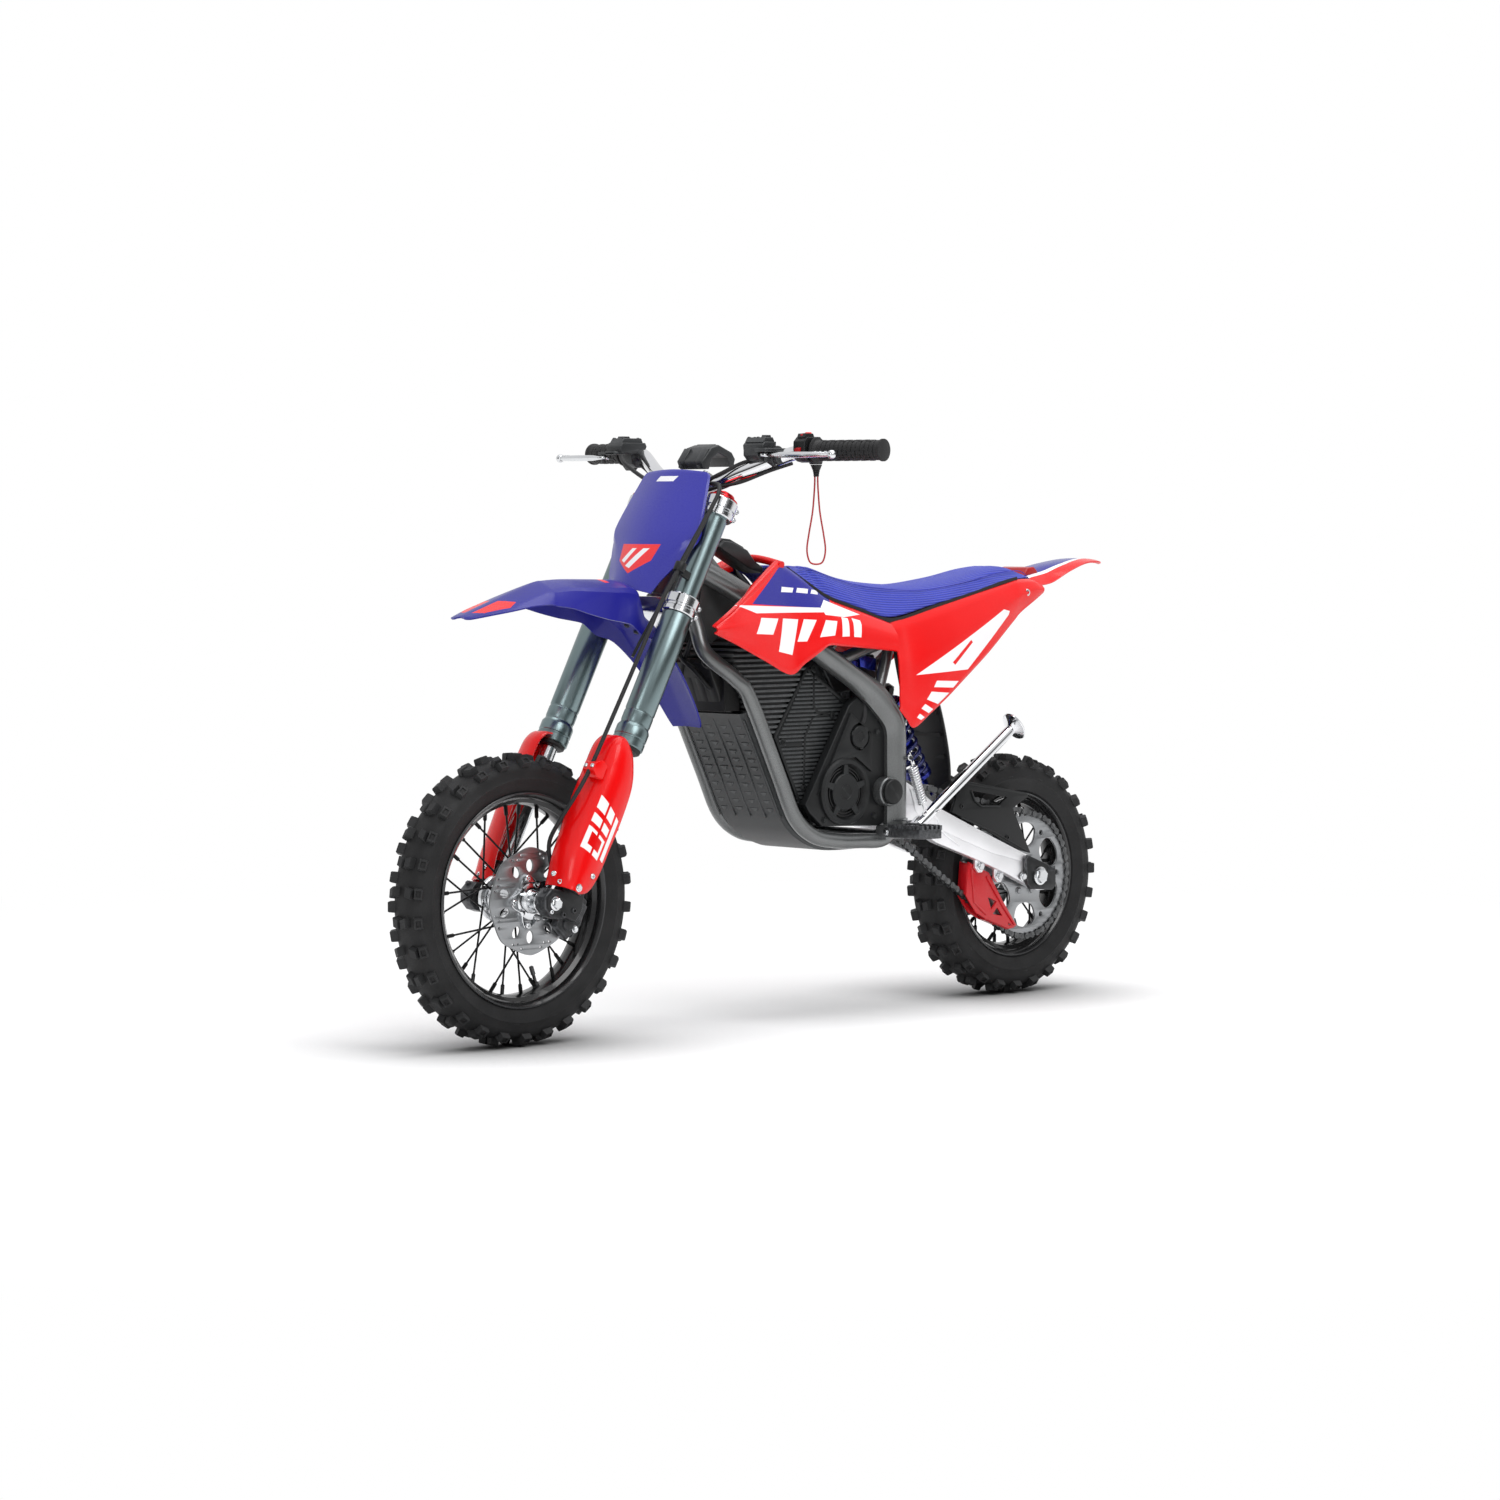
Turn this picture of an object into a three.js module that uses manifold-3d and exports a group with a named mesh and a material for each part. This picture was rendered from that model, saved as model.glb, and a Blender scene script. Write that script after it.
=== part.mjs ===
// Youth electric off-road motorcycle.
// Frame: millimetres, +X forward, +Y to the rider's left, +Z up, origin on the floor midway
// between the two axles.

import * as THREE from 'three';
import { mergeVertices } from 'three/addons/utils/BufferGeometryUtils.js';
import Module from 'manifold-3d';

const wasm = await Module();
wasm.setup();

// ---------------------------------------------------------------- driving dimensions
const WHEELBASE = 1066;
const FRONT_WHEEL = { x: WHEELBASE / 2, radius: 217.5, width: 68, bead: 152, opening: 141 };
const REAR_WHEEL = { x: -WHEELBASE / 2, radius: 197, width: 74, bead: 127, opening: 115 };
const SPOKES = 28;
const TYRE_SIDES = 32;
const TAIL_X = -750.5;

const RAKE = THREE.MathUtils.degToRad(28.28);
const STEER_BASE = { x: 478.1, z: 188 };
const LEG = { a: 34, y: 85 };
const AXLE_A = 62.3;
const AXLE_RADIUS = 8;
const AXLE_BORE = 9;

const PIVOT = { x: -160, z: 352 };
const PIVOT_BORE = 9.8;
const SHOCK_TOP = { x: -247, z: 506 };
const SHOCK_FOOT = { x: -348, z: 338 };
const CHAIN_Y = { low: 44, high: 54 };
const CHAIN_HALF = 5;
const CHAIN_PITCH = 12.7;
const TEETH = { drive: 13, driven: 50 };
const DRIVE_PITCH = CHAIN_PITCH / (2 * Math.sin(Math.PI / TEETH.drive));
const DRIVEN_PITCH = CHAIN_PITCH / (2 * Math.sin(Math.PI / TEETH.driven));
const SPROCKET_GAP = 1.2;
const MOTOR = { x: -72, z: 355, radius: 50 };
const BAR_RADIUS = 11;

// ---------------------------------------------------------------- materials
const paint = (color, roughness, metalness = 0) =>
  new THREE.MeshStandardMaterial({ color, roughness, metalness });

const LOOK = {
  frame: paint(0x3c3d3f, 0.45, 0.55),
  rubber: paint(0x1b1b1c, 0.85),
  blackPaint: paint(0x151516, 0.4, 0.3),
  blackPlastic: paint(0x1d1e1f, 0.55),
  greyPlastic: paint(0x3a3b3c, 0.5),
  redPlastic: paint(0xe81418, 0.25),
  bluePlastic: paint(0x27288c, 0.3),
  seatCover: paint(0x2a35a8, 0.7),
  alloy: paint(0xb9bbbd, 0.35, 0.85),
  chrome: paint(0xd9dadb, 0.12, 1),
  anodised: paint(0x6f7b7d, 0.3, 0.85),
  steel: paint(0x8b8c8e, 0.35, 0.9),
  blueSteel: paint(0x24307f, 0.3, 0.6),
  cord: paint(0xb01a20, 0.8),
};

// ---------------------------------------------------------------- geometry helpers
function tidy(geometry) {
  const bare = geometry.clone();
  for (const name of Object.keys(bare.attributes)) {
    if (name !== 'position') bare.deleteAttribute(name);
  }
  const merged = mergeVertices(bare, 1e-3);
  const source = merged.index.array;
  const kept = [];
  for (let i = 0; i < source.length; i += 3) {
    const [a, b, c] = [source[i], source[i + 1], source[i + 2]];
    if (a !== b && b !== c && a !== c) kept.push(a, b, c);
  }
  merged.setIndex(signedVolume(merged, kept) < 0 ? reversed(kept) : kept);
  return merged;
}

function reversed(index) {
  const turned = [];
  for (let i = 0; i < index.length; i += 3) turned.push(index[i], index[i + 2], index[i + 1]);
  return turned;
}

function signedVolume(geometry, index) {
  const points = geometry.attributes.position;
  const [a, b, c] = [new THREE.Vector3(), new THREE.Vector3(), new THREE.Vector3()];
  let six = 0;
  for (let i = 0; i < index.length; i += 3) {
    a.fromBufferAttribute(points, index[i]);
    b.fromBufferAttribute(points, index[i + 1]);
    c.fromBufferAttribute(points, index[i + 2]);
    six += a.dot(b.cross(c));
  }
  return six;
}

function toSolid(geometry) {
  const clean = tidy(geometry);
  return new wasm.Manifold(new wasm.Mesh({
    numProp: 3,
    vertProperties: new Float32Array(clean.attributes.position.array),
    triVerts: Uint32Array.from(clean.index.array),
  }));
}

function toGeometry(solid) {
  const mesh = solid.getMesh();
  const geometry = new THREE.BufferGeometry();
  geometry.setAttribute('position', new THREE.BufferAttribute(new Float32Array(mesh.vertProperties), 3));
  geometry.setIndex(Array.from(mesh.triVerts));
  return geometry;
}

const join = (first, ...others) =>
  toGeometry(others.reduce((whole, next) => whole.add(toSolid(next)), toSolid(first)));

const cut = (body, ...tools) =>
  toGeometry(tools.reduce((whole, next) => whole.subtract(toSolid(next)), toSolid(body)));

function mirrored(geometry) {
  const copy = tidy(geometry);
  copy.scale(1, -1, 1);
  return tidy(copy);
}

function circle(radius, sides) {
  const points = [];
  for (let i = 0; i < sides; i += 1) {
    const angle = (2 * Math.PI * i) / sides;
    points.push(new THREE.Vector2(radius * Math.cos(angle), radius * Math.sin(angle)));
  }
  return points;
}

const outline = (pairs) => new THREE.Shape(pairs.map(([x, z]) => new THREE.Vector2(x, z)));

// A flat plate whose outline is drawn in x and z and whose faces are at y = low and y = high.
function plate(pairs, low, high, holes = []) {
  const shape = outline(pairs);
  for (const hole of holes) shape.holes.push(new THREE.Path(hole));
  const geometry = new THREE.ExtrudeGeometry(shape, { depth: high - low, bevelEnabled: false });
  geometry.rotateX(Math.PI / 2);
  geometry.translate(0, high, 0);
  return geometry;
}

function discHole(x, z, radius, sides) {
  return circle(radius, sides).map((p) => new THREE.Vector2(p.x + x, p.y + z));
}

// A round bar from y = low to y = high, centred on x and z.
function crossBar(x, z, radius, low, high, sides = 16) {
  const geometry = new THREE.CylinderGeometry(radius, radius, high - low, sides);
  geometry.translate(x, (low + high) / 2, z);
  return geometry;
}

function rod(from, to, radius, sides = 10, tipRadius = radius) {
  const start = new THREE.Vector3(...from);
  const end = new THREE.Vector3(...to);
  const along = end.clone().sub(start);
  const geometry = new THREE.CylinderGeometry(tipRadius, radius, along.length(), sides);
  const turn = new THREE.Quaternion().setFromUnitVectors(new THREE.Vector3(0, 1, 0), along.normalize());
  geometry.applyQuaternion(turn);
  geometry.translate(...start.add(end).multiplyScalar(0.5).toArray());
  return geometry;
}

function tube(points, radius, steps, sides = 8) {
  const path = new THREE.CatmullRomCurve3(points.map((p) => new THREE.Vector3(...p)), false, 'centripetal');
  const section = new THREE.Shape(circle(radius, sides));
  return new THREE.ExtrudeGeometry(section, { steps, extrudePath: path, bevelEnabled: false });
}

function block(x0, x1, y0, y1, z0, z1) {
  const geometry = new THREE.BoxGeometry(x1 - x0, y1 - y0, z1 - z0);
  geometry.translate((x0 + x1) / 2, (y0 + y1) / 2, (z0 + z1) / 2);
  return geometry;
}

function ball(x, y, z, radius) {
  const geometry = new THREE.SphereGeometry(radius, 10, 6);
  geometry.translate(x, y, z);
  return geometry;
}

// A body of revolution about a line along y through x and z; the profile holds [radius, y] pairs.
function turned(x, z, profile, sides) {
  const points = profile.map(([r, y]) => new THREE.Vector2(r, y));
  const geometry = new THREE.LatheGeometry(points, sides);
  geometry.translate(x, 0, z);
  return geometry;
}

// The same about an upright line through x and y; the profile holds [radius, z] pairs.
function upright(x, y, profile, sides) {
  const geometry = new THREE.LatheGeometry(profile.map(([r, z]) => new THREE.Vector2(r, z)), sides);
  geometry.rotateX(Math.PI / 2);
  geometry.translate(x, y, 0);
  return geometry;
}

const closed = (profile) => [...profile, profile[0]];

// A skin through hand-set stations: place(row, v, w) gives a point from the station's row,
// v across the skin from -1 to 1 and w through its thickness from -1 to 1.
function skin(rows, across, place) {
  const geometry = new THREE.BoxGeometry(rows.length - 1, 2, 2, rows.length - 1, across, 1);
  const points = geometry.attributes.position;
  const half = (rows.length - 1) / 2;
  for (let i = 0; i < points.count; i += 1) {
    const row = rows[Math.round(points.getX(i) + half)];
    points.setXYZ(i, ...place(row, points.getY(i), points.getZ(i)));
  }
  return geometry;
}

const mix = (a, b, t) => a + (b - a) * t;

// Steering frame: a runs forward from the steering axis, s runs up along it.
function inFork(geometry) {
  const copy = geometry.clone();
  copy.rotateY(-RAKE);
  copy.translate(STEER_BASE.x, 0, STEER_BASE.z);
  return copy;
}

// ---------------------------------------------------------------- assembly groups
const bike = new THREE.Group();
const steering = new THREE.Group();
steering.position.set(STEER_BASE.x, 0, STEER_BASE.z);
steering.rotation.y = -RAKE;
bike.add(steering);

function add(parent, name, geometry, material) {
  const closedGeometry = tidy(geometry);
  closedGeometry.computeVertexNormals();
  const mesh = new THREE.Mesh(closedGeometry, material);
  mesh.name = name;
  parent.add(mesh);
}

function addPair(parent, name, leftGeometry, material) {
  add(parent, `${name}_left`, leftGeometry, material);
  add(parent, `${name}_right`, mirrored(leftGeometry), material);
}

// ---------------------------------------------------------------- wheels
function tyre({ x, radius, width, bead }) {
  const side = width / 2;
  const half = [
    [bead + 0.7, 23.2],
    [bead + 7.5, 25],
    [mix(bead, radius, 0.4), side],
    [mix(bead, radius, 0.74), side - 1],
    [radius, side - 16],
  ];
  const other = half.map(([r, y]) => [r, -y]).reverse();
  return turned(x, radius, closed([...half, ...other]), TYRE_SIDES);
}

function rimProfile({ bead, opening }) {
  const half = [
    [opening, 12],
    [bead + 7, 28.5],
    [bead, 24],
    [opening + 4, 9],
  ];
  const other = half.map(([r, y]) => [r, -y]).reverse();
  return closed([...half, ...other]);
}

function spokeSet(wheel, flangeRadius, flangeY) {
  const set = [];
  const lead = THREE.MathUtils.degToRad(48);
  for (let i = 0; i < SPOKES; i += 1) {
    const side = i % 2 === 0 ? 1 : -1;
    const rimAngle = (2 * Math.PI * (i + 0.5)) / SPOKES;
    const hubAngle = rimAngle + (i % 4 < 2 ? lead : -lead);
    const at = (angle, r, y) =>
      [wheel.x + r * Math.sin(angle), y, wheel.radius + r * Math.cos(angle)];
    const crossing = i % 4 < 2 ? 1.5 : -1.5;
    const from = at(hubAngle, flangeRadius, side * (flangeY + crossing));
    const to = at(rimAngle, wheel.opening + 2, side * (3 + crossing));
    set.push(rod(from, to, 1.7, 3));
  }
  return set;
}

function wheelCore(wheel, hubProfile, flangeRadius, flangeY) {
  const rim = turned(wheel.x, wheel.radius, rimProfile(wheel), TYRE_SIDES);
  const hub = turned(wheel.x, wheel.radius, closed(hubProfile), 12);
  return join(rim, hub, ...spokeSet(wheel, flangeRadius, flangeY));
}

// A disc with a waved rim and a ring of windows between hub hole and braking band.
function brakeDisc({ x, radius: z }, outer, hub, low, high, windows) {
  const rim = [];
  const waves = 8;
  for (let i = 0; i < 32; i += 1) {
    const angle = (2 * Math.PI * i) / 32;
    const r = outer - 2.2 + 2.2 * Math.cos(waves * angle);
    rim.push([x + r * Math.cos(angle), z + r * Math.sin(angle)]);
  }
  const holes = [discHole(x, z, hub, 16)];
  for (let i = 0; i < windows; i += 1) {
    const angle = (2 * Math.PI * i) / windows;
    const r = (hub + outer - 16) / 2 + 3;
    holes.push(discHole(x + r * Math.cos(angle), z + r * Math.sin(angle), 8.5, 6));
  }
  return plate(rim, low, high, holes);
}

function addFrontWheel() {
  add(bike, 'front_tyre', tyre(FRONT_WHEEL), LOOK.rubber);
  const hub = [
    [AXLE_BORE, -50], [15, -50], [15, -38], [34, -34], [34, -28], [20, -23],
    [20, 23], [34, 28], [34, 34], [27, 37], [27, 46], [14, 47], [14, 68], [AXLE_BORE, 68],
  ];
  add(bike, 'front_wheel_rim', wheelCore(FRONT_WHEEL, hub, 31, 31), LOOK.blackPaint);
  add(bike, 'front_brake_disc', brakeDisc(FRONT_WHEEL, 80, 28, 40, 44, 8), LOOK.steel);
}

function addRearWheel() {
  add(bike, 'rear_tyre', tyre(REAR_WHEEL), LOOK.rubber);
  const hub = [
    [AXLE_BORE, -57], [15, -57], [15, -49], [26, -48.5], [26, -37], [34, -35], [34, -29],
    [20, -24], [20, 24], [34, 29], [34, 36], [40, 38], [40, 46.5], [15, 46.6], [15, 57], [AXLE_BORE, 57],
  ];
  add(bike, 'rear_wheel_rim', wheelCore(REAR_WHEEL, hub, 31, 32), LOOK.blackPaint);
  add(bike, 'rear_brake_disc', brakeDisc(REAR_WHEEL, 75, 27, -47, -43, 8), LOOK.steel);
  const sprocketWindows = [discHole(REAR_WHEEL.x, REAR_WHEEL.radius, 16.4, 14)];
  const windowCount = 6;
  for (let i = 0; i < windowCount; i += 1) {
    const angle = (2 * Math.PI * (i + 0.5)) / windowCount;
    const r = 66;
    sprocketWindows.push(discHole(
      REAR_WHEEL.x + r * Math.cos(angle), REAR_WHEEL.radius + r * Math.sin(angle), 17, 8));
  }
  const rimRadius = DRIVEN_PITCH - CHAIN_HALF - SPROCKET_GAP;
  const rim = discHole(REAR_WHEEL.x, REAR_WHEEL.radius, rimRadius, 32).map((p) => [p.x, p.y]);
  add(bike, 'rear_sprocket', plate(rim, 47, 51, sprocketWindows), LOOK.steel);
}

// ---------------------------------------------------------------- chain drive
// Outline of a belt of the given radii round the rear axle and the swingarm pivot.
function beltOutline(rearRadius, frontRadius) {
  const axle = new THREE.Vector2(REAR_WHEEL.x, REAR_WHEEL.radius);
  const pivot = new THREE.Vector2(PIVOT.x, PIVOT.z);
  const along = pivot.clone().sub(axle);
  const lean = Math.asin((rearRadius - frontRadius) / along.length());
  const heading = along.angle();
  const arc = (centre, radius, from, to, steps) => {
    const points = [];
    for (let i = 0; i <= steps; i += 1) {
      const angle = mix(from, to, i / steps);
      points.push([centre.x + radius * Math.cos(angle), centre.y + radius * Math.sin(angle)]);
    }
    return points;
  };
  const upper = heading + Math.PI / 2 - lean;
  const lower = heading - Math.PI / 2 + lean;
  return [
    ...arc(axle, rearRadius, upper, lower + 2 * Math.PI, 22),
    ...arc(pivot, frontRadius, lower, upper, 8),
  ];
}

function addChainDrive() {
  const outer = beltOutline(DRIVEN_PITCH + CHAIN_HALF, DRIVE_PITCH + CHAIN_HALF);
  const inner = beltOutline(DRIVEN_PITCH - CHAIN_HALF, DRIVE_PITCH - CHAIN_HALF);
  const hole = inner.map(([x, z]) => new THREE.Vector2(x, z));
  add(bike, 'chain', plate(outer, CHAIN_Y.low, CHAIN_Y.high, [hole]), LOOK.steel);
  const radius = DRIVE_PITCH - CHAIN_HALF - SPROCKET_GAP;
  add(bike, 'drive_sprocket', turned(PIVOT.x, PIVOT.z, closed([
    [PIVOT_BORE, 46], [radius, 46], [radius, 52], [PIVOT_BORE, 52],
  ]), 16), LOOK.steel);
}

// ---------------------------------------------------------------- main frame
const SPAR = {
  radius: 17,
  path: [
    [180, 27, 706], [100, 65, 655], [-24, 92, 571], [-118, 92, 517], [-150, 92, 494],
    [-181, 92, 458], [-185, 92, 400], [-185, 92, 290],
  ],
};
const CRADLE = {
  radius: 12,
  path: [
    [197, 20, 656], [191, 34, 618], [190, 54, 577], [152, 80, 537], [126, 85, 506], [65, 85, 387],
    [30, 85, 320], [-11, 85, 289], [-60, 85, 279], [-114, 85, 276], [-165, 86, 277], [-188, 92, 306],
  ],
};

function mainFrame() {
  const headTube = inFork(upright(0, 0, [[0, 520], [24, 520], [24, 655], [0, 655]], 16));
  const headBore = inFork(upright(0, 0, [[0, 500], [14.5, 500], [14.5, 680], [0, 680]], 12));
  const pieces = [];
  const gussetOutline = [
    [212, 664], [178, 748], [150, 722], [95, 672], [92, 640], [150, 590], [184, 590],
  ];
  const slotCorners = [[168, 694], [176, 690], [188, 640], [180, 636]];
  const gussetSlot = slotCorners.map(([x, z]) => new THREE.Vector2(x, z));
  for (const side of [1, -1]) {
    const flip = (points) => points.map(([x, y, z]) => [x, side * y, z]);
    pieces.push(tube(flip(SPAR.path), SPAR.radius, 10, 8));
    pieces.push(tube(flip(CRADLE.path), CRADLE.radius, 12, 6));
    pieces.push(tube(flip([[-75, 78, 560], [-190, 62, 585], [-440, 52, 632]]), 10, 3, 6));
    pieces.push(rod([-148, side * 88, 500], [-205, side * 62, 588], 9, 6));
    pieces.push(rod([-181, side * 90, 440], [-400, side * 55, 622], 8, 6));
    pieces.push(plate(gussetOutline, side > 0 ? 22 : -28, side > 0 ? 28 : -22, [gussetSlot]));
    const boss = [[0, 76], [22, 76], [22, 108], [0, 108]].map(([r, y]) => [r, side * y]);
    pieces.push(turned(PIVOT.x, PIVOT.z, boss, 12));
    const pegBracket = block(-190, -150, 84, 107, 277, 300);
    pieces.push(side > 0 ? pegBracket : mirrored(pegBracket));
  }
  pieces.push(plate([[-185, 302], [-228, 303], [-230, 284], [-216, 276], [-185, 279]], 84, 91.5));
  pieces.push(crossBar(-172, 497, 11, -90, 90, 10));
  pieces.push(crossBar(-172, 281, 9, -88, 88, 10));
  pieces.push(crossBar(-438, 632, 9, -54, 54, 8));
  for (const low of [-18, 13]) {
    pieces.push(plate([
      [-165, 508], [-165, 486], [-236, 494], [-258, 498], [-260, 512], [-248, 518],
    ], low, low + 5));
  }
  const shockPin = crossBar(SHOCK_TOP.x, SHOCK_TOP.z, 5, -20, 20, 10);
  const pivotBore = crossBar(PIVOT.x, PIVOT.z, PIVOT_BORE, -120, 120);
  return cut(join(headTube, ...pieces, shockPin), headBore, pivotBore);
}

function addFrame() {
  add(bike, 'main_frame', mainFrame(), LOOK.frame);
  const headed = [
    [0, -117], [17, -117], [18, -108.5], [9, -108.5], [9, 108.5], [18, 108.5], [17, 117], [0, 117],
  ];
  add(bike, 'swingarm_pivot_bolt', turned(PIVOT.x, PIVOT.z, headed, 16), LOOK.blackPaint);

  const batteryOutline = [
    [150, 572], [100, 600], [20, 578], [-20, 545], [-82, 497], [30, 318], [52, 380], [112, 500],
  ];
  add(bike, 'battery_box', plate(batteryOutline, -72, 72), LOOK.blackPlastic);
  const coverOutline = [
    [128, 738], [118, 748], [99, 746], [67, 733], [50, 713], [28, 703], [26, 682], [60, 692], [120, 731],
  ];
  add(bike, 'battery_top_cover', plate(coverOutline, -20.5, 20.5), LOOK.greyPlastic);

  const motorOutline = [
    [-84, 489], [-144, 447], [-136, 375], [-133, 303], [-26, 305], [10, 338],
  ];
  const vent = turned(MOTOR.x, MOTOR.z, [[0, 90], [52, 90], [50, 100], [0, 100]], 24);
  const port = turned(-105, 440, [[0, 90], [18, 90], [18, 97], [0, 97]], 12);
  addPair(bike, 'motor_cover', join(plate(motorOutline, 76, 94), vent, port), LOOK.blackPlastic);

  const motorCan = crossBar(MOTOR.x, MOTOR.z, MOTOR.radius, -74, 74, 20);
  const gearCase = plate([
    [-100, 400], [-160, 378], [-182, 366], [-186, 352], [-182, 338], [-160, 326], [-80, 308],
  ], -50, 40);
  const pivotBore = crossBar(PIVOT.x, PIVOT.z, PIVOT_BORE, -60, 60);
  add(bike, 'motor_gearbox', cut(join(motorCan, gearCase), pivotBore), LOOK.greyPlastic);
}

// ---------------------------------------------------------------- bodywork
// Rows: x, z of upper edge, y of upper edge, z of lower edge, y of lower edge.
const SHROUD = [
  [239, 619, 125, 608, 125], [190, 643, 112, 589, 127], [130, 671, 95, 564, 127],
  [73, 698, 76, 542, 124], [40, 713, 62, 558, 122], [0, 690, 71, 577, 119],
  [-18, 676, 76, 585, 118], [-49, 655, 85, 583, 117], [-110, 636, 91, 578, 115],
  [-172, 617, 95, 572, 114],
];
const SIDE_PANEL = [
  [-174, 617, 95, 480, 114], [-192, 621, 95, 465, 114], [-210, 625, 94, 451, 114],
  [-250, 633, 93, 474, 113], [-286, 640, 92, 495, 111], [-327, 648, 90, 521, 107],
  [-400, 663, 84, 566, 97], [-470, 677, 76, 611, 82], [-493, 669, 73, 626, 76],
  [-534, 656, 69, 648, 69],
];

function panel(rows, bulge) {
  return skin(rows, 4, ([x, zUp, yUp, zLow, yLow], v, w) => {
    const t = (v + 1) / 2;
    return [x, mix(yLow, yUp, t) + bulge * (1 - v * v) + 1.5 * w, mix(zLow, zUp, t)];
  });
}

function addBodywork() {
  const bridge = rod([39, 66, 711], [39, 1.4, 720], 6, 6);
  addPair(bike, 'shroud', join(panel(SHROUD, 5), bridge), LOOK.redPlastic);
  addPair(bike, 'side_panel', panel(SIDE_PANEL, 4), LOOK.redPlastic);

  // Rows: x, top, low edge, half-width at the top, half-width at the low edge.
  const seatRows = [
    [20, 714, 706, 44, 60], [-18, 713, 681, 50, 70], [-50, 706, 660, 54, 82],
    [-110, 689, 641, 57, 88], [-179, 679, 623, 60, 92], [-277, 675, 642, 61, 89],
    [-380, 686, 663, 58, 82], [-459, 700, 680, 54, 75], [-520, 703, 687, 48, 66],
    [-552, 690, 680, 40, 56],
  ];
  add(bike, 'seat', skin(seatRows, 6, ([x, top, low, halfTop, halfLow], v, w) => {
    const upper = w > 0;
    const crown = 9 * Math.pow(Math.abs(v), 3);
    return [x, v * (upper ? halfTop : halfLow), upper ? top - Math.min(crown, (top - low) * 0.5) : low];
  }), LOOK.seatCover);

  // Rows: x, z on the centre line, half-width, drop of the edges.
  const tailRows = [
    [-556, 690, 60, 20], [-593, 697, 56, 22], [-640, 705, 50, 13],
    [-690, 711, 41, 6], [-730, 711, 32, 4], [TAIL_X, 706, 20, 3],
  ];
  add(bike, 'rear_fender', skin(tailRows, 6, ([x, z, half, drop], v, w) =>
    [x, v * half, z - drop * Math.pow(Math.abs(v), 2) + 2 * w]), LOOK.redPlastic);

  const flapRows = [
    [-320, 560], [-336, 500], [-352, 450], [-363, 405], [-367, 372], [-366, 345],
  ];
  add(bike, 'rear_mudflap', skin(flapRows, 2, ([x, z], v, w) =>
    [x - 6 * v * v + 1.5 * w, v * 41, z]), LOOK.blackPlastic);

  const skidRows = [
    [126, 482, 1, -0.5], [88, 412, 1, -0.5], [50, 335, 1, -0.5], [28, 305, 0.9, -0.8],
    [6, 287, 0.7, -0.9], [-26, 272, 0.35, -1], [-66, 264, 0, -1], [-160, 264, 0, -1],
  ];
  add(bike, 'skid_plate', skin(skidRows, 1, ([x, z, nx, nz], v, w) =>
    [x + 1.75 * nx * w, v * 72, z + 1.75 * nz * w]), LOOK.greyPlastic);
}

// ---------------------------------------------------------------- fork and steering
function addForkTubes() {
  const profile = [
    [0, 690], [18.5, 690], [18.5, 490], [23, 488], [23, 300], [25, 298], [25, 268],
    [14.8, 268], [14.8, 650], [0, 650],
  ];
  addPair(steering, 'fork_tube', upright(LEG.a, LEG.y, profile, 16), LOOK.anodised);
}

function clampRing(side, low, high, outer) {
  return upright(LEG.a, side * LEG.y, [[0, low], [outer, low], [outer, high], [0, high]], 16);
}

function clampPlate(low, high, front, back) {
  const shape = new THREE.Shape([
    [front - 8, -80], [front - 8, 80], [26, 80], [back, 24], [back, -24], [26, -80],
  ].map(([a, y]) => new THREE.Vector2(a, y)));
  const geometry = new THREE.ExtrudeGeometry(shape, { depth: high - low, bevelEnabled: false });
  geometry.translate(0, 0, low);
  return geometry;
}

function addClamps() {
  const tubeBores = [1, -1].map((side) => clampRing(side, 480, 700, 19.4));
  const stem = upright(0, 0, [[0, 494], [12.5, 494], [12.5, 684], [0, 684]], 16);
  const rings = (low, high) => [clampRing(1, low, high, 26), clampRing(-1, low, high, 26)];
  const lower = join(clampPlate(492, 516, 50, -20), ...rings(492, 518), stem);
  add(steering, 'lower_clamp', cut(lower, ...tubeBores), LOOK.alloy);

  const risers = [28, -28].map((y) => plate([[12, 680], [44, 680], [42, 732], [14, 732]], y - 11, y + 11));
  const stemBore = upright(0, 0, [[0, 640], [13.3, 640], [13.3, 740], [0, 740]], 16);
  const upper = join(clampPlate(657, 684, 52, -22), ...rings(657, 688), ...risers);
  const barBore = handlebarTube(BAR_RADIUS + 0.8);
  barBore.translate(-STEER_BASE.x, 0, -STEER_BASE.z);
  barBore.rotateY(RAKE);
  add(steering, 'upper_clamp', cut(upper, ...tubeBores, stemBore, barBore), LOOK.alloy);
}

const BAR_PATH = [
  [78.7, 318, 883], [86, 278, 883], [93.7, 234, 883], [99, 205, 883], [115, 165, 878],
  [150, 95, 850], [163, 45, 832],
];

function handlebarTube(radius) {
  const right = BAR_PATH.map(([x, y, z]) => [x, -y, z]).reverse();
  return tube([...BAR_PATH, ...right], radius, 24, 8);
}

// A sleeve on the straight end of the bar between the distances y = inner and y = outer.
function sleeve(radius, inner, outer, sides = 14) {
  const at = (y) => [mix(99, 78.7, (y - 205) / 113), y, 883];
  return rod(at(inner), at(outer), radius, sides);
}

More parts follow.
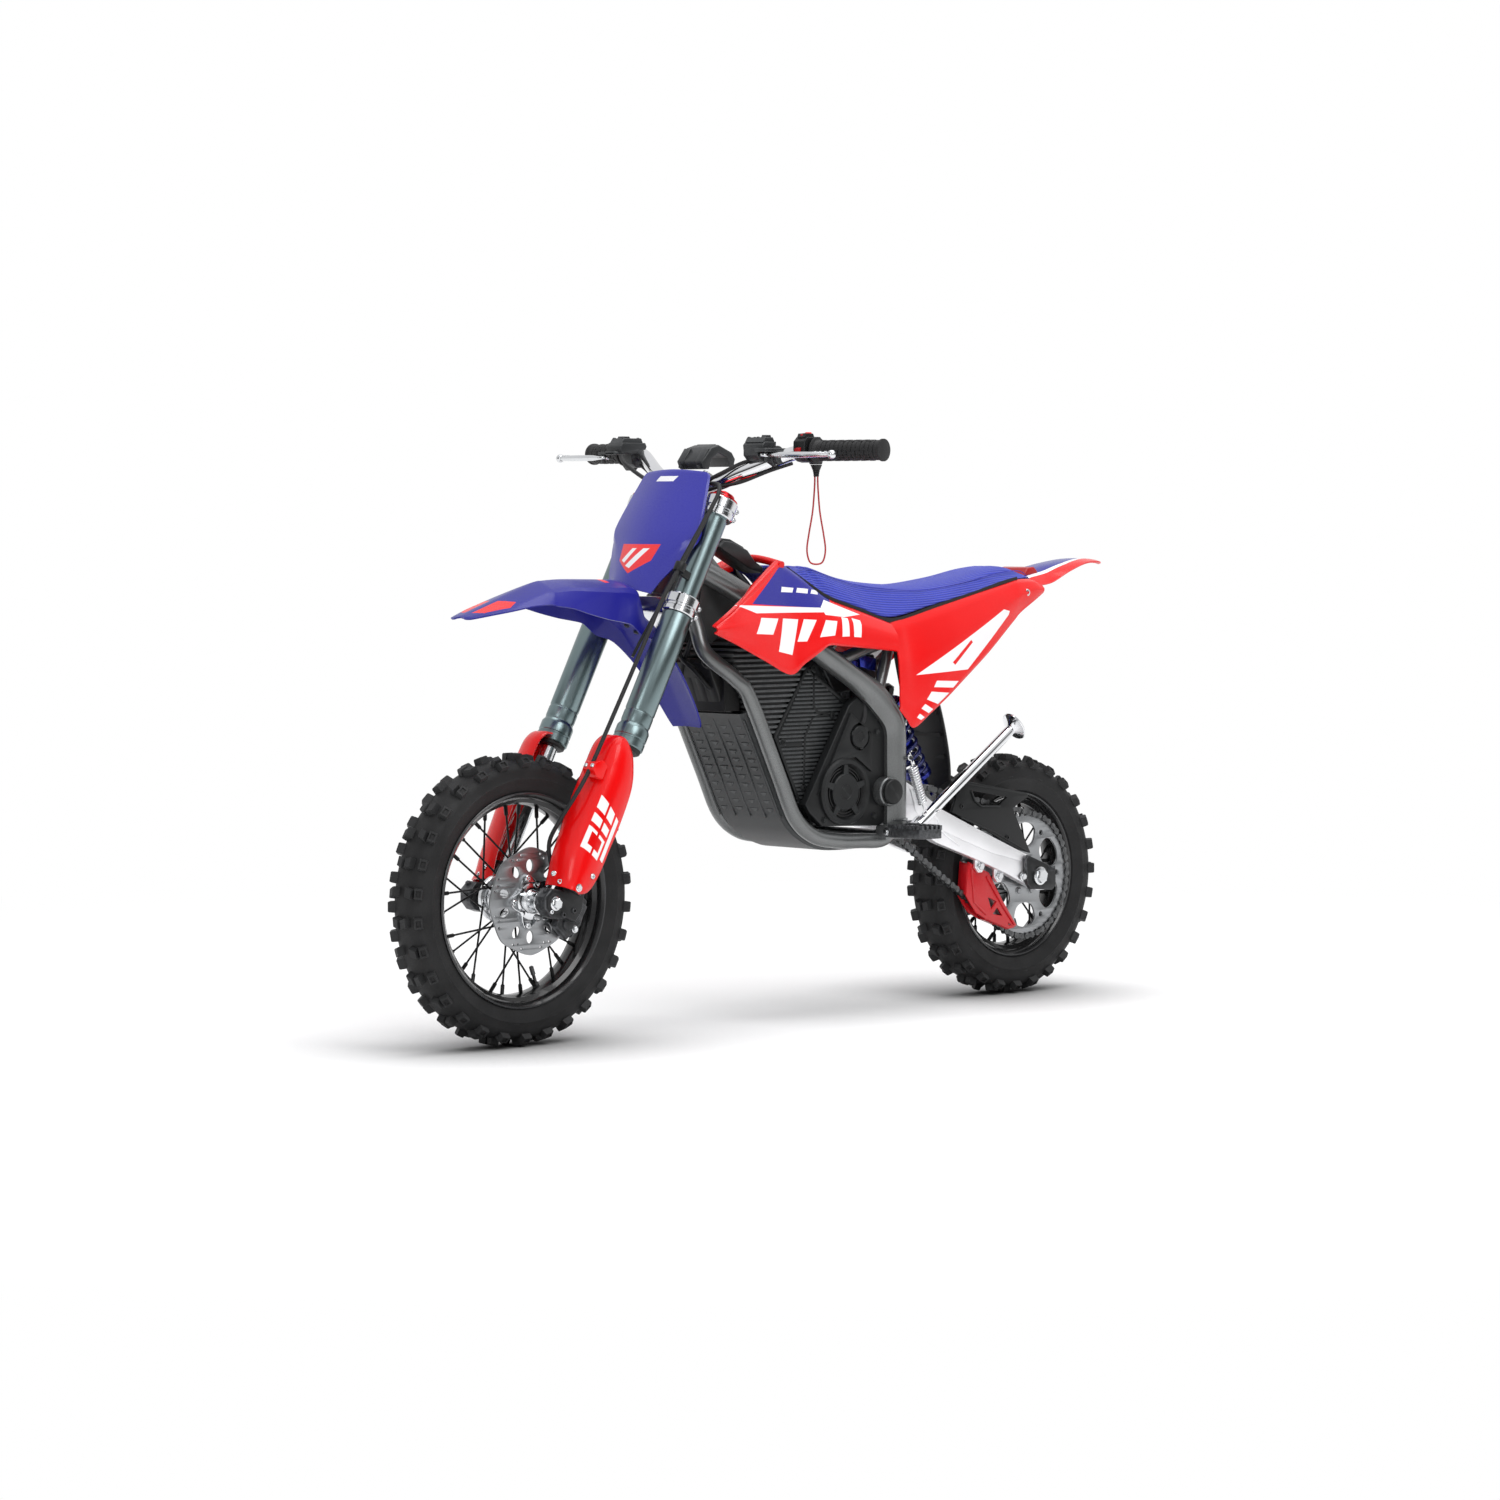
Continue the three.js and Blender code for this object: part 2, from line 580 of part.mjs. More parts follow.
function addControls() {
  const barSocket = handlebarTube(BAR_RADIUS + 0.9);
  add(bike, 'handlebar', handlebarTube(BAR_RADIUS), LOOK.chrome);
  const grip = (inner, socket) => cut(join(sleeve(14.5, inner, 325), sleeve(17, inner, inner + 4)), socket);
  add(bike, 'grip_left', grip(202, barSocket), LOOK.rubber);
  const turningSocket = sleeve(BAR_RADIUS + 1.5, 215, 321);
  add(bike, 'grip_right', mirrored(grip(226, turningSocket)), LOOK.rubber);

  // Left lever for the rear brake, with its master cylinder.
  const leftPin = [150, 146];
  add(bike, 'lever_left', leverBlade(leftPin, [132, 268], 874, 879), LOOK.alloy);
  const leftTank = join(
    plate([[131, 882], [131, 899], [136, 903], [153, 903], [158, 898], [158, 882]], 104, 148),
    plate([[131, 872], [131, 884], [158, 884], [158, 876], [150, 870]], 104, 135),
  );
  const leftArm = plate([[116, 862], [116, 886], [164, 886], [164, 881], [140, 881], [140, 862]], 134, 158);
  const leftPost = upright(leftPin[0], leftPin[1], [[0, 866], [3, 866], [3, 886], [0, 886]], 8);
  const left = cut(join(leftTank, leftArm, leftPost), barSocket);
  add(bike, 'master_cylinder_left', left, LOOK.greyPlastic);

  // Right lever for the front brake; its arm also holds the throttle's housing.
  const rightPin = [158, -212];
  add(bike, 'lever_right', leverBlade(rightPin, [151, -322], 873, 878), LOOK.alloy);
  const tankOutline = [[108, 882], [102, 896], [108, 906], [150, 906], [158, 896], [156, 881]];
  const armOutline = [[92, 864], [92, 886], [166, 886], [166, 880.5], [128, 880.5], [128, 864]];
  const rightTank = plate(tankOutline, -206, -172);
  const rightArm = plate(armOutline, -200, -178);
  const rightWeb = block(128, 166, -222, -176, 880.5, 884);
  const rightPost = upright(rightPin[0], rightPin[1], [[0, 866], [3, 866], [3, 886], [0, 886]], 8);
  const right = cut(join(rightTank, rightArm, rightWeb, rightPost), barSocket);
  add(bike, 'master_cylinder_right', right, LOOK.greyPlastic);

  const housingOutline = [
    [82, 870], [80, 898], [88, 906], [116, 906], [122, 898], [122, 872], [112, 866], [90, 866],
  ];
  const housing = join(
    plate(housingOutline, 174, 199),
    upright(88, 189, [[0, 862.5], [9, 862.5], [10, 868], [0, 868]], 12),
  );
  const buttonHole = upright(101, 187, [[0, 899], [6.5, 899], [6.5, 920], [0, 920]], 12);
  add(bike, 'kill_switch_housing', cut(housing, barSocket, buttonHole), LOOK.blackPlastic);
  add(bike, 'start_button', upright(101, 187, [[0, 902], [5, 902], [5, 911], [0, 911]], 10), LOOK.redPlastic);
}

// A flat lever with a round hole at its pin and a ball at its tip.
function leverBlade([pinX, pinY], [tipX, tipY], low, high) {
  const middle = (low + high) / 2;
  const side = Math.sign(tipY - pinY);
  const eye = upright(pinX, pinY, [[0, low], [8, low], [8, high], [0, high]], 12);
  const blade = rod([pinX, pinY + 4 * side, middle], [tipX, tipY, middle], 6, 6, 4.5);
  blade.translate(0, 0, -middle);
  blade.scale(1, 1, 0.48);
  blade.translate(0, 0, middle);
  const bore = upright(pinX, pinY, [[0, low - 5], [3.6, low - 5], [3.6, high + 5], [0, high + 5]], 10);
  return cut(join(eye, blade, ball(tipX, tipY, middle, 7)), bore);
}

function addLanyard() {
  const cap = upright(88, 191, [
    [0, 845], [4, 845], [4.6, 854], [8.5, 862], [0, 862],
  ], 12);
  add(bike, 'kill_switch_cap', cap, LOOK.blackPlastic);
  const across = [0.72, -0.69];
  const half = [[2.2, 844.5], [2.6, 828], [5.4, 792], [11, 758], [14, 735], [11.5, 719], [5.8, 712.5]];
  const point = (offset, z) => [88 + offset * across[0], 191 + offset * across[1], z];
  const route = [
    ...half.map(([offset, z]) => point(offset, z)),
    ...half.map(([offset, z]) => point(-offset, z)).reverse(),
  ];
  add(bike, 'lanyard_loop', tube(route, 1.3, 36), LOOK.cord);
}

// A point given in the steering frame, as a point of the whole object.
function steered(a, y, s) {
  return [
    STEER_BASE.x + a * Math.cos(RAKE) - s * Math.sin(RAKE), y,
    STEER_BASE.z + a * Math.sin(RAKE) + s * Math.cos(RAKE),
  ];
}

function addFrontBodywork() {
  // Rows: s, half-width, a of the edges, a of the middle.
  const plateRows = [
    [716, 70, 68, 78], [706, 80, 67, 80], [660, 88, 66, 82], [615, 98, 64, 84],
    [570, 76, 66, 82], [523, 50, 68, 80],
  ];
  add(steering, 'number_plate', skin(plateRows, 4, ([s, half, edge, middle], v, w) =>
    [mix(middle, edge, v * v) + 1.75 * w, v * half, s]), LOOK.bluePlastic);

  // Rows: a, s on the centre line, half-width, drop of the edges.
  const fenderRows = [
    [344, 322, 16, 3], [322, 348, 38, 10], [300, 372, 50, 18], [268, 407, 56, 28],
    [236, 438, 58, 38], [204, 457, 58, 46], [168, 476, 57, 56], [133, 494, 56, 64],
    [104, 508, 55, 68], [84, 512, 54, 66], [68, 496, 53, 52], [54, 482, 52, 38], [20, 474, 50, 22], [-36, 447, 46, 8], [-88, 415, 41, 3], [-134, 384, 33, 1],
  ];
  add(steering, 'front_fender', skin(fenderRows, 6, ([a, s, half, drop], v, w) =>
    [a, v * half, s - drop * Math.pow(Math.abs(v), 2.4) + 2 * w]), LOOK.bluePlastic);

  const dashOutline = [
    [171, 867], [165, 856], [112, 858], [103, 862], [101, 874], [112, 884], [136, 893], [150, 889],
  ];
  add(bike, 'dash', plate(dashOutline, -28, 28), LOOK.greyPlastic);

  const behindPlate = [
    [54, -90, 716], [54, -50, 704], [54, 0, 703], [54, 50, 703], [57, 86, 702], [65, 107, 684],
    [70, 110, 650], [76, 108, 590],
  ].map(([a, y, s]) => steered(a, y, s));
  const hoseRoute = [
    [160, -168, 878], [180, -138, 866], ...behindPlate, [321, 103, 664], [364, 103, 590], [414, 101, 502], [465, 99, 414],
    [490, 94, 374], [504, 76, 338], [507, 55, 304], [500, 52, 268], [480, 49, 238],
  ];
  add(bike, 'front_brake_hose', tube(hoseRoute, 3.2, 28, 6), LOOK.rubber);
}

// ---------------------------------------------------------------- lower fork
function addForkLower() {
  const lug = [
    [20, 48], [48, 48], [56, 22], [78, 16], [83, 0], [76, -14], [60, -20], [30, -8], [12, -8], [10, 12],
  ];
  const leg = join(
    upright(LEG.a, LEG.y, [[0, 20], [13.5, 20], [13.5, 480], [0, 480]], 14),
    plate(lug, 73, 97),
  );
  const axleBore = crossBar(AXLE_A, 0, AXLE_BORE, 60, 110);
  addPair(steering, 'fork_slider', cut(leg, axleBore), LOOK.alloy);

  const guardOutline = [
    [79, 268], [34, 250], [15, 208], [12, 150], [14, 66], [24, 34], [40, 24], [67, 24],
    [72, 57], [81, 159],
  ];
  const guardHollow = [
    [75, 290], [-60, 290], [-60, 20], [63, 20], [68, 57], [77, 159],
  ];
  const guard = cut(plate(guardOutline, 60, 117), plate(guardHollow, 50, 113.5));
  addPair(steering, 'fork_guard', guard, LOOK.redPlastic);

  const axle = turned(0, 0, [
    [0, -106], [9.5, -106], [9.5, -97.5], [AXLE_RADIUS, -97.5], [AXLE_RADIUS, 97.5],
    [9.5, 97.5], [9.5, 106], [0, 106],
  ], 14);
  axle.translate(AXLE_A, 0, 0);
  add(steering, 'front_axle', axle, LOOK.steel);

  const caliper = plate([
    [-24, 42], [8, 50], [16, 24], [12, -22], [-18, -24], [-28, 8],
  ], 30, 58);
  const discSlot = turned(0, 0, [[0, 39], [84, 39], [84, 45], [0, 45]], 32);
  discSlot.translate(AXLE_A, 0, 0);
  add(steering, 'front_brake_caliper', cut(caliper, discSlot), LOOK.blackPaint);
}

// ---------------------------------------------------------------- rear suspension
function addSwingarm() {
  const armOutline = [
    [-150, 371], [-182, 371], [-225, 366], [-270, 342], [-312, 316], [-378, 288], [-463, 253],
    [-560, 214], [-574, 205], [-574, 172], [-537, 172], [-463, 204], [-391, 231], [-300, 262],
    [-250, 288], [-212, 322], [-182, 332], [-150, 333], [-141, 352],
  ];
  const pieces = [];
  for (const low of [59, -74.5]) pieces.push(plate(armOutline, low, low + 15.5));
  pieces.push(plate([[-250, 326], [-262, 333], [-300, 314], [-304, 284], [-262, 290]], -61, 61));
  const lug = [
    [-262, 328], [-300, 340], [-336, 352], [-352, 350], [-360, 340], [-357, 328], [-340, 322], [-300, 290],
  ];
  for (const low of [-18, 13]) pieces.push(plate(lug, low, low + 5));
  pieces.push(crossBar(SHOCK_FOOT.x, SHOCK_FOOT.z, 4, -16, 16, 8));
  const pivotBore = crossBar(PIVOT.x, PIVOT.z, PIVOT_BORE, -90, 90);
  const axleBore = crossBar(REAR_WHEEL.x, REAR_WHEEL.radius, AXLE_BORE, -90, 90);
  const [first, ...others] = pieces;
  add(bike, 'swingarm', cut(join(first, ...others), pivotBore, axleBore), LOOK.alloy);

  const adjuster = (low, high) => block(-574, -508, low, high, 180, 214);
  const axle = crossBar(REAR_WHEEL.x, REAR_WHEEL.radius, AXLE_RADIUS, -94, 94, 14);
  const nuts = [-1, 1].map((side) => {
    const profile = [[0, 82], [12, 82], [12, 93], [0, 93]].map(([r, y]) => [r, side * y]);
    return turned(REAR_WHEEL.x, REAR_WHEEL.radius, profile, 6);
  });
  add(bike, 'rear_axle', join(axle, adjuster(76.5, 83), adjuster(-83, -76.5), ...nuts), LOOK.blackPaint);

  const caliper = plate([[-500, 190], [-455, 196], [-446, 150], [-470, 120], [-510, 124]], -57, -34);
  const slotProfile = [[0, -48.5], [79, -48.5], [79, -41.5], [0, -41.5]];
  const slot = turned(REAR_WHEEL.x, REAR_WHEEL.radius, slotProfile, 32);
  add(bike, 'rear_brake_caliper', cut(caliper, slot), LOOK.blackPaint);

  const guideOutline = [
    [-390, 226], [-438, 206], [-505, 115], [-486, 112], [-414, 136], [-384, 172],
  ];
  const guideBlock = [[-390, 224], [-432, 208], [-436, 196], [-420, 184], [-390, 196]];
  const guide = join(plate(guideOutline, 56, 59.5), plate(guideOutline, 38.5, 42), plate(guideBlock, 41, 57));
  add(bike, 'chain_guide', guide, LOOK.redPlastic);

  const guardOutline = [
    [-340, 310], [-370, 356], [-517, 331], [-520, 326], [-482, 308], [-527, 233],
  ];
  add(bike, 'chain_guard', plate(guardOutline, 64, 70), LOOK.blackPlastic);
}

// Bodies of revolution on the damper line, measured down from the upper eye.
function onDamper(profile, sides) {
  const geometry = new THREE.LatheGeometry(profile.map(([r, d]) => new THREE.Vector2(r, -d)), sides);
  const along = new THREE.Vector3(SHOCK_TOP.x - SHOCK_FOOT.x, 0, SHOCK_TOP.z - SHOCK_FOOT.z).normalize();
  geometry.applyQuaternion(new THREE.Quaternion().setFromUnitVectors(new THREE.Vector3(0, 1, 0), along));
  geometry.translate(SHOCK_TOP.x, 0, SHOCK_TOP.z);
  return geometry;
}

function addShock() {
  const length = Math.hypot(SHOCK_TOP.x - SHOCK_FOOT.x, SHOCK_TOP.z - SHOCK_FOOT.z);
  const topEye = crossBar(SHOCK_TOP.x, SHOCK_TOP.z, 12, -12, 12, 14);
  const topBore = crossBar(SHOCK_TOP.x, SHOCK_TOP.z, 5.6, -20, 20, 12);
  const body = onDamper([
    [0, 6], [9, 6], [9, 22], [24, 24], [24, 30], [15, 31], [15, 112], [7.2, 112], [7.2, 26], [0, 26],
  ], 14);
  add(bike, 'shock_body', cut(join(topEye, body), topBore), LOOK.blueSteel);

  const footEye = crossBar(SHOCK_FOOT.x, SHOCK_FOOT.z, 12, -11, 11, 14);
  const footBore = crossBar(SHOCK_FOOT.x, SHOCK_FOOT.z, 6.8, -20, 20, 12);
  const rodAndSeat = onDamper([
    [0, 64], [6, 64], [6, 158], [24, 159], [24, 166], [9, 170], [9, length - 5], [0, length - 5],
  ], 14);
  add(bike, 'shock_rod', cut(join(footEye, rodAndSeat), footBore), LOOK.chrome);

  add(bike, 'shock_spring', onDamper(closed([
    [17, 31], [24, 31], [24, 158], [17, 158],
  ]), 14), LOOK.blueSteel);
}

// ---------------------------------------------------------------- stand and footpegs
function addStand() {
  const pivot = [-216, 104, 289.6];
  const foot = [-445, 105, 444];
  const leg = rod(pivot, foot, 9, 10);
  const eye = crossBar(pivot[0], pivot[2], 12, 96.3, 110, 12);
  const along = new THREE.Vector3(...foot).sub(new THREE.Vector3(...pivot)).normalize();
  const toe = new THREE.Vector3(...foot).addScaledVector(along, 5).toArray();
  add(bike, 'side_stand', join(leg, eye, rod(foot, toe, 21, 12)), LOOK.chrome);
}

function addFootpegs() {
  const tread = [
    [-197, 281], [-197, 297], [-147, 297], [-147, 281],
  ];
  const opening = (low, high) => block(-188, -156, low, high, 270, 310);
  const teeth = [];
  for (let i = 0; i < 5; i += 1) {
    for (const x of [-197, -152]) teeth.push(block(x, x + 5, 119 + 15 * i, 125 + 15 * i, 296, 302));
  }
  const peg = cut(join(plate(tread, 110, 187), ...teeth), opening(128, 150), opening(158, 180));
  addPair(bike, 'footpeg', peg, LOOK.blackPaint);
}

addFrontWheel();
addRearWheel();
addChainDrive();
addFrame();
addBodywork();
addForkTubes();
addClamps();
addControls();
addLanyard();
addFrontBodywork();
addForkLower();
addSwingarm();
addShock();
addStand();
addFootpegs();

export default bike;
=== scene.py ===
import math

import bpy
import bmesh
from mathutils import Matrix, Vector


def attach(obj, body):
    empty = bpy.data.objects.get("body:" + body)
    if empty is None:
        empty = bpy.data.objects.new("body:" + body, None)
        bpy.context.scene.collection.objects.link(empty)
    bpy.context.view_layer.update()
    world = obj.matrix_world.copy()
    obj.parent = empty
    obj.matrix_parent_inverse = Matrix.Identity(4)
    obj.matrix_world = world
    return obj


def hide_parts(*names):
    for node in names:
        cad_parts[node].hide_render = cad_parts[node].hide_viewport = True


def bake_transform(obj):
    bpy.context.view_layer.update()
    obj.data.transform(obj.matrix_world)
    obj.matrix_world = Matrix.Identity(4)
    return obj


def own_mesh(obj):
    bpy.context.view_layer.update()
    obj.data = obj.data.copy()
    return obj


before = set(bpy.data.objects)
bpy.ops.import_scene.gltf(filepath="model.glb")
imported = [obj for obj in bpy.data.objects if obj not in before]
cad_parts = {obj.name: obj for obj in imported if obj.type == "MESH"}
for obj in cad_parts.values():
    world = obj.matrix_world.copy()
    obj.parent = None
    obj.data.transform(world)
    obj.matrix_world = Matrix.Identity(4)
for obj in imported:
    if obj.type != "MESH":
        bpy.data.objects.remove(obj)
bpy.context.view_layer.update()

# Youth electric off-road motorcycle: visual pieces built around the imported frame.
# Sizes are in millimetres: +X forward, +Y to the rider's left, +Z up from the floor.

MM = 0.001

FRONT = {"x": 533.0, "r": 217.5, "width": 68.0, "bead": 152.0, "opening": 141.0}
REAR = {"x": -533.0, "r": 197.0, "width": 74.0, "bead": 127.0, "opening": 115.0}
RAKE = math.radians(28.28)
STEER_X, STEER_Z = 478.1, 188.0
LEG_A, LEG_Y = 34.0, 85.0
AXLE_A = 62.3
PIVOT = (-160.0, 352.0)
SHOCK_TOP = (-247.0, 506.0)
SHOCK_FOOT = (-348.0, 338.0)
TEETH = (13, 50)
CHAIN_PITCH = 12.7
DRIVE_PITCH = CHAIN_PITCH / (2 * math.sin(math.pi / TEETH[0]))
DRIVEN_PITCH = CHAIN_PITCH / (2 * math.sin(math.pi / TEETH[1]))
SIDES = (("left", 1), ("right", -1))
SQUARE = ((-1, -1), (1, -1), (1, 1), (-1, 1))


def add_object(name, data):
    obj = bpy.data.objects.new(name, data)
    bpy.context.scene.collection.objects.link(obj)
    return obj


def aim(obj, place, direction):
    """Puts a camera or a lamp in its place and turns it along a direction."""
    obj.location = place
    obj.rotation_mode = "QUATERNION"
    obj.rotation_quaternion = direction.to_track_quat("-Z", "Y")


# ---------------------------------------------------------------- camera
CAMERA_YAW, CAMERA_PITCH = math.radians(43.871), math.radians(3.059)
CAMERA_DISTANCE, CAMERA_LENS, CAMERA_SENSOR = 6.8509, 105.67, 36.0
CAMERA_TARGET = Vector((0.0434, 0.0, 0.4210))


def make_camera():
    level = math.cos(CAMERA_PITCH)
    back = Vector((math.sin(CAMERA_YAW) * level, math.cos(CAMERA_YAW) * level, math.sin(CAMERA_PITCH)))
    data = bpy.data.cameras.new("camera")
    data.lens, data.sensor_width = CAMERA_LENS, CAMERA_SENSOR
    data.clip_start, data.clip_end = 0.1, 200.0
    camera = add_object("camera", data)
    aim(camera, CAMERA_TARGET + back * CAMERA_DISTANCE, -back)
    bpy.context.scene.camera = camera


make_camera()


# ---------------------------------------------------------------- small maths
def lerp(a, b, t):
    return a + (b - a) * t


def fork(a, y, s):
    """A point of the steering frame: a ahead of the steering axis, s up along it."""
    return Vector((
        STEER_X + a * math.cos(RAKE) - s * math.sin(RAKE),
        y,
        STEER_Z + a * math.sin(RAKE) + s * math.cos(RAKE),
    ))


AHEAD = fork(1, 0, 0) - fork(0, 0, 0)
FORK_UP = fork(0, 0, 1) - fork(0, 0, 0)


def catmull(p, q, r, s, t):
    """A value between q and r, on a smooth line that also heeds p and s."""
    return 0.5 * (2 * q + (r - p) * t + (2 * p - 5 * q + 4 * r - s) * t * t + (3 * q - p - 3 * r + s) * t ** 3)


def resample(rows, steps):
    """More rows between the rows of a table, on a smooth line through each column."""
    made = []
    last = len(rows) - 1
    for i in range(last):
        four = [rows[max(i - 1, 0)], rows[i], rows[i + 1], rows[min(i + 2, last)]]
        for k in range(steps):
            made.append([catmull(*column, k / steps) for column in zip(*four)])
    made.append([float(v) for v in rows[-1]])
    return made


def turns(count, shift=0.0):
    """Angles spread evenly round a circle."""
    return [2 * math.pi * (i + shift) / count for i in range(count)]


def polar(x, z, radius, angle):
    return (x + radius * math.cos(angle), z + radius * math.sin(angle))


def circle(x, z, radius, sides):
    return [polar(x, z, radius, a) for a in turns(sides)]


def ring(centre, u, v, radius, sides):
    """A circle round a centre, in the plane of u and v."""
    return [centre + (u * math.cos(a) + v * math.sin(a)) * radius for a in turns(sides)]


def sheet(rows, steps, half, place):
    """Rows of points from one edge to the other; place takes a table row and a share from -1 to 1."""
    return [[place(row, k / half) for k in range(-half, half + 1)] for row in resample(rows, steps)]


def clamp(value):
    return min(1.0, max(0.0, value))


# ---------------------------------------------------------------- mesh building
class Shape:
    """Vertices in millimetres and faces, gathered from several solids."""

    def __init__(self):
        self.verts, self.faces = [], []

    def add(self, verts, faces):
        base = len(self.verts)
        self.verts += [tuple(v) for v in verts]
        self.faces += [[base + i for i in f] for f in faces]
        return self

    def block(self, corners, flip=False):
        """Six faces round eight corners: the four of one end, then the four of the other."""
        faces = [[3, 2, 1, 0], [4, 5, 6, 7], [0, 1, 5, 4], [1, 2, 6, 5], [2, 3, 7, 6], [3, 0, 4, 7]]
        return self.add(corners, [face[::-1] for face in faces] if flip else faces)

    def rings(self, rings, caps=True, loop=False):
        """Joins rings of equal length; loop also joins the last ring to the first."""
        n = len(rings[0])
        faces = []
        count = len(rings)
        for i in range(count if loop else count - 1):
            j = (i + 1) % count
            for k in range(n):
                m = (k + 1) % n
                faces.append([i * n + k, i * n + m, j * n + m, j * n + k])
        if caps and not loop:
            faces.append(list(range(n))[::-1])
            faces.append([(count - 1) * n + k for k in range(n)])
        return self.add([p for row in rings for p in row], faces)

    def lathe(self, origin, axis, profile, sides=48, closed=False):
        """A body of revolution; the profile holds [radius, height along the axis] pairs."""
        origin, axis = Vector(origin), Vector(axis).normalized()
        side = axis.orthogonal().normalized()
        other = axis.cross(side)
        # a radius of nothing would leave faces without area
        rings = [ring(origin + axis * h, side, other, max(r, 0.02), sides) for r, h in profile]
        return self.rings(rings, loop=closed)

    def sweep(self, points, radius, sides=16, steps=6):
        """A bar along a smooth line; radius may be a function of the share of the way along."""
        line = [Vector(p) for p in (resample([list(p) for p in points], steps) if steps > 1 else points)]
        normal = None
        rings = []
        last = len(line) - 1
        for i, p in enumerate(line):
            along = (line[min(i + 1, last)] - line[max(i - 1, 0)]).normalized()
            if normal is None:
                normal = along.orthogonal().normalized()
            normal = (normal - along * normal.dot(along)).normalized()
            other = along.cross(normal)
            rings.append(ring(p, normal, other, radius(i / last) if callable(radius) else radius, sides))
        return self.rings(rings)

    def box(self, x0, x1, y0, y1, z0, z1):
        return self.block([Vector((x, y, z)) for z in (z0, z1) for x,
            y in ((x0, y0), (x1, y0), (x1, y1), (x0, y1))])

    def bolt(self, at, axis, radius, height, kind="socket"):
        """The head of a screw: a hexagon on a flange, or a domed head with a socket."""
        if kind == "hex":
            self.lathe(at, axis, [[radius * 1.25, 0], [radius * 1.25, height * 0.2],
                [radius * 1.05, height * 0.3]], 20)
            return self.lathe(at, axis, [[radius, 0], [radius, height * 0.85], [radius * 0.82, height]], 6)
        return self.lathe(at, axis, [
            [radius, -0.5], [radius, height * 0.35], [radius * 0.86, height * 0.8], [radius * 0.66, height],
            [radius * 0.46, height], [radius * 0.4, height * 0.45], [0, height * 0.4],
        ], 18)

    def grid(self, rows, thick, flip=False):
        """A closed sheet through rows of points; flip puts its thickness on the other side."""
        m, n = len(rows), len(rows[0])
        grid = [row[::-1] for row in rows] if flip else rows
        back = []
        for i in range(m):
            line = []
            for j in range(n):
                u = grid[min(i + 1, m - 1)][j] - grid[max(i - 1, 0)][j]
                v = grid[i][min(j + 1, n - 1)] - grid[i][max(j - 1, 0)]
                normal = u.cross(v)
                line.append(grid[i][j] - (normal.normalized() * thick if normal.length > 1e-9 else Vector()))
            back.append(line)
        verts = [p for row in grid for p in row] + [p for row in back for p in row]
        half = m * n
        faces = []
        for i in range(m - 1):
            for j in range(n - 1):
                a, b, c, d = i * n + j, (i + 1) * n + j, (i + 1) * n + j + 1, i * n + j + 1
                faces += [[a, b, c, d], [half + d, half + c, half + b, half + a]]
        rim = [(i * n, (i + 1) * n) for i in range(m - 1)]
        rim += [((m - 1) * n + j, (m - 1) * n + j + 1) for j in range(n - 1)]
        rim += [(i * n + n - 1, i * n - 1) for i in range(1, m)]
        rim += [(j + 1, j) for j in range(n - 1)]
        return self.add(verts, faces + [[a, half + a, half + b, b] for a, b in rim])

    def plate(self, outline, near, far, holes=(), edge=0.8, place=None, soft=1):
        """A flat plate drawn in x and z with holes and rounded edges, from y = near to y = far."""
        low, high = sorted((near, far))
        curve = bpy.data.curves.new("outline", "CURVE")
        curve.dimensions, curve.fill_mode = "2D", "BOTH"
        curve.extrude, curve.bevel_depth = (high - low) / 2 - edge, edge
        curve.bevel_resolution, curve.offset = soft, -edge
        for loop in (outline, *holes):
            spline = curve.splines.new("POLY")
            spline.points.add(len(loop) - 1)
            for point, (a, b) in zip(spline.points, loop):
                point.co = (a, b, 0, 1)
            spline.use_cyclic_u = True
        holder = add_object("outline", curve)
        graph = bpy.context.evaluated_depsgraph_get()
        mesh = bpy.data.meshes.new_from_object(holder.evaluated_get(graph))
        bm = bmesh.new()
        bm.from_mesh(mesh)
        bmesh.ops.remove_doubles(bm, verts=bm.verts, dist=0.01)
        bm.to_mesh(mesh)
        bm.free()
        place = place or (lambda x, y, z: Vector((x, y, z)))
        middle = (low + high) / 2
        verts = [place(v.co.x, middle + v.co.z, v.co.y) for v in mesh.vertices]
        faces = [list(p.vertices)[::-1] for p in mesh.polygons]
        bpy.data.objects.remove(holder)
        bpy.data.curves.remove(curve)
        bpy.data.meshes.remove(mesh)
        return self.add(verts, faces)


def mesh_of(name, shape):
    """The shape as a mesh in metres, with every face looking outward."""
    mesh = bpy.data.meshes.new(name)
    mesh.from_pydata([Vector(v) * MM for v in shape.verts], [], shape.faces)
    bm = bmesh.new()
    bm.from_mesh(mesh)
    bmesh.ops.recalc_face_normals(bm, faces=bm.faces)
    bm.to_mesh(mesh)
    bm.free()
    return mesh


def piece(name, shape, look, body, replaces=(), bevel=0.0, angle=35.0):
    """Makes a finished object from a shape, lets it ride on a CAD body and hides the nodes it stands for."""
    mesh = mesh_of(name, shape)
    mesh.materials.append(look)
    obj = add_object(name, mesh)
    if bevel:
        edge = obj.modifiers.new("edges", "BEVEL")
        edge.width, edge.segments = bevel * MM, 1
        edge.limit_method, edge.angle_limit = "ANGLE", math.radians(32)
        graph = bpy.context.evaluated_depsgraph_get()
        done = bpy.data.meshes.new_from_object(obj.evaluated_get(graph))
        obj.modifiers.clear()
        obj.data = done
        bpy.data.meshes.remove(mesh)
    obj.data.shade_smooth()
    obj.data.set_sharp_from_angle(angle=math.radians(angle))
    if body:
        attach(obj, body)
    if replaces:
        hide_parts(*replaces)
    return obj


# ---------------------------------------------------------------- materials
def srgb(code):
    parts = [((code >> shift) & 255) / 255 for shift in (16, 8, 0)]
    return tuple(c / 12.92 if c <= 0.04045 else ((c + 0.055) / 1.055) ** 2.4 for c in parts) + (1.0,)


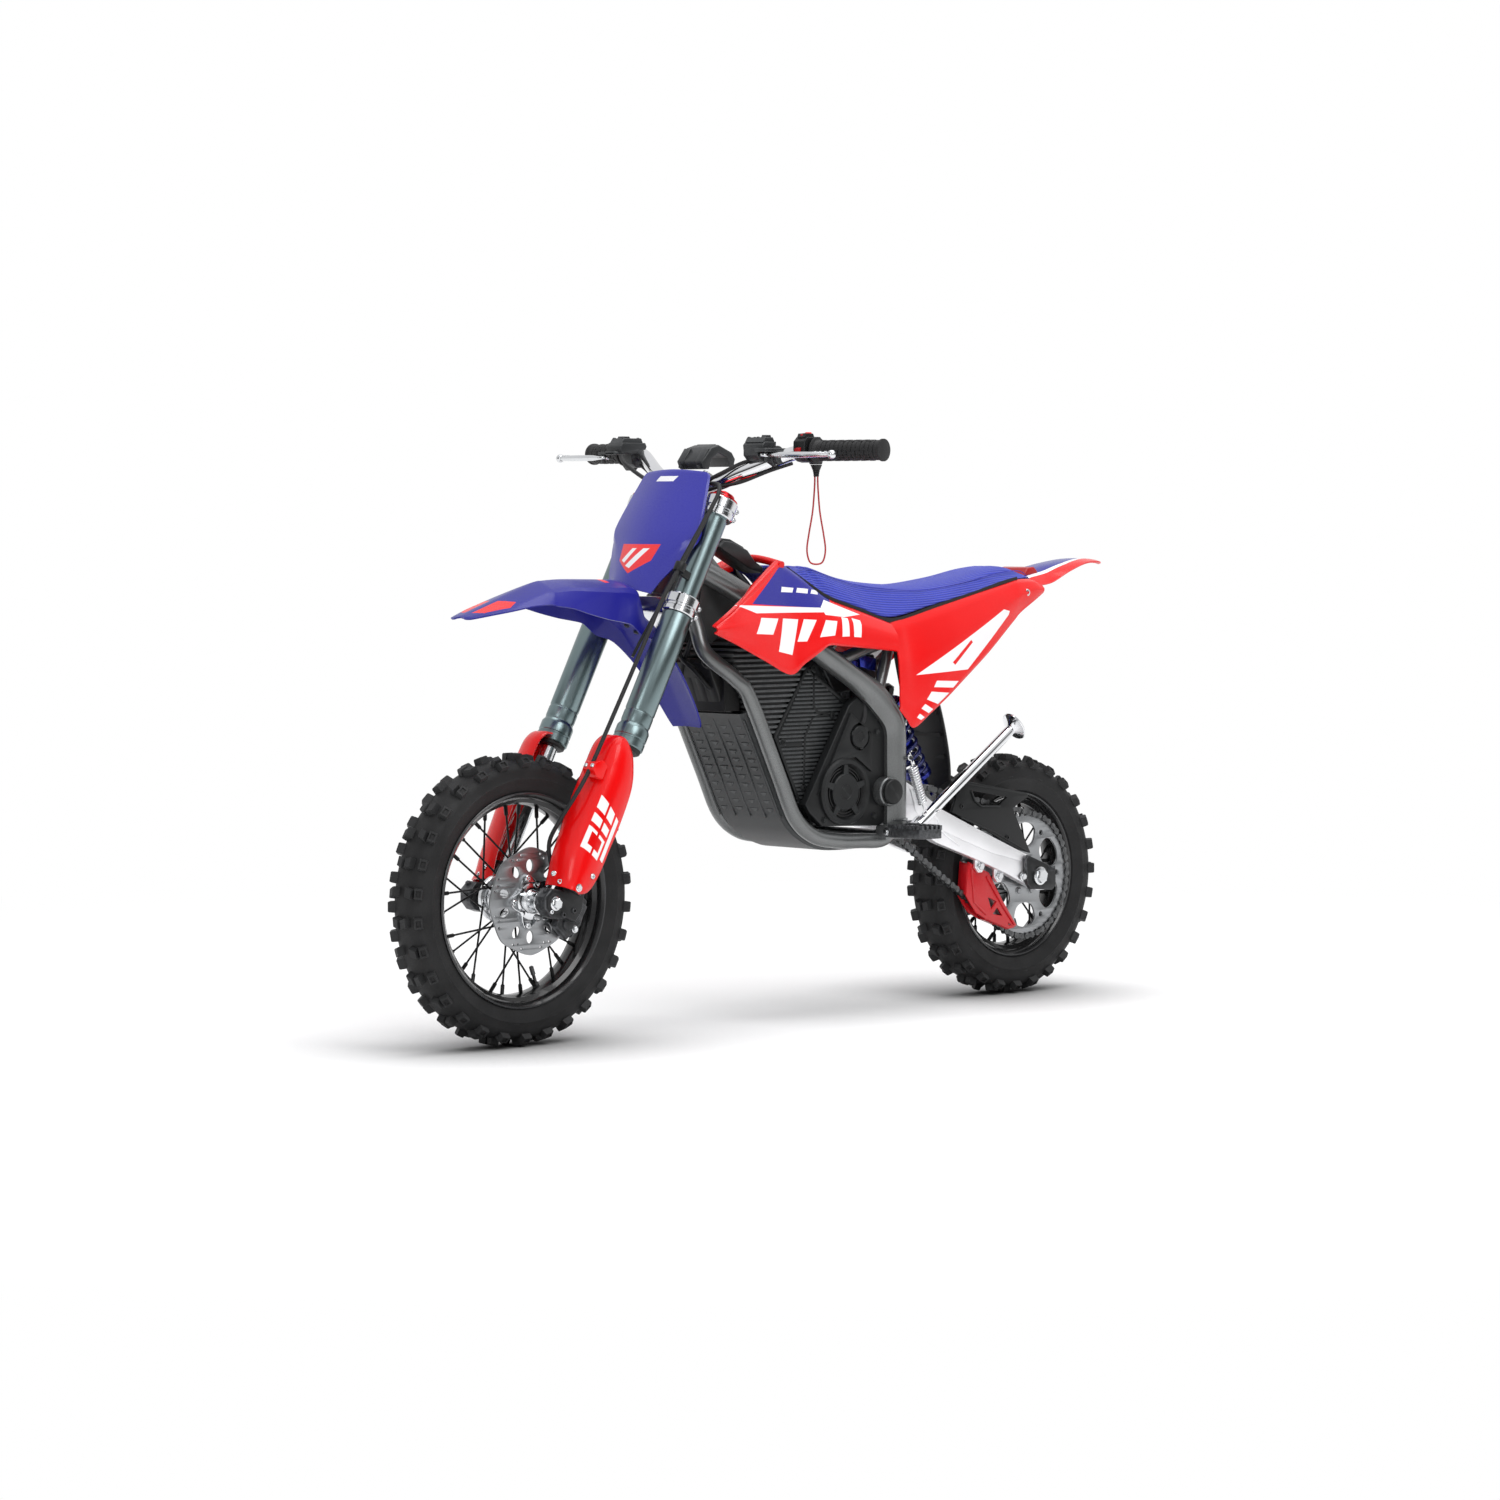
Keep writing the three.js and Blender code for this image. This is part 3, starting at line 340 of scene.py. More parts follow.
class Nodes:
    """Adds nodes to a tree; an input is a value or another node's output."""

    def __init__(self, tree):
        self.tree = tree

    def feed(self, socket, value):
        if isinstance(value, bpy.types.NodeSocket):
            self.tree.links.new(value, socket)
        else:
            socket.default_value = value

    def put(self, kind, inputs=None, **settings):
        node = self.tree.nodes.new(kind)
        for key, value in settings.items():
            setattr(node, key, value)
        for key, value in (inputs or {}).items():
            self.feed(node.inputs[key], value)
        return node

    def math(self, operation, a, b=0.0, c=0.0, clamp=False):
        return self.put("ShaderNodeMath", {0: a, 1: b, 2: c}, operation=operation, use_clamp=clamp).outputs[0]

    def mix(self, share, a, b):
        return self.put("ShaderNodeMix", {0: share, 6: a, 7: b}, data_type="RGBA").outputs[2]


class Look(Nodes):
    """A procedural material under construction."""

    def __init__(self, name, metallic=0.0, **values):
        self.material = bpy.data.materials.new(name)
        self.material.use_nodes = True
        super().__init__(self.material.node_tree)
        self.shader = self.tree.nodes["Principled BSDF"]
        self.shader.inputs["Metallic"].default_value = metallic
        for key, value in values.items():
            self.shader.inputs[key.replace("_", " ")].default_value = value
        self.point = self.put("ShaderNodeTexCoord").outputs["Object"]

    def stretched(self, factors):
        return self.put("ShaderNodeVectorMath", {0: self.point, 1: factors}, operation="MULTIPLY").outputs[0]

    def noise(self, scale, detail=2.0, stretch=(1, 1, 1)):
        vector = self.point if stretch == (1, 1, 1) else self.stretched(stretch)
        return self.put("ShaderNodeTexNoise", {"Vector": vector, "Scale": scale, "Detail": detail}).outputs[0]

    def span(self, value, low, high, to_low, to_high):
        return self.put("ShaderNodeMapRange", {0: value, 1: low, 2: high, 3: to_low, 4: to_high}).outputs[0]

    def bump(self, height, distance, strength=1.0, after=None):
        inputs = {"Height": height, "Distance": distance, "Strength": strength}
        if after is not None:
            inputs["Normal"] = after
        return self.put("ShaderNodeBump", inputs).outputs[0]

    def inside(self, polygon, axes=(0, 2)):
        """1 inside a convex outline drawn in millimetres across two axes, 0 outside."""
        area = sum(p[0] * q[1] - q[0] * p[1] for p, q in zip(polygon, polygon[1:] + polygon[:1]))
        corners = polygon if area > 0 else polygon[::-1]
        nearest = None
        for (ax, ay), (bx, by) in zip(corners, corners[1:] + corners[:1]):
            length = math.hypot(bx - ax, by - ay)
            nx, ny = -(by - ay) / length, (bx - ax) / length
            normal = [0.0, 0.0, 0.0]
            normal[axes[0]], normal[axes[1]] = nx, ny
            dot = self.put("ShaderNodeVectorMath", {0: self.point, 1: normal},
                operation="DOT_PRODUCT").outputs["Value"]
            depth = self.math("ADD", dot, -(nx * ax + ny * ay) * MM)
            nearest = depth if nearest is None else self.math("MINIMUM", nearest, depth)
        return self.math("MULTIPLY_ADD", nearest, 2500.0, 0.5, clamp=True)

    def any_of(self, polygons, axes=(0, 2)):
        found = None
        for polygon in polygons:
            mask = self.inside(polygon, axes)
            found = mask if found is None else self.math("MAXIMUM", found, mask)
        return found

    def edges(self):
        """1 on sharp outer edges, where a painted highlight is laid on."""
        return self.span(self.put("ShaderNodeNewGeometry").outputs["Pointiness"], 0.52, 0.62, 0.0, 1.0)

    def done(self, colour, rough, normal):
        for name, value in (("Base Color", colour), ("Roughness", rough), ("Normal", normal)):
            self.feed(self.shader.inputs[name], value)
        return self.material


def shaded(code, share):
    return tuple(min(1.0, c * share) for c in srgb(code)[:3]) + (1.0,)


def finish_of(name, code, rough, metallic=0.0, grain=900.0, depth=0.00006, mottle=0.1, spread=0.06,
              stretch=(1, 1, 1), edge_light=0.0, edge_light_code=0x8A8C90, graphics=(), axes=(0, 2), **values):
    """A moulded, painted or machined surface: clouded colour, uneven gloss, grain and a painted highlight on
    sharp edges.
    """
    look = Look(name, metallic, **values)
    cloud = look.span(look.noise(11.0, 4.0), 0.32, 0.68, 0.0, 1.0)
    colour = look.mix(cloud, shaded(code, 1 - mottle), shaded(code, 1 + mottle))
    for polygons, paint in graphics:
        tone = look.mix(cloud, shaded(paint, 1 - mottle), shaded(paint, 1 + mottle * 0.4))
        colour = look.mix(look.any_of(polygons, axes), colour, tone)
    fine = look.noise(grain, 3.0, stretch)
    gloss = look.span(fine, 0.3, 0.7, rough - spread, rough + spread)
    # sharp edges are lightened towards a paler colour: a painted highlight
    if edge_light:
        lit_edges = look.math("MULTIPLY", look.edges(), look.span(look.noise(160.0, 3.0), 0.4, 0.62, 0.2, edge_light))
        colour = look.mix(lit_edges, colour, srgb(edge_light_code))
    return look.done(colour, gloss, look.bump(fine, depth))


# what the painted body panels share
PAINT = dict(grain=1500, depth=0.00003, mottle=0.03, Specular_IOR_Level=0.3, Coat_Weight=0.15)


# ---------------------------------------------------------------- the cord comes first
def cord_look():
    look = Look("braided_cord", Sheen_Weight=0.3)
    spiral = look.put("ShaderNodeTexWave", {"Vector": look.point, "Scale": 330.0, "Distortion": 1.2,
        "Detail": 1.0},
                      bands_direction="DIAGONAL").outputs["Fac"]
    colour = look.mix(spiral, srgb(0x8A0F16), srgb(0xD02A30))
    return look.done(colour, look.span(spiral, 0.0, 1.0, 0.62, 0.8), look.bump(spiral, 0.0003))


def make_lanyard():
    half = [[2.2, 844.5], [2.6, 828], [5.4, 792], [11, 758], [14, 735], [11.5, 719], [5.8, 712.5]]
    route = [(88 + 0.72 * o, 191 - 0.69 * o, z) for o, z in half]
    route += [(88 - 0.72 * o, 191 + 0.69 * o, z) for o, z in reversed(half)]
    line = [Vector(p) * MM for p in resample([list(p) for p in route], 8)]
    curve = bpy.data.curves.new("lanyard", "CURVE")
    curve.dimensions = "3D"
    curve.bevel_depth, curve.bevel_resolution, curve.use_fill_caps = 0.0013, 4, True
    spline = curve.splines.new("POLY")
    spline.points.add(len(line) - 1)
    for point, p in zip(spline.points, line):
        point.co = (*p, 1.0)
    obj = add_object("lanyard", curve)
    curve.materials.append(cord_look())
    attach(obj, "kill_switch_pull")
    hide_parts("lanyard_loop")


make_lanyard()


# ---------------------------------------------------------------- the palette
def tyre_look():
    look = Look("tyre_rubber", Specular_IOR_Level=0.35)
    cloud = look.span(look.noise(26.0, 5.0), 0.35, 0.68, 0.0, 1.0)
    dust = look.span(look.noise(5.0, 3.0), 0.5, 0.72, 0.0, 0.4)
    colour = look.mix(cloud, srgb(0x0F0F10), srgb(0x1A1A1B))
    colour = look.mix(look.math("MULTIPLY", dust, cloud), colour, srgb(0x2A2A2A))
    # sharp edges are lightened a little: a painted highlight
    colour = look.mix(look.math("MULTIPLY", look.edges(), 0.3), colour, srgb(0x3E3F40))
    fine = look.noise(700.0, 4.0)
    return look.done(colour, look.span(fine, 0.3, 0.7, 0.5, 0.7), look.bump(fine, 0.00012))


def brushed_look(name, code, rough, axis_scale=(30, 1, 30), grain=420.0, depth=0.00004, mottle=0.07, **values):
    return finish_of(name, code, rough, metallic=1.0, grain=grain, depth=depth, mottle=mottle, spread=0.08,
                     stretch=axis_scale, **values)


TYRE = tyre_look()
# the edge colours below lighten sharp edges: a painted highlight
FRAME_PAINT = finish_of("frame_paint", 0x707272, 0.3, metallic=0.7, grain=1500, depth=0.00003, edge_light=0.3,
    Coat_Weight=0.25)
RIM_PAINT = finish_of("rim_paint", 0x121213, 0.24, metallic=0.25, grain=1800, depth=0.00002, edge_light=0.25,
    Coat_Weight=0.4)
SPOKE = finish_of("spoke_black", 0x161617, 0.34, metallic=0.7, grain=1500, depth=0.00002)
BLACK_METAL = finish_of("black_metal", 0x1B1C1D, 0.36, metallic=0.45, grain=1300, depth=0.00004, edge_light=0.5)
BLACK = finish_of("black_plastic", 0x131415, 0.42, grain=1700, depth=0.00007, edge_light=0.25, edge_light_code=0x3E4142,
    Specular_IOR_Level=0.3)
FIN_GREY = finish_of("fin_grey", 0x2E3031, 0.42, grain=1700, depth=0.00007, edge_light=0.4, edge_light_code=0x6A6D6F)
DEEP_BLACK = finish_of("deep_black", 0x0D0D0E, 0.55, grain=1500, depth=0.00006)
GREY = finish_of("grey_plastic", 0x242628, 0.42, grain=1700, depth=0.00007, edge_light=0.35, edge_light_code=0x585B5D)
SKID = finish_of("skid_grey", 0x2A2C2D, 0.46, grain=1200, depth=0.00008, edge_light=0.4, edge_light_code=0x5C5F60)
RUBBER = finish_of("soft_rubber", 0x18181A, 0.62, grain=1300, depth=0.00012)
ALLOY = brushed_look("satin_alloy", 0xF4F4F6, 0.46, (2, 20, 20))
CAST = finish_of("cast_alloy", 0xC2C4C6, 0.32, metallic=1.0, grain=1100, depth=0.0001, mottle=0.08, edge_light=0.4,
    edge_light_code=0xF0F0F2)
BRIGHT = finish_of("bright_steel", 0xDADCDE, 0.16, metallic=1.0, grain=700, depth=0.00002, mottle=0.04,
    spread=0.04)
CHROME = finish_of("chrome", 0xE9EAEC, 0.06, metallic=1.0, grain=300, depth=0.00001, mottle=0.03, spread=0.03)
DISC = brushed_look("disc_steel", 0x9A9C9E, 0.36, (3, 3, 3), grain=900.0, depth=0.00005)
CHAIN_STEEL = finish_of("chain_steel", 0x4C4D4E, 0.4, metallic=0.9, grain=900, depth=0.00006, mottle=0.2,
    edge_light=0.5, edge_light_code=0x8A8B8C)
SPROCKET = brushed_look("sprocket_steel", 0x9C9EA0, 0.38, (3, 3, 3), grain=800.0, depth=0.00005)
ANODISED = finish_of("fork_anodised", 0x7C8C8E, 0.3, metallic=1.0, grain=900, depth=0.000001, mottle=0.03,
    spread=0.02)
RED = finish_of("red_plastic", 0xE80A0C, 0.22, grain=1500, depth=0.00003, mottle=0.03, Specular_IOR_Level=0.3,
    Coat_Weight=0.12)
DARK_RED = finish_of("dark_red", 0xA80F16, 0.35, grain=1500, depth=0.00005, mottle=0.06)
BLUE_METAL = finish_of("shock_blue", 0x1C2A96, 0.24, metallic=0.8, grain=900, depth=0.00003, Coat_Weight=0.3)
RED_METAL = finish_of("red_anodised", 0xC81A22, 0.25, metallic=0.8, grain=900, depth=0.00003)


# ---------------------------------------------------------------- wheels
def knob(shape, wheel, turn, base, y, lean, along, breadth, height, skew=0.0, dish=0.0):
    """A tread block with sloped sides; base is the radius where it stands, lean turns it outward."""
    radial = Vector((math.sin(turn), 0, math.cos(turn)))
    ahead = Vector((math.cos(turn), 0, -math.sin(turn)))
    out = radial * math.cos(lean) + Vector((0, math.sin(lean), 0))
    wide = Vector((0, math.cos(lean), 0)) - radial * math.sin(lean)
    foot = Vector((wheel["x"], 0, wheel["r"])) + radial * base + Vector((0, y, 0))
    levels = [(-3.0, 1.08), (0.0, 1.0), (height * 0.82, 0.93), (height, 0.82)]
    if dish:
        levels += [(height, 0.5), (height - dish, 0.42)]
    shape.rings([
        [foot + out * level + ahead * (u * along / 2 * size + v * skew) + wide * (v * breadth / 2 * size) for u,
        v in SQUARE]
        for level, size in levels
    ])


def make_tyre(name, wheel, pitches, node, body):
    shape = Shape()
    r, half, bead = wheel["r"], wheel["width"] / 2, wheel["bead"]
    side = [
        (bead - 1, 19), (bead + 1.5, 24.5), (bead + 4, 26.5), (bead + 5.5, 26), (bead + 8, 27.5),
        (bead + 11, half - 4.5),
        (lerp(bead, r, 0.36), half - 1.2), (lerp(bead, r, 0.44), half + 0.2), (lerp(bead, r, 0.46), half - 0.7),
        (lerp(bead, r, 0.6), half - 1.2), (lerp(bead, r, 0.72), half - 4.2), (r - 13.5, half - 10),
        (r - 10.6, half - 18),
        (r - 9.6, 6),
    ]
    profile = [[a, b] for a, b in side] + [[a, -b] for a, b in reversed(side)]
    shape.lathe((wheel["x"], 0, r), (0, 1, 0), profile, 128, closed=True)
    step = 2 * math.pi / pitches
    for i in range(pitches):
        turn = i * step
        for s in (1, -1):
            knob(shape, wheel, turn + (0.0 if s > 0 else step / 2), r - 16.5, s * (half - 8.6), s * 0.86, 17,
                13, 10.5,
                 dish=1.6)
            if i % 2 == 0:
                knob(shape, wheel, turn, r - 10.5, s * 7.6, s * 0.08, 16, 12.5, 10.3, skew=-s * 1.5)
            else:
                knob(shape, wheel, turn, r - 11.5, s * 15.5, s * 0.3, 15, 12.5, 10.6, skew=s * 2)
            for shift, slant in ((-0.2, 0.5), (0.2, -0.5)):
                knob(shape, wheel, turn + step * (0.5 + shift), r - 27 - 3 * (i % 2), s * (half - 4.6),
                    s * 1.36, 2.2, 9.0, 1.6,
                     skew=s * slant * 5)
            if i % 2 == 0:
                knob(shape, wheel, turn + step * 0.5, r - 35.5, s * (half - 1.9), s * 1.5, 12, 1.8, 1.3)
    piece(name, shape, TYRE, body, [node], angle=40)


SPOKES, SPOKE_LEAD, HUB_CIRCLE = 28, math.radians(48), 31
VALVE_TURN = math.radians(200)


def on_wheel(wheel, angle, r, y):
    return Vector((wheel["x"] + r * math.sin(angle), y, wheel["r"] + r * math.cos(angle)))


def make_rim(name, wheel, node, body, hub, flanges):
    shape = Shape()
    centre = (wheel["x"], 0, wheel["r"])
    o, b = wheel["opening"], wheel["bead"]
    half = [
        (o, 3), (o + 0.3, 9), (o + 2.5, 13), (o + 3.5, 17), (b - 3, 20.5), (b + 1, 24), (b + 5.5, 26.6),
        (b + 8, 28.4),
        (b + 8.6, 30), (b + 7.6, 31.2), (b + 5.5, 31), (b + 3.5, 29), (b + 0.5, 26.4), (b - 1, 23),
        (b - 3, 19.5), (o + 5, 9),
    ]
    profile = [[r, y] for r, y in half] + [[r, -y] for r, y in reversed(half)]
    shape.lathe(centre, (0, 1, 0), profile, 112, closed=True)
    spokes = Shape()
    for i, outer in enumerate(turns(SPOKES, 0.5)):
        side = 1 if i % 2 == 0 else -1
        cross = 1.5 if i % 4 < 2 else -1.5
        inner = outer + math.copysign(SPOKE_LEAD, cross)
        start = on_wheel(wheel, inner, HUB_CIRCLE, side * (flanges + cross))
        end = on_wheel(wheel, outer, o + 2, side * (3 + cross))
        along = (end - start).normalized()
        spokes.sweep([start, end], 1.55, 8, 1)
        spokes.sweep([end - along * 17, end - along * 15.5, end - along * 3, end + along],
            lambda t: 2.1 if t < 0.2 else 3.0, 8, 1)
        spokes.lathe(on_wheel(wheel, inner, HUB_CIRCLE, side * (flanges + math.copysign(3, cross))), (0, 1, 0),
                     [[2.6, -1.5], [2.9, 0], [2.6, 1.5]], 8)
    piece(name + "_spokes", spokes, SPOKE, body)
    stem = Vector((math.sin(VALVE_TURN), 0, math.cos(VALVE_TURN)))
    foot = Vector(centre) + stem * (o + 3)
    shape.lathe(foot, -stem, [[5.5, 0], [5.5, 4], [4.2, 4.6], [4.2, 9], [2.6, 9.4], [2.6, 22], [3.6, 22.2],
        [3.6, 34], [2.4, 35.5]], 14)
    piece(name, shape, RIM_PAINT, body, [node], angle=28)
    barrel = Shape()
    barrel.lathe(centre, (0, 1, 0), hub, 40, closed=True)
    for side in (1, -1):
        for a in turns(7, 0.25):
            barrel.bolt(on_wheel(wheel, a, 24, side * (flanges + 3.4)), (0, side, 0), 3.2, 2.2)
    piece(name + "_hub", barrel, BRIGHT, body, angle=28)


def wave_disc(name, wheel, outer, hub, low, high, body, node, lobes=8, openings=5):
    """A brake disc with a wavy rim, small drilled holes and pairs of oval openings."""
    x, z = wheel["x"], wheel["r"]
    rim = [polar(x, z, outer - 3.0 * abs(math.sin(lobes * a / 2)) ** 1.6, a) for a in turns(160)]
    holes = [circle(x, z, hub, 40)]
    for a in turns(lobes, 0.5):
        for shift, inset in ((-0.13, 8.5), (0, 12.5), (0.13, 8.5)):
            holes.append(circle(*polar(x, z, outer - inset, a + shift), 1.9, 10))
    for middle in turns(openings):
        for a in (middle - 0.27, middle + 0.27):
            oval = []
            for t in turns(18):
                u, v = outer - 27 + 9.5 * math.cos(t), 6.6 * math.sin(t)
                oval.append((x + u * math.cos(a) - v * math.sin(a), z + u * math.sin(a) + v * math.cos(a)))
            holes.append(oval)
    shape = Shape()
    shape.plate(rim, low, high, holes, edge=0.35)
    piece(name, shape, DISC, body, [node], angle=30)


def make_front_wheel():
    make_tyre("front_tyre_tread", FRONT, 30, "front_tyre", "front_wheel")
    hub = [
        [9.2, -50], [15, -50], [15.5, -48], [15.5, -40], [24, -38.5], [27, -37], [33, -36], [35.5, -35],
        [36, -33.5], [36, -28.5],
        [34, -27], [26, -25], [21, -20], [19, -8], [19, 8], [21, 20], [26, 25], [34, 27], [36, 28.5],
        [36, 33.5],
        [35.5, 35], [30, 36.5], [27.4, 38], [27.4, 45.5], [24, 47], [18, 47.4], [15.5, 50], [15.5, 67],
        [14, 68.4], [9.2, 68.4],
    ]
    make_rim("front_rim", FRONT, "front_wheel_rim", "front_wheel", hub, 31)
    wave_disc("front_disc", FRONT, 80, 27.6, 40.6, 43.6, "front_wheel", "front_brake_disc")
    carrier = Shape()
    x, z = FRONT["x"], FRONT["r"]
    star = [polar(x, z, 36 + 6.5 * math.cos(5 * a), a) for a in turns(60)]
    openings = [circle(*polar(x, z, 26, a), 4.2, 14) for a in turns(5, 0.5)]
    carrier.plate(star, 43.4, 48.6, [circle(x, z, 15.8, 32)] + openings, edge=1.2)
    for a in turns(5):
        px, pz = polar(x, z, 37, a)
        carrier.bolt((px, 48, pz), (0, 1, 0), 5.2, 3.6)
    piece("front_disc_carrier", carrier, BRIGHT, "front_wheel", angle=30)


def make_rear_wheel():
    make_tyre("rear_tyre_tread", REAR, 28, "rear_tyre", "rear_wheel")
    hub = [
        [9.2, -57], [15, -57], [15, -49], [26.5, -48.4], [27, -47.6], [27, -37], [34, -36], [36, -34.5],
        [36, -30], [33, -28], [24, -25],
        [20, -18], [19, 0], [20, 18], [24, 25], [33, 29], [36, 31], [36, 36], [40, 38.5], [41, 40], [41, 46.4],
        [17, 46.6],
        [15, 48], [15, 57], [9.2, 57],
    ]
    make_rim("rear_rim", REAR, "rear_wheel_rim", "rear_wheel", hub, 32)
    wave_disc("rear_disc", REAR, 75, 27.2, -46.6, -43.4, "rear_wheel", "rear_brake_disc")
    x, z = REAR["x"], REAR["r"]
    teeth = []
    for a in turns(TEETH[1] * 8):
        wave = math.cos(TEETH[1] * a)
        teeth.append(polar(x, z, DRIVEN_PITCH - 0.6 + 4.2 * wave - 1.2 * (1 - wave * wave), a))
    opening = [(84, 0.2), (86, 0.0), (84, -0.2), (76, -0.33), (60, -0.36), (50, -0.26), (46, 0.0), (50, 0.26),
        (60, 0.36), (76, 0.33)]
    holes = [circle(x, z, 17, 32)]
    sprocket = Shape()
    for a, b in zip(turns(6, 0.5), turns(6)):
        window = [polar(x, z, r, a - spread) for r, spread in opening]
        holes.append(resample(window + window[:1], 3)[:-1])
        holes.append(circle(*polar(x, z, 78, b), 4.5, 14))
    sprocket.plate(teeth, 47.2, 50.8, holes, edge=0.35)
    for a in turns(6):
        px, pz = polar(x, z, 30, a)
        sprocket.bolt((px, 50.6, pz), (0, 1, 0), 5.5, 4.2, "hex")
    piece("rear_sprocket_plate", sprocket, SPROCKET, "rear_wheel", ["rear_sprocket"], angle=30)


make_front_wheel()
make_rear_wheel()


# ---------------------------------------------------------------- chain drive
CHAIN_Y, CHAIN_LINKS = 49, 96


def chain_line(count):
    """Evenly spaced points round both sprockets, with the direction of travel at each."""
    ax, az, px, pz = REAR["x"], REAR["r"], *PIVOT
    span = math.hypot(px - ax, pz - az)
    heading = math.atan2(pz - az, px - ax)
    lean = math.asin((DRIVEN_PITCH - DRIVE_PITCH) / span)
    upper, lower = heading + math.pi / 2 - lean, heading - math.pi / 2 + lean
    straight = span * math.cos(lean)
    rear_arc = (lower + 2 * math.pi - upper) * DRIVEN_PITCH
    front_arc = (upper - lower) * DRIVE_PITCH
    total = rear_arc + front_arc + 2 * straight
    made = []
    for i in range(count):
        d = total * i / count
        if d < rear_arc:
            made.append(polar(ax, az, DRIVEN_PITCH, upper + d / DRIVEN_PITCH))
            continue
        d -= rear_arc
        if straight <= d < straight + front_arc:
            made.append(polar(px, pz, DRIVE_PITCH, lower + (d - straight) / DRIVE_PITCH))
            continue
        # on the lower run the chain goes forward, on the upper run it comes back
        a = lower if d < straight else upper
        ends = [polar(ax, az, DRIVEN_PITCH, a), polar(px, pz, DRIVE_PITCH, a)]
        if d >= straight:
            d -= straight + front_arc
            ends.reverse()
        made.append(tuple(lerp(p, q, d / straight) for p, q in zip(*ends)))
    return made


def link_plate(shape, p, q, low, high, radius):
    """A figure-of-eight side plate from pin p to pin q."""
    along = Vector((q[0] - p[0], q[1] - p[1]))
    length = along.length
    along /= length
    beside = Vector((-along.y, along.x))
    outline = []
    for centre, start in ((q, -90), (p, 90)):
        for k in range(6):
            a = math.radians(start + 36 * k)
            outline.append(Vector(centre) + (along * math.cos(a) + beside * math.sin(a)) * radius)
        outline.append((Vector(p) + Vector(q)) / 2 + beside * math.copysign(0.55 * radius, -start))
    shape.rings([[(x, y, z) for x, z in outline] for y in (low, high)])


def make_chain():
    shape = Shape()
    pins = chain_line(CHAIN_LINKS)
    for i, p in enumerate(pins):
        q = pins[(i + 1) % len(pins)]
        outer = i % 2 == 0
        for side in (1, -1):
            near, far = (3.3, 4.6) if outer else (2.0, 3.2)
            link_plate(shape, p, q, *sorted((CHAIN_Y + side * near, CHAIN_Y + side * far)),
                5.0 if outer else 4.7)
        shape.lathe((p[0], 0, p[1]), (0, 1, 0), [[3.0, CHAIN_Y - 2], [3.0, CHAIN_Y + 2]], 8)
        if outer:
            for end in (p, q):
                shape.lathe((end[0], 0, end[1]), (0, 1, 0), [[1.7, CHAIN_Y - 5], [1.7, CHAIN_Y + 5]], 8)
    piece("drive_chain", shape, CHAIN_STEEL, "rear_arm", ["chain"], angle=30)
    small = Shape()
    teeth = [polar(*PIVOT, DRIVE_PITCH - 0.6 + 3.6 * math.cos(TEETH[0] * a), a) for a in turns(TEETH[0] * 8)]
    small.plate(teeth, 47.2, 50.8, [circle(*PIVOT, 9.9, 24)], edge=0.3)
    small.lathe((PIVOT[0], 0, PIVOT[1]), (0, 1, 0), [[9.9, 45.6], [16, 45.6], [16, 52.4], [9.9, 52.4]], 24,
        closed=True)
    piece("drive_sprocket_teeth", small, SPROCKET, "chain_drive", ["drive_sprocket"], angle=30)


make_chain()


# ---------------------------------------------------------------- fork and steering
def on_leg(shape, side, profile, sides=40, closed=False):
    """A body of revolution round a fork leg; heights are measured along the steering axis."""
    origin = fork(LEG_A, side * LEG_Y, 0)
    axis = fork(LEG_A, side * LEG_Y, 1) - origin
    shape.lathe(origin, axis, profile, sides, closed)


def fork_polygon(pairs):
    return [(fork(a, 0, s).x, fork(a, 0, s).z) for a, s in pairs]


def in_fork(shape, outline, near, far, holes=(), edge=0.8, soft=1):
    """A plate drawn in the steering frame (ahead, up) between two values of y."""
    shape.plate(outline, near, far, holes, edge, fork, soft)


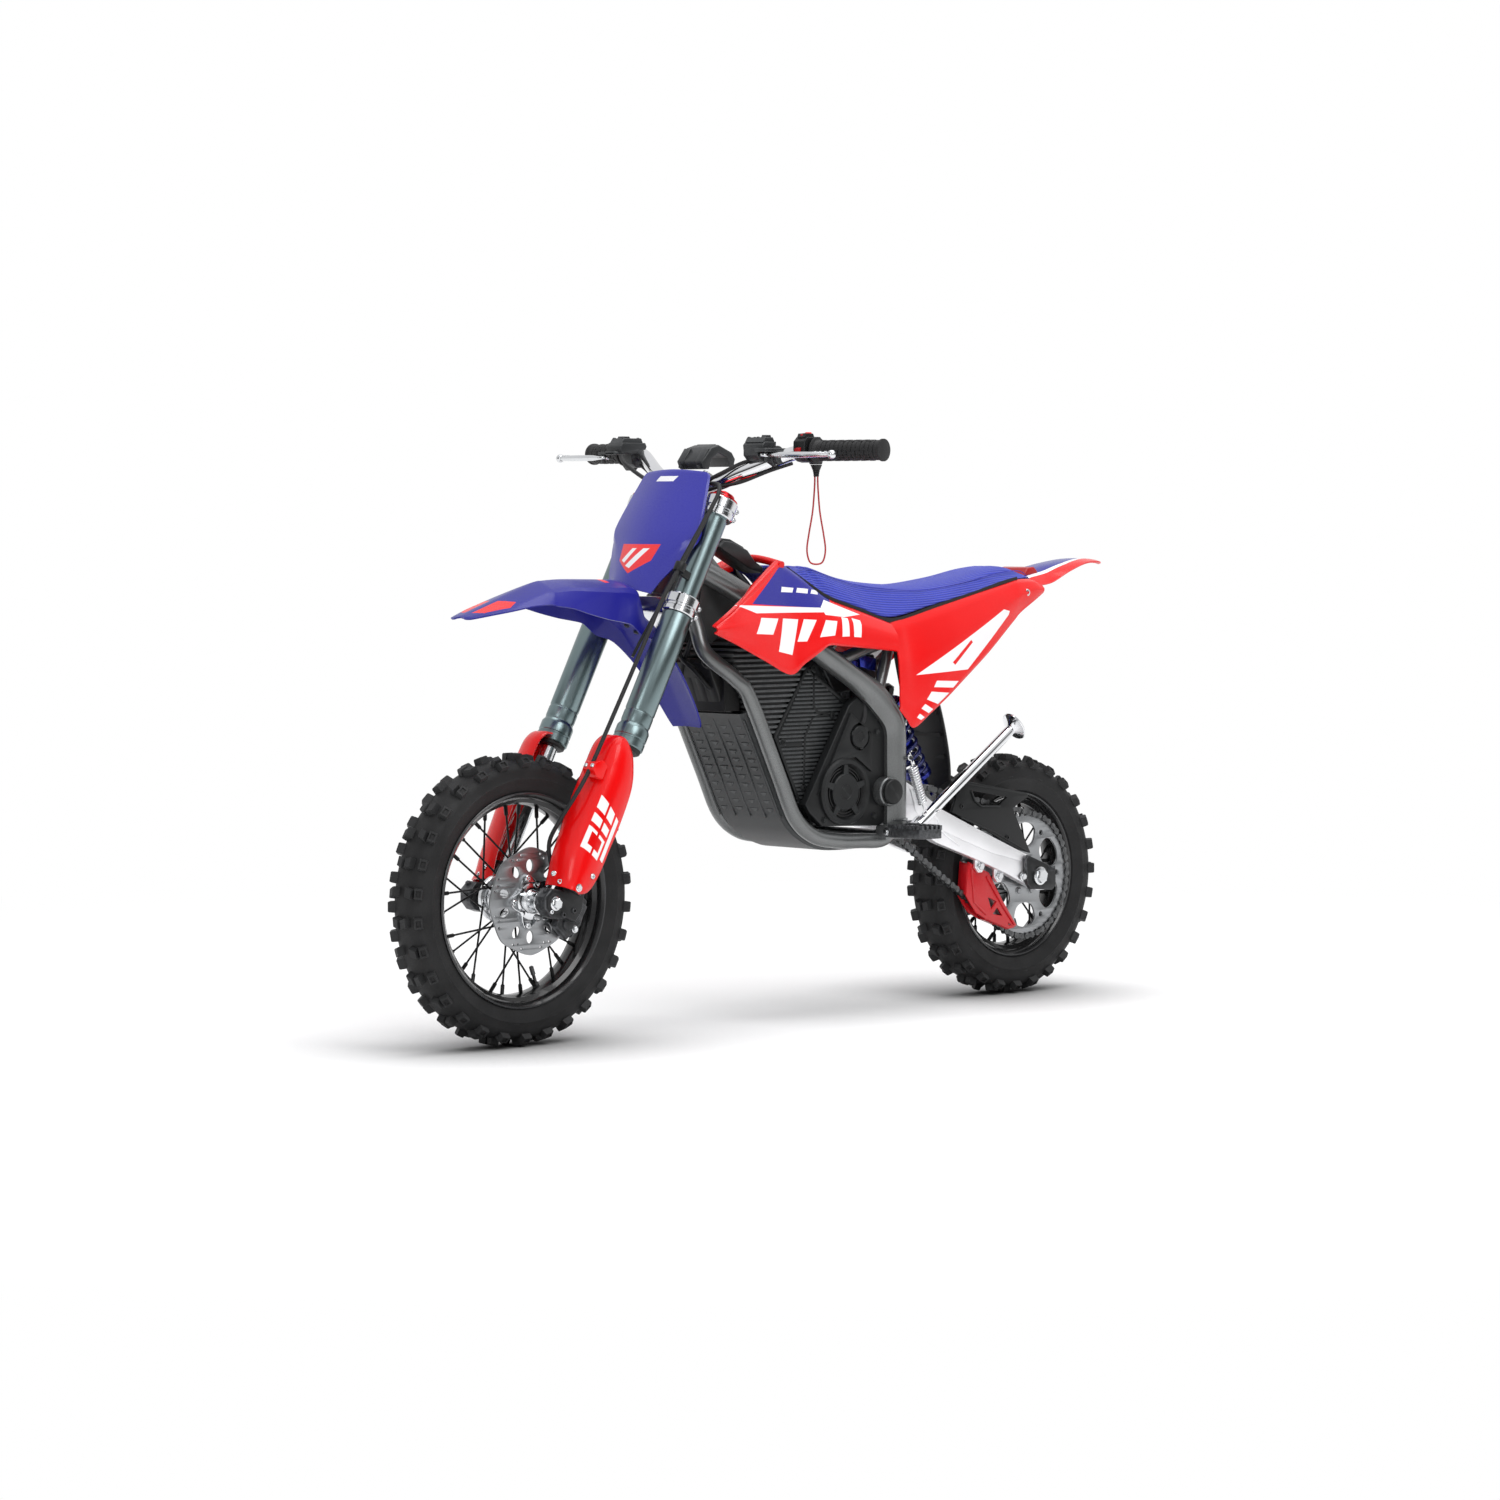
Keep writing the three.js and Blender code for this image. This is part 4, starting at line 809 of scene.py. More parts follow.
def make_fork():
    for name, side in SIDES:
        tube = Shape()
        on_leg(tube, side, [
            [15, 268], [23.6, 268], [25, 269.5], [25.2, 280], [24.2, 281], [24.2, 283], [25.2, 284],
            [25.2, 297.5], [24, 300],
            [22.2, 303], [22.2, 306], [22.8, 308], [22.8, 322], [22.2, 323], [22.2, 326], [22.9, 327.5],
            [22.9, 486], [22, 489], [18.6, 491], [18.6, 689], [17.6, 690.6], [0, 690.6],
        ])
        piece("fork_tube_anodised_" + name, tube, ANODISED, "steering", ["fork_tube_" + name],
            angle=28)
        cap = Shape()
        on_leg(cap, side, [[0, 688], [16.6, 688], [16.6, 694], [15.4, 695.6], [0, 695.6]])
        on_leg(cap, side, [[0, 695], [8, 695], [8, 698.4], [6.8, 699.4], [0, 699.4]], 6)
        piece("fork_cap_" + name, cap, RED_METAL, "steering", angle=28)
        seal = Shape()
        on_leg(seal, side, [[13.6, 262], [20, 262], [22.6, 264], [23, 268.6], [13.6, 268.6]], closed=True)
        piece("fork_seal_" + name, seal, DEEP_BLACK, "steering", angle=28)
        slider = Shape()
        on_leg(slider, side, [[0, 34], [13.5, 34], [13.5, 478], [12, 480], [0, 480]])
        piece("fork_stanchion_" + name, slider, BRIGHT, "fork_lower", angle=28)
        foot = Shape()
        in_fork(foot, [
            (18, 60), (50, 60), (57, 24), (78, 17), (84, 0), (76, -15), (60, -21), (44, -18), (30, -9),
            (12, -8), (8, 12), (14, 34),
        ], side * 73, side * 97, [circle(AXLE_A, 0, 9.2, 24)], edge=3.0, soft=2)
        on_leg(foot, side, [[0, 30], [16.5, 30], [17.5, 34], [17.5, 62], [15.5, 66], [0, 66]])
        for s, a in ((6, 24), (-8, 40)):
            foot.bolt(fork(a, side * 96.4, s), (0, side, 0), 4.4, 3.4)
        for y, s, rise in ((88, 12, 0.2), (80, -8, -0.1)):
            foot.bolt(fork(80, side * y, s), AHEAD + FORK_UP * rise, 4.0, 3.4, "hex")
        piece("fork_foot_" + name, foot, BLACK_METAL, "fork_lower", ["fork_slider_" + name],
            angle=30)
    axle = Shape()
    centre = fork(AXLE_A, 0, 0)
    axle.lathe(centre, (0, 1, 0), [[0, -99], [7.9, -99], [7.9, 99], [0, 99]], 24)
    for side in (1, -1):
        axle.bolt(centre + Vector((0, side * 98, 0)), (0, side, 0), 8.4, 8, "hex")
        axle.bolt(fork(63, side * 97, -14), (0, side, 0), 3.6, 3)
    piece("front_axle_bolt", axle, BRIGHT, "fork_lower", ["front_axle"], angle=30)
    sleeve = Shape()
    for side in (1, -1):
        sleeve.lathe(centre, (0, side, 0), [
            [9.4, 69.4], [15, 69.4], [15, 77], [14, 77.6], [14, 80], [15.2, 80.6], [15.2, 83], [14, 83.6],
            [14, 86], [15.2, 86.6],
            [15.2, 89], [14, 89.6], [14, 92], [15.2, 92.6], [15.2, 97.6], [13, 98.6], [9.4, 98.6],
        ], 32, closed=True)
    piece("axle_sleeves", sleeve, RUBBER, "fork_lower", angle=28)


def make_guard(name, side):
    """The guard wraps the front and the outer side of a lower leg."""
    rows = [
        # height s along the leg, a of the front edge, a of the back edge, y of the outer side
        [276, 60, 50, 96], [273, 68, 45, 102], [266, 74, 39, 107], [254, 79, 31, 111], [238, 80.5, 24, 113.5],
        [224, 80.5, 19, 115],
        [203, 81, 15, 116.5], [168, 81.5, 13, 117], [132, 80, 13, 117], [112, 78.5, 14, 117],
        [95, 77.5, 14, 117],
        [74, 76, 15, 117], [57, 73, 17, 117], [44, 70, 20, 116.5], [34, 68, 26, 116], [27, 66.5, 38, 115],
    ]
    corner = ((0.06, 0.34), (0.14, 0.62), (0.25, 0.85))
    flank = ((0.38, 1.4), (0.55, 0), (0.74, 0.6), (0.88, 2.4), (1, 6))
    lines = []
    for s, front, back, out in resample(rows, 3):
        section = [(front - 3.5, 61), (front - 0.6, 66), (front, 74), (front - 1.0, 84)]
        section += [(lerp(front, back, t), lerp(84, out, u)) for t, u in corner]
        section += [(lerp(front, back, t), out - inset) for t, inset in flank]
        lines.append([fork(a, side * y, s) for a, y in section])
    shape = Shape()
    shape.grid(lines, 2.6, side < 0)
    stripes = [
        fork_polygon([(66, 176), (34, 160), (33, 142), (66, 156)]),
        fork_polygon([(66, 148), (33, 134), (33, 122), (66, 134)]),
        fork_polygon([(66, 127), (33, 115), (34, 84), (66, 92)]),
        fork_polygon([(29, 158), (21, 154), (21, 86), (29, 88)]),
    ]
    gaps = [fork_polygon([(60, 120), (38, 112), (38, 94), (60, 100)]),
        fork_polygon([(51, 180), (47, 178), (47, 84), (51, 84)])]
    look = finish_of("guard_red_" + name, 0xE80A0C, 0.22, grain=1500, depth=0.00003, mottle=0.03,
        Specular_IOR_Level=0.3, Coat_Weight=0.12,
                     graphics=((stripes, 0xF6F4F4), (gaps, 0xE00A0C)))
    piece("fork_guard_shell_" + name, shape, look, "fork_lower", ["fork_guard_" + name],
        angle=48)
    screws = Shape()
    for a, y, s in ((69, 78, 44), (64, 92, 34)):
        screws.bolt(fork(a, side * y, s), AHEAD * 0.8 + Vector((0, side * 0.5, 0)), 4.6, 3.2)
    screws.bolt(fork(31, side * 115.6, 60), (0, side, 0), 4.6, 3.4)
    screws.bolt(fork(46, side * 115.4, 34), (0, side, 0), 4.8, 3.4, "hex")
    piece("guard_screws_" + name, screws, BRIGHT, "fork_lower", angle=30)


def make_clamps():
    lower, upper, bars = Shape(), Shape(), Shape()
    for side in (1, -1):
        for shape, low in ((lower, 490), (upper, 656)):
            on_leg(shape, side, [
                [19.2, low], [23.8, low], [25.4, low + 1.6], [25.4, low + 8], [24, low + 9.4], [24, low + 12.6],
                [26, low + 13.6], [26, low + 27], [24.6, low + 29], [19.2, low + 29],
            ], 40, closed=True)
            for rise in (8, 22):
                head = fork(11, side * (LEG_Y + 14), low + rise)
                shape.lathe(head, (0, side, 0), [[0, -10], [4.2, -10], [4.2, 0], [0, 0]], 16)
                shape.bolt(head, (0, side, 0), 3.6, 2.6)
    for shape, low, high in ((lower, 492, 516), (upper, 657, 684)):
        outline = [(-66, 46), (66, 46), (66, 38), (60, 12), (34, -8), (20, -21), (-20, -21), (-34, -8),
            (-60, 12), (-66, 38)]
        shape.plate(outline, low, high, [circle(0, 14, 9, 20)] if shape is upper else (), 2.4, lambda y, s,
            a: fork(a, y, s), 2)
    origin = fork(0, 0, 0)
    lower.lathe(origin, FORK_UP, [[0, 494], [12.5, 494], [12.5, 684], [0, 684]], 32)
    upper.lathe(origin, FORK_UP, [[0, 684], [17, 684], [17, 690], [15.6, 691.4], [0, 691.4]], 6)
    for y in (28, -28):
        in_fork(bars, [(12, 684), (44, 684), (43, 712), (45, 720), (42, 732), (14, 732), (11, 720), (13, 712)],
                y - 11, y + 11, edge=2.6, soft=2)
        for a in (18, 38):
            bars.bolt(fork(a, y, 731.6), FORK_UP, 4.2, 3.4)
    piece("lower_clamp_forging", lower, BRIGHT, "steering", ["lower_clamp"], angle=30)
    piece("upper_clamp_forging", upper, BRIGHT, "steering", ["upper_clamp"], angle=30)
    piece("bar_risers", bars, CAST, "steering", angle=30)
    rings = Shape()
    for side in (1, -1):
        on_leg(rings, side, [[17.4, 685.4], [23.4, 685.4], [23.4, 688.2], [17.4, 688.2]], 32, closed=True)
    piece("clamp_rings", rings, RED_METAL, "steering", angle=30)


BAR_PATH = [(78.7, 318, 883), (86, 278, 883), (93.7, 234, 883), (99, 205, 883), (115, 165, 878), (150, 95, 850),
    (163, 45, 832)]


GRIP_PITCH = 7.9


def bar_point(y):
    """The middle of the bar's straight end at a distance y from the centre plane."""
    return Vector((lerp(99, 78.7, (abs(y) - 205) / 113), y, 883))


def bar_direction(side):
    return (bar_point(side * 318) - bar_point(side * 205)).normalized()


def grip_look():
    look = Look("grip_rubber")
    waffle = look.put("ShaderNodeTexVoronoi", {"Vector": look.stretched((1.0, 0.55, 1.0)), "Scale": 260.0,
        "Randomness": 0.15},
                      distance="CHEBYCHEV", feature="F1").outputs["Distance"]
    fine = look.noise(1300.0, 3.0)
    colour = look.mix(look.span(waffle, 0.1, 0.6, 0.0, 1.0), srgb(0x1E1E20), srgb(0x0F0F10))
    return look.done(colour, look.span(fine, 0.3, 0.7, 0.55, 0.72),
        look.bump(waffle, 0.0005, 0.6, look.bump(fine, 0.0001)))


def make_bars():
    whole = BAR_PATH + [(x, -y, z) for x, y, z in reversed(BAR_PATH)]
    bar = Shape()
    bar.sweep(whole, 11, 28, 8)
    piece("handlebar_tube", bar, CHROME, "steering", ["handlebar"], angle=40)
    rubber = grip_look()
    for name, side, inner, body in (("left", 1, 202, "steering"), ("right", -1, 226, "throttle")):
        origin, along = bar_point(side * inner), bar_direction(side)
        u = along.orthogonal().normalized()
        v = along.cross(u)
        profile = [[11.6, 0], [19.5, 0], [20.5, 1.5], [20.5, 3.6], [17, 5], [15.2, 8]]
        length = (325 - inner) / abs(along.y)
        d = 10.0
        while d < length - 12:
            profile += [[14.0, d], [14.0, d + 1.2], [15.3, d + 1.7], [15.3, d + 7.2]]
            d += GRIP_PITCH
        profile += [[15.6, length - 6], [17.0, length - 4], [17.0, length - 0.8], [15.6, length], [0, length]]
        shape = Shape()
        shape.lathe(origin, along, profile, 36)
        # raised blocks stand in rows, with two smooth bands along the grip
        for k, a in enumerate(turns(18)):
            if k % 9 < 2:
                continue
            out = u * math.cos(a) + v * math.sin(a)
            turn = u * -math.sin(a) + v * math.cos(a)
            for j in range(int((length - 30) / (2 * GRIP_PITCH))):
                c = origin + along * (16 + 2 * GRIP_PITCH * j + (GRIP_PITCH if k % 2 else 0)) + out * 14.4
                shape.block([
                    c + out * w + along * (p * 5.4 * size) + turn * (q * 1.9 * size)
                    for w, size in ((-0.6, 1.0), (1.5, 0.8)) for p, q in SQUARE
                ])
        piece("grip_rubber_" + name, shape, rubber, body, ["grip_" + name], angle=32)


def lever(name, pin, tip, z, body):
    """A forged blade: an eye at the pin, a waisted bar, three dimples and a ball end."""
    side = 1 if tip[1] > pin[1] else -1
    start, end = Vector((*pin, z)), Vector((*tip, z))
    along = (end - start).normalized()
    across = Vector((0, 0, 1)).cross(along)
    table = [[0.05, 7.5, 2.6], [0.13, 8.2, 3.2], [0.22, 6.6, 4.4], [0.4, 6.6, 4.6], [0.6, 6.8, 4.7],
        [0.8, 6.0, 4.4], [0.92, 4.8, 3.8], [0.98, 4.2, 3.6]]
    rings = []
    for t, wide, tall in resample(table, 4):
        centre = start.lerp(end, t) + across * side * -6.0 * math.sin(math.pi * t)
        rings.append([centre + across * wide * math.cos(a) * (0.92 if k % 5 else 1) + Vector((0, 0,
            1)) * tall * math.sin(a)
                      for k, a in enumerate(turns(20))])
    shape = Shape()
    shape.rings(rings)
    shape.lathe(start, (0, 0, 1), [[3.7, -2.5], [8.6, -2.5], [9.2, -1.6], [9.2, 1.6], [8.6, 2.5], [3.7, 2.5]],
        28, closed=True)
    ball = [[6.8 * math.sin(math.pi * i / 10), -6.8 * math.cos(math.pi * i / 10)] for i in range(11)]
    shape.lathe(end, along, ball, 24)
    for t in (0.78, 0.85, 0.92):
        centre = start.lerp(end, t) + across * side * -6.0 * math.sin(math.pi * t)
        shape.lathe(centre, (0, 0, 1), [[2.6, 3.0], [3.0, 4.7], [2.2, 5.0], [1.8, 4.2], [0, 4.1]], 14)
    piece(name + "_blade", shape, BRIGHT, body, [name], angle=40)


def make_controls():
    lever("lever_left", (150, 146), (132, 268), 876.5, "brake_lever_left")
    lever("lever_right", (158, -212), (151, -322), 875.5, "brake_lever_right")
    left = Shape()
    left.plate([(131, 884), (130, 897), (154, 897), (159, 892), (158, 884)], 104, 148, edge=1.6, soft=2)
    left.plate([(131, 896), (135, 903.6), (152, 903.6), (157, 896)], 106, 146, edge=1.2)
    left.plate([(131, 870), (131, 886), (158, 886), (158, 876), (150, 868), (140, 864)], 104, 135, edge=1.6,
        soft=2)
    left.plate([(116, 864), (114, 876), (118, 887), (164, 887), (164, 881), (142, 881), (140, 868), (134, 862)],
        134, 158, edge=1.5)
    left.plate([(136, 902), (138, 907), (148, 907), (150, 902)], 134, 144, edge=1.0)
    left.lathe((150, 146, 866), (0, 0, 1), [[0, 0], [3.4, 0], [3.4, 20], [0, 20]], 16)
    left.lathe((126, 140, 874), bar_direction(1), [[12, -7], [16.5, -7], [17, -6], [17, 6], [16.5, 7], [12, 7]],
        30, closed=True)
    for x, y in ((138, 109), (150, 109), (138, 129), (150, 129)):
        left.bolt((x, y, 903.2), (0, 0, 1), 2.4, 1.4)
    piece("brake_reservoir_left", left, GREY, "steering", ["master_cylinder_left"], bevel=0.6)
    right = Shape()
    right.plate([(108, 882), (102, 893), (105, 899), (153, 899), (158, 893), (156, 881)], -206, -172, edge=1.6,
        soft=2)
    right.plate([(107, 898), (111, 906), (148, 906), (154, 898)], -203, -175, edge=1.2)
    right.plate([(126, 905), (128, 909), (142, 909), (144, 905)], -196, -184, edge=1.0)
    right.plate([(92, 866), (92, 886), (166, 886), (166, 880.5), (130, 880.5), (128, 866), (118, 860),
        (100, 860)], -200, -178, edge=1.5)
    right.plate([(128, -176), (128, -206), (146, -220), (160, -222), (166, -216), (166, -176)], 880.5, 884,
        edge=1.0,
                place=lambda x, h, y: Vector((x, y, h)))
    right.lathe((158, -212, 866), (0, 0, 1), [[0, 0], [3.4, 0], [3.4, 20], [0, 20]], 16)
    for x, y in ((115, -200), (146, -200), (115, -179), (146, -179)):
        right.bolt((x, y, 905.6), (0, 0, 1), 2.6, 1.4)
    piece("brake_reservoir_right", right, GREY, "steering", ["master_cylinder_right"], bevel=0.6)
    throttle = Shape()
    throttle.lathe(bar_point(-203), bar_direction(-1),
        [[12, 0], [18, 0], [20.5, 2], [20.5, 17], [18.5, 19.4], [12, 19.4]], 30, closed=True)
    throttle.plate([(88, 862), (86, 872), (112, 872), (110, 862), (104, 856), (94, 856)], -220, -206, edge=1.2)
    piece("throttle_housing", throttle, BLACK, "steering", angle=30)
    housing = Shape()
    housing.plate([(84, 870), (80, 878), (80, 893), (86, 904), (114, 904), (121, 897), (122, 874), (114, 867),
        (104, 865), (90, 866)], 174, 199, edge=2.2, soft=2)
    housing.lathe((88, 190, 862.6), (0, 0, 1), [[0, 0], [8.8, 0], [9.8, 1], [10.6, 5], [10.8, 9], [0, 9]], 28)
    housing.box(84, 118, 173.2, 199.8, 881.2, 882.6)
    housing.plate([(96, 903), (99, 909), (114, 909), (117, 903)], 178, 196, edge=1.2)
    for z in (872, 892):
        housing.bolt((100, 198.6, z), (0, 1, 0), 2.6, 1.4)
    piece("switch_housing", housing, BLACK, "steering", ["kill_switch_housing"], angle=30)
    button = Shape()
    button.lathe((101, 187, 901.6), (0, 0, 1), [[0, 0], [5.2, 0], [5.2, 8], [4.4, 9.3], [2.6, 9.4], [2.2, 8.8],
        [0, 8.6]], 24)
    piece("start_button_cap", button, RED, "start_switch", ["start_button"], angle=30)
    extra = Shape()
    extra.lathe((111, 187, 903), (0.35, 0, 1), [[0, 0], [4, 0], [4, 5], [3.2, 6], [0, 6]], 20)
    extra.plate([(121, 876), (126, 878), (126, 886), (121, 888)], 182, 192, edge=0.8)
    piece("switch_buttons", extra, DARK_RED, "steering", angle=30)
    cap = Shape()
    cap.lathe((88, 191, 844), (0, 0, 1), [
        [0, 0], [3.6, 0], [4.2, 1], [4.2, 4], [4.8, 5], [4.6, 7], [5.4, 8], [5.2, 9.6], [6.2, 11], [7.8, 15.4],
        [8.6, 16.4], [8.6, 18], [0, 18],
    ], 28)
    piece("safety_cap", cap, BLACK, "kill_switch_pull", ["kill_switch_cap"], angle=30)
    wires = Shape()
    for y in (1, -1):
        wires.sweep([
            (118, y * 170, 864), (134, y * 134, 852), (158, y * 100, 836), (176, y * 66, 828),
            (190, y * 44, 818),
            (200, y * 30, 796), (208, y * 26, 770),
        ], 2.6, 10, 6)
    wires.sweep([(134, 116, 870), (150, 98, 866), (170, 76, 852), (184, 56, 838), (192, 46, 816),
        (204, 42, 786), (210, 40, 766)], 3.0, 10, 6)
    piece("control_wires", wires, RUBBER, "steering", angle=50)


def make_front_bodywork():
    # s, half-width, half-width of the front face, a of the face's edges, a of its middle
    rows = [
        [717, 66, 64, 68, 77], [714, 71, 69, 67.5, 78.5], [706, 75, 73, 67, 79.5], [660, 87, 85, 66, 82],
        [628, 95, 92, 65, 83],
        [612, 98, 90, 65.5, 83.5], [596, 92, 76, 69, 84], [570, 79, 56, 73, 85], [545, 66, 40, 77, 85],
        [528, 57, 33, 79, 85], [515, 52, 30, 80, 85], [508, 49, 28, 80.4, 84],
    ]

    def front_face(row, v):
        s, half, face, edge, middle = row
        share = abs(v) / 0.75
        if share <= 1:
            y, a = face * share, lerp(middle, edge, share ** 1.8)
        else:
            share = (abs(v) - 0.75) / 0.25
            y, a = lerp(face, half, share), edge - 9.0 * share * clamp((half - face) / 14) - 2.2 * share
        return fork(a, math.copysign(y, v), s)

    shape = Shape()
    shape.grid(sheet(rows, 4, 12, front_face), 2.4)
    badge, chip, chip_two, bar = ([(y, fork(a, 0, s).z) for y, s in pairs] for a, pairs in (
        (84, ((41, 584), (-43, 584), (-38, 556), (0, 534), (34, 556))),
        (84, ((24, 577), (12, 577), (-14, 547), (-2, 543))),
        (84, ((-2, 577), (-12, 577), (-30, 556), (-20, 552))),
        (79, ((20, 704), (-20, 704), (-26, 695), (14, 695)))))
    look = finish_of("plate_blue", 0x2A2A9A, 0.3, grain=1500, depth=0.00004, mottle=0.05, Coat_Weight=0.2,
                     graphics=(([badge], 0xF02A30), ([chip, chip_two, bar], 0xF4F4F6)), axes=(1, 2))
    piece("number_plate_shell", shape, look, "steering", ["number_plate"], angle=17)

    # a, s of the middle, half-width, drop of the edge, half-width of the flat top, drop where the skirt starts
    rows = [
        [346, 322, 11, 2.4, 7, 1], [344.6, 323.6, 18, 3.6, 12, 1.5], [341, 328, 25, 5, 16, 2],
        [322, 349, 38, 10, 27, 5], [300, 373, 50, 16, 36, 9], [268, 408, 56, 26, 41, 13],
        [242, 434, 58, 36, 42, 15], [232, 441, 58, 40, 42, 15], [204, 458, 58, 46, 42, 14],
        [168, 477, 57, 56, 42, 14], [133, 495, 56, 64, 41, 14],
        [104, 509, 55, 68, 40, 13], [86, 512, 54, 66, 39, 12], [70, 498, 53, 54, 38, 10],
        [54, 482, 52, 40, 38, 8],
        [20, 474, 50, 26, 39, 6], [-36, 447, 46, 12, 37, 5], [-88, 415, 41, 5, 33, 3],
        [-124, 392, 35, 2.4, 28, 2], [-134, 384, 30, 1.6, 22, 1],
    ]

    def top_and_skirt(row, v):
        a, s, half, drop, top, start = row
        share = abs(v) / 0.62
        if share <= 1:
            y, down = top * share, start * share ** 1.25
        else:
            share = (abs(v) - 0.62) / 0.38
            y, down = lerp(top, half, share ** 0.75), lerp(start, drop, share)
        return fork(a, math.copysign(y, v), s - down)

    shape = Shape()
    shape.grid(sheet(rows, 4, 12, top_and_skirt), 2.6)
    patch = [(616, 8), (608, 27), (572, 44), (554, 36), (566, 9)]
    patch_two = [(x, -y) for x, y in patch]
    tag = [(364, 20), (364, -18), (353, -20), (353, 18)]
    look = finish_of("fender_blue", 0x1C1C88, 0.32, grain=1500, depth=0.00004, mottle=0.05,
        Specular_IOR_Level=0.3, Coat_Weight=0.08,
                     graphics=(([patch, patch_two, tag], 0xF02228),), axes=(0, 1))
    piece("front_fender_shell", shape, look, "steering", ["front_fender"], angle=16)
    bolts = Shape()
    for x in (36, 14):
        for y in (16, -16):
            bolts.bolt(fork(x, y, 470), -FORK_UP, 4, 3, "hex")
    piece("plate_bolts", bolts, BLACK_METAL, "steering", angle=30)

    dash = Shape()
    dash.plate([(172, 868), (166, 856), (156, 856), (150, 872), (136, 881), (118, 874), (112, 860), (104, 860),
        (101, 872), (108, 882), (136, 893.6), (152, 889)],
               -28, 28, edge=2.4, soft=2)
    for y in (20, -20):
        dash.plate([(173.4, 868), (168, 857), (160, 857), (163, 871), (154, 888), (158, 888)], y - 7, y + 7,
            edge=1.0)
        dash.box(164, 174, y - 3, y + 3, 858, 862)
    dash.plate([(150, 889), (136, 894.8), (112, 885.4), (112, 882), (136, 891), (149, 886)], -20, 20, edge=0.8)
    piece("dash_housing", dash, GREY, "steering", ["dash"], bevel=0.5)
    screen = Shape()
    screen.plate([(133, 894.6), (112, 886.4), (112, 884), (133, 892)], -17, 17, edge=0.3)
    look = finish_of("screen_glass", 0x07080A, 0.08, grain=400, depth=0.000002, mottle=0.1, spread=0.02,
        Coat_Weight=1.0)
    piece("dash_screen", screen, look, "steering", angle=30)

    behind = [tuple(fork(a, y, s)) for a, y, s in (
        (54, -90, 716), (54, -50, 704), (54, 0, 703), (54, 50, 703), (57, 86, 702), (65, 107, 684),
        (70, 110, 650), (76, 108, 590))]
    hose = Shape()
    hose.sweep([
        (160, -168, 878), (180, -138, 866), *behind, (321, 103, 664),
        (364, 103, 590), (414, 101, 502), (465, 99, 414), (490, 94, 374), (504, 76, 338), (507, 55, 304),
        (500, 52, 268), (480, 49, 238),
    ], 3.2, 14, 8)
    obj = piece("front_brake_line", hose, RUBBER, None, ["front_brake_hose"], angle=50)
    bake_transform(obj)
    guide = Shape()
    guide.sweep([tuple(fork(a, y, s)) for a, y, s in (
        (62, 96, 646), (70, 102, 620), (78, 100, 560), (82, 98, 500), (86, 94, 450), (88, 91, 420),
        (89, 88, 392))], 2.5, 12, 8)
    guide.lathe(fork(79, 103, 548), FORK_UP, [[3.6, -7], [8.5, -7], [9, -6], [9, 6], [8.5, 7], [3.6, 7]], 20,
        closed=True)
    in_fork(guide, [(50, 541), (80, 541), (80, 553), (50, 553)], 92, 99, edge=1.4)
    piece("hose_guide", guide, BLACK, "steering", angle=40)
    holder = Shape()
    in_fork(holder, [(76, 196), (76, 218), (88, 222), (99, 214), (99, 202), (88, 194)], 86, 112, edge=1.6,
        soft=2)
    piece("hose_clamp", holder, RED, "fork_lower", angle=30)
    screws = Shape()
    for y in (92, 106):
        screws.bolt(fork(98.6, y, 208), AHEAD, 3.6, 2.6)
    piece("hose_clamp_screws", screws, BRIGHT, "fork_lower", angle=30)

    caliper = Shape()
    in_fork(caliper, [(-26, 42), (4, 50), (16, 26), (14, -18), (-16, -26), (-30, 6)], 45.6, 60, edge=3.4,
        soft=2)
    in_fork(caliper, [(-24, 38), (4, 44), (12, 24), (10, -16), (-14, -22), (-26, 6)], 26, 39, edge=3.0, soft=2)
    in_fork(caliper, [(-30, 34), (-22, 44), (-18, 20), (-18, -10), (-26, -18), (-34, 6)], 30, 56, edge=2.0)
    for s in (20, -4):
        caliper.lathe(fork(-6, 60, s), (0, 1, 0), [[0, -2], [10.5, -2], [10.5, 1.8], [9, 3], [0, 3]], 26)
    in_fork(caliper, [(-18, 30), (14, 34), (20, 14), (12, -4), (-16, 4)], 58, 74, edge=2.0)
    piece("front_caliper_body", caliper, BLACK_METAL, "fork_lower", ["front_brake_caliper"],
        angle=32)
    bolts = Shape()
    for a, s in ((-20, 24), (-22, -6)):
        bolts.bolt(fork(a, 59.6, s), (0, 1, 0), 4.4, 4, "hex")
    bolts.bolt(fork(2, 73.6, 22), (0, 1, 0), 5, 4, "hex")
    piece("caliper_bolts_front", bolts, BRIGHT, "fork_lower", angle=30)


make_fork()
for name, side in SIDES:
    make_guard(name, side)
make_clamps()
make_bars()
make_controls()
make_front_bodywork()


# ---------------------------------------------------------------- frame, battery and motor
SPAR = [(180, 27, 706), (100, 65, 655), (-24, 92, 571), (-118, 92, 517), (-150, 92, 494), (-181, 92, 458),
    (-185, 92, 400), (-185, 92, 290)]
CRADLE = [(197, 20, 656), (191, 34, 618), (190, 54, 577), (152, 80, 537), (126, 85, 506), (65, 85, 387),
    (30, 85, 320),
          (-11, 85, 289), (-60, 85, 279), (-114, 85, 276), (-165, 86, 277), (-188, 92, 306)]
SUBFRAME = [(-75, 78, 560), (-190, 62, 585), (-440, 52, 632)]


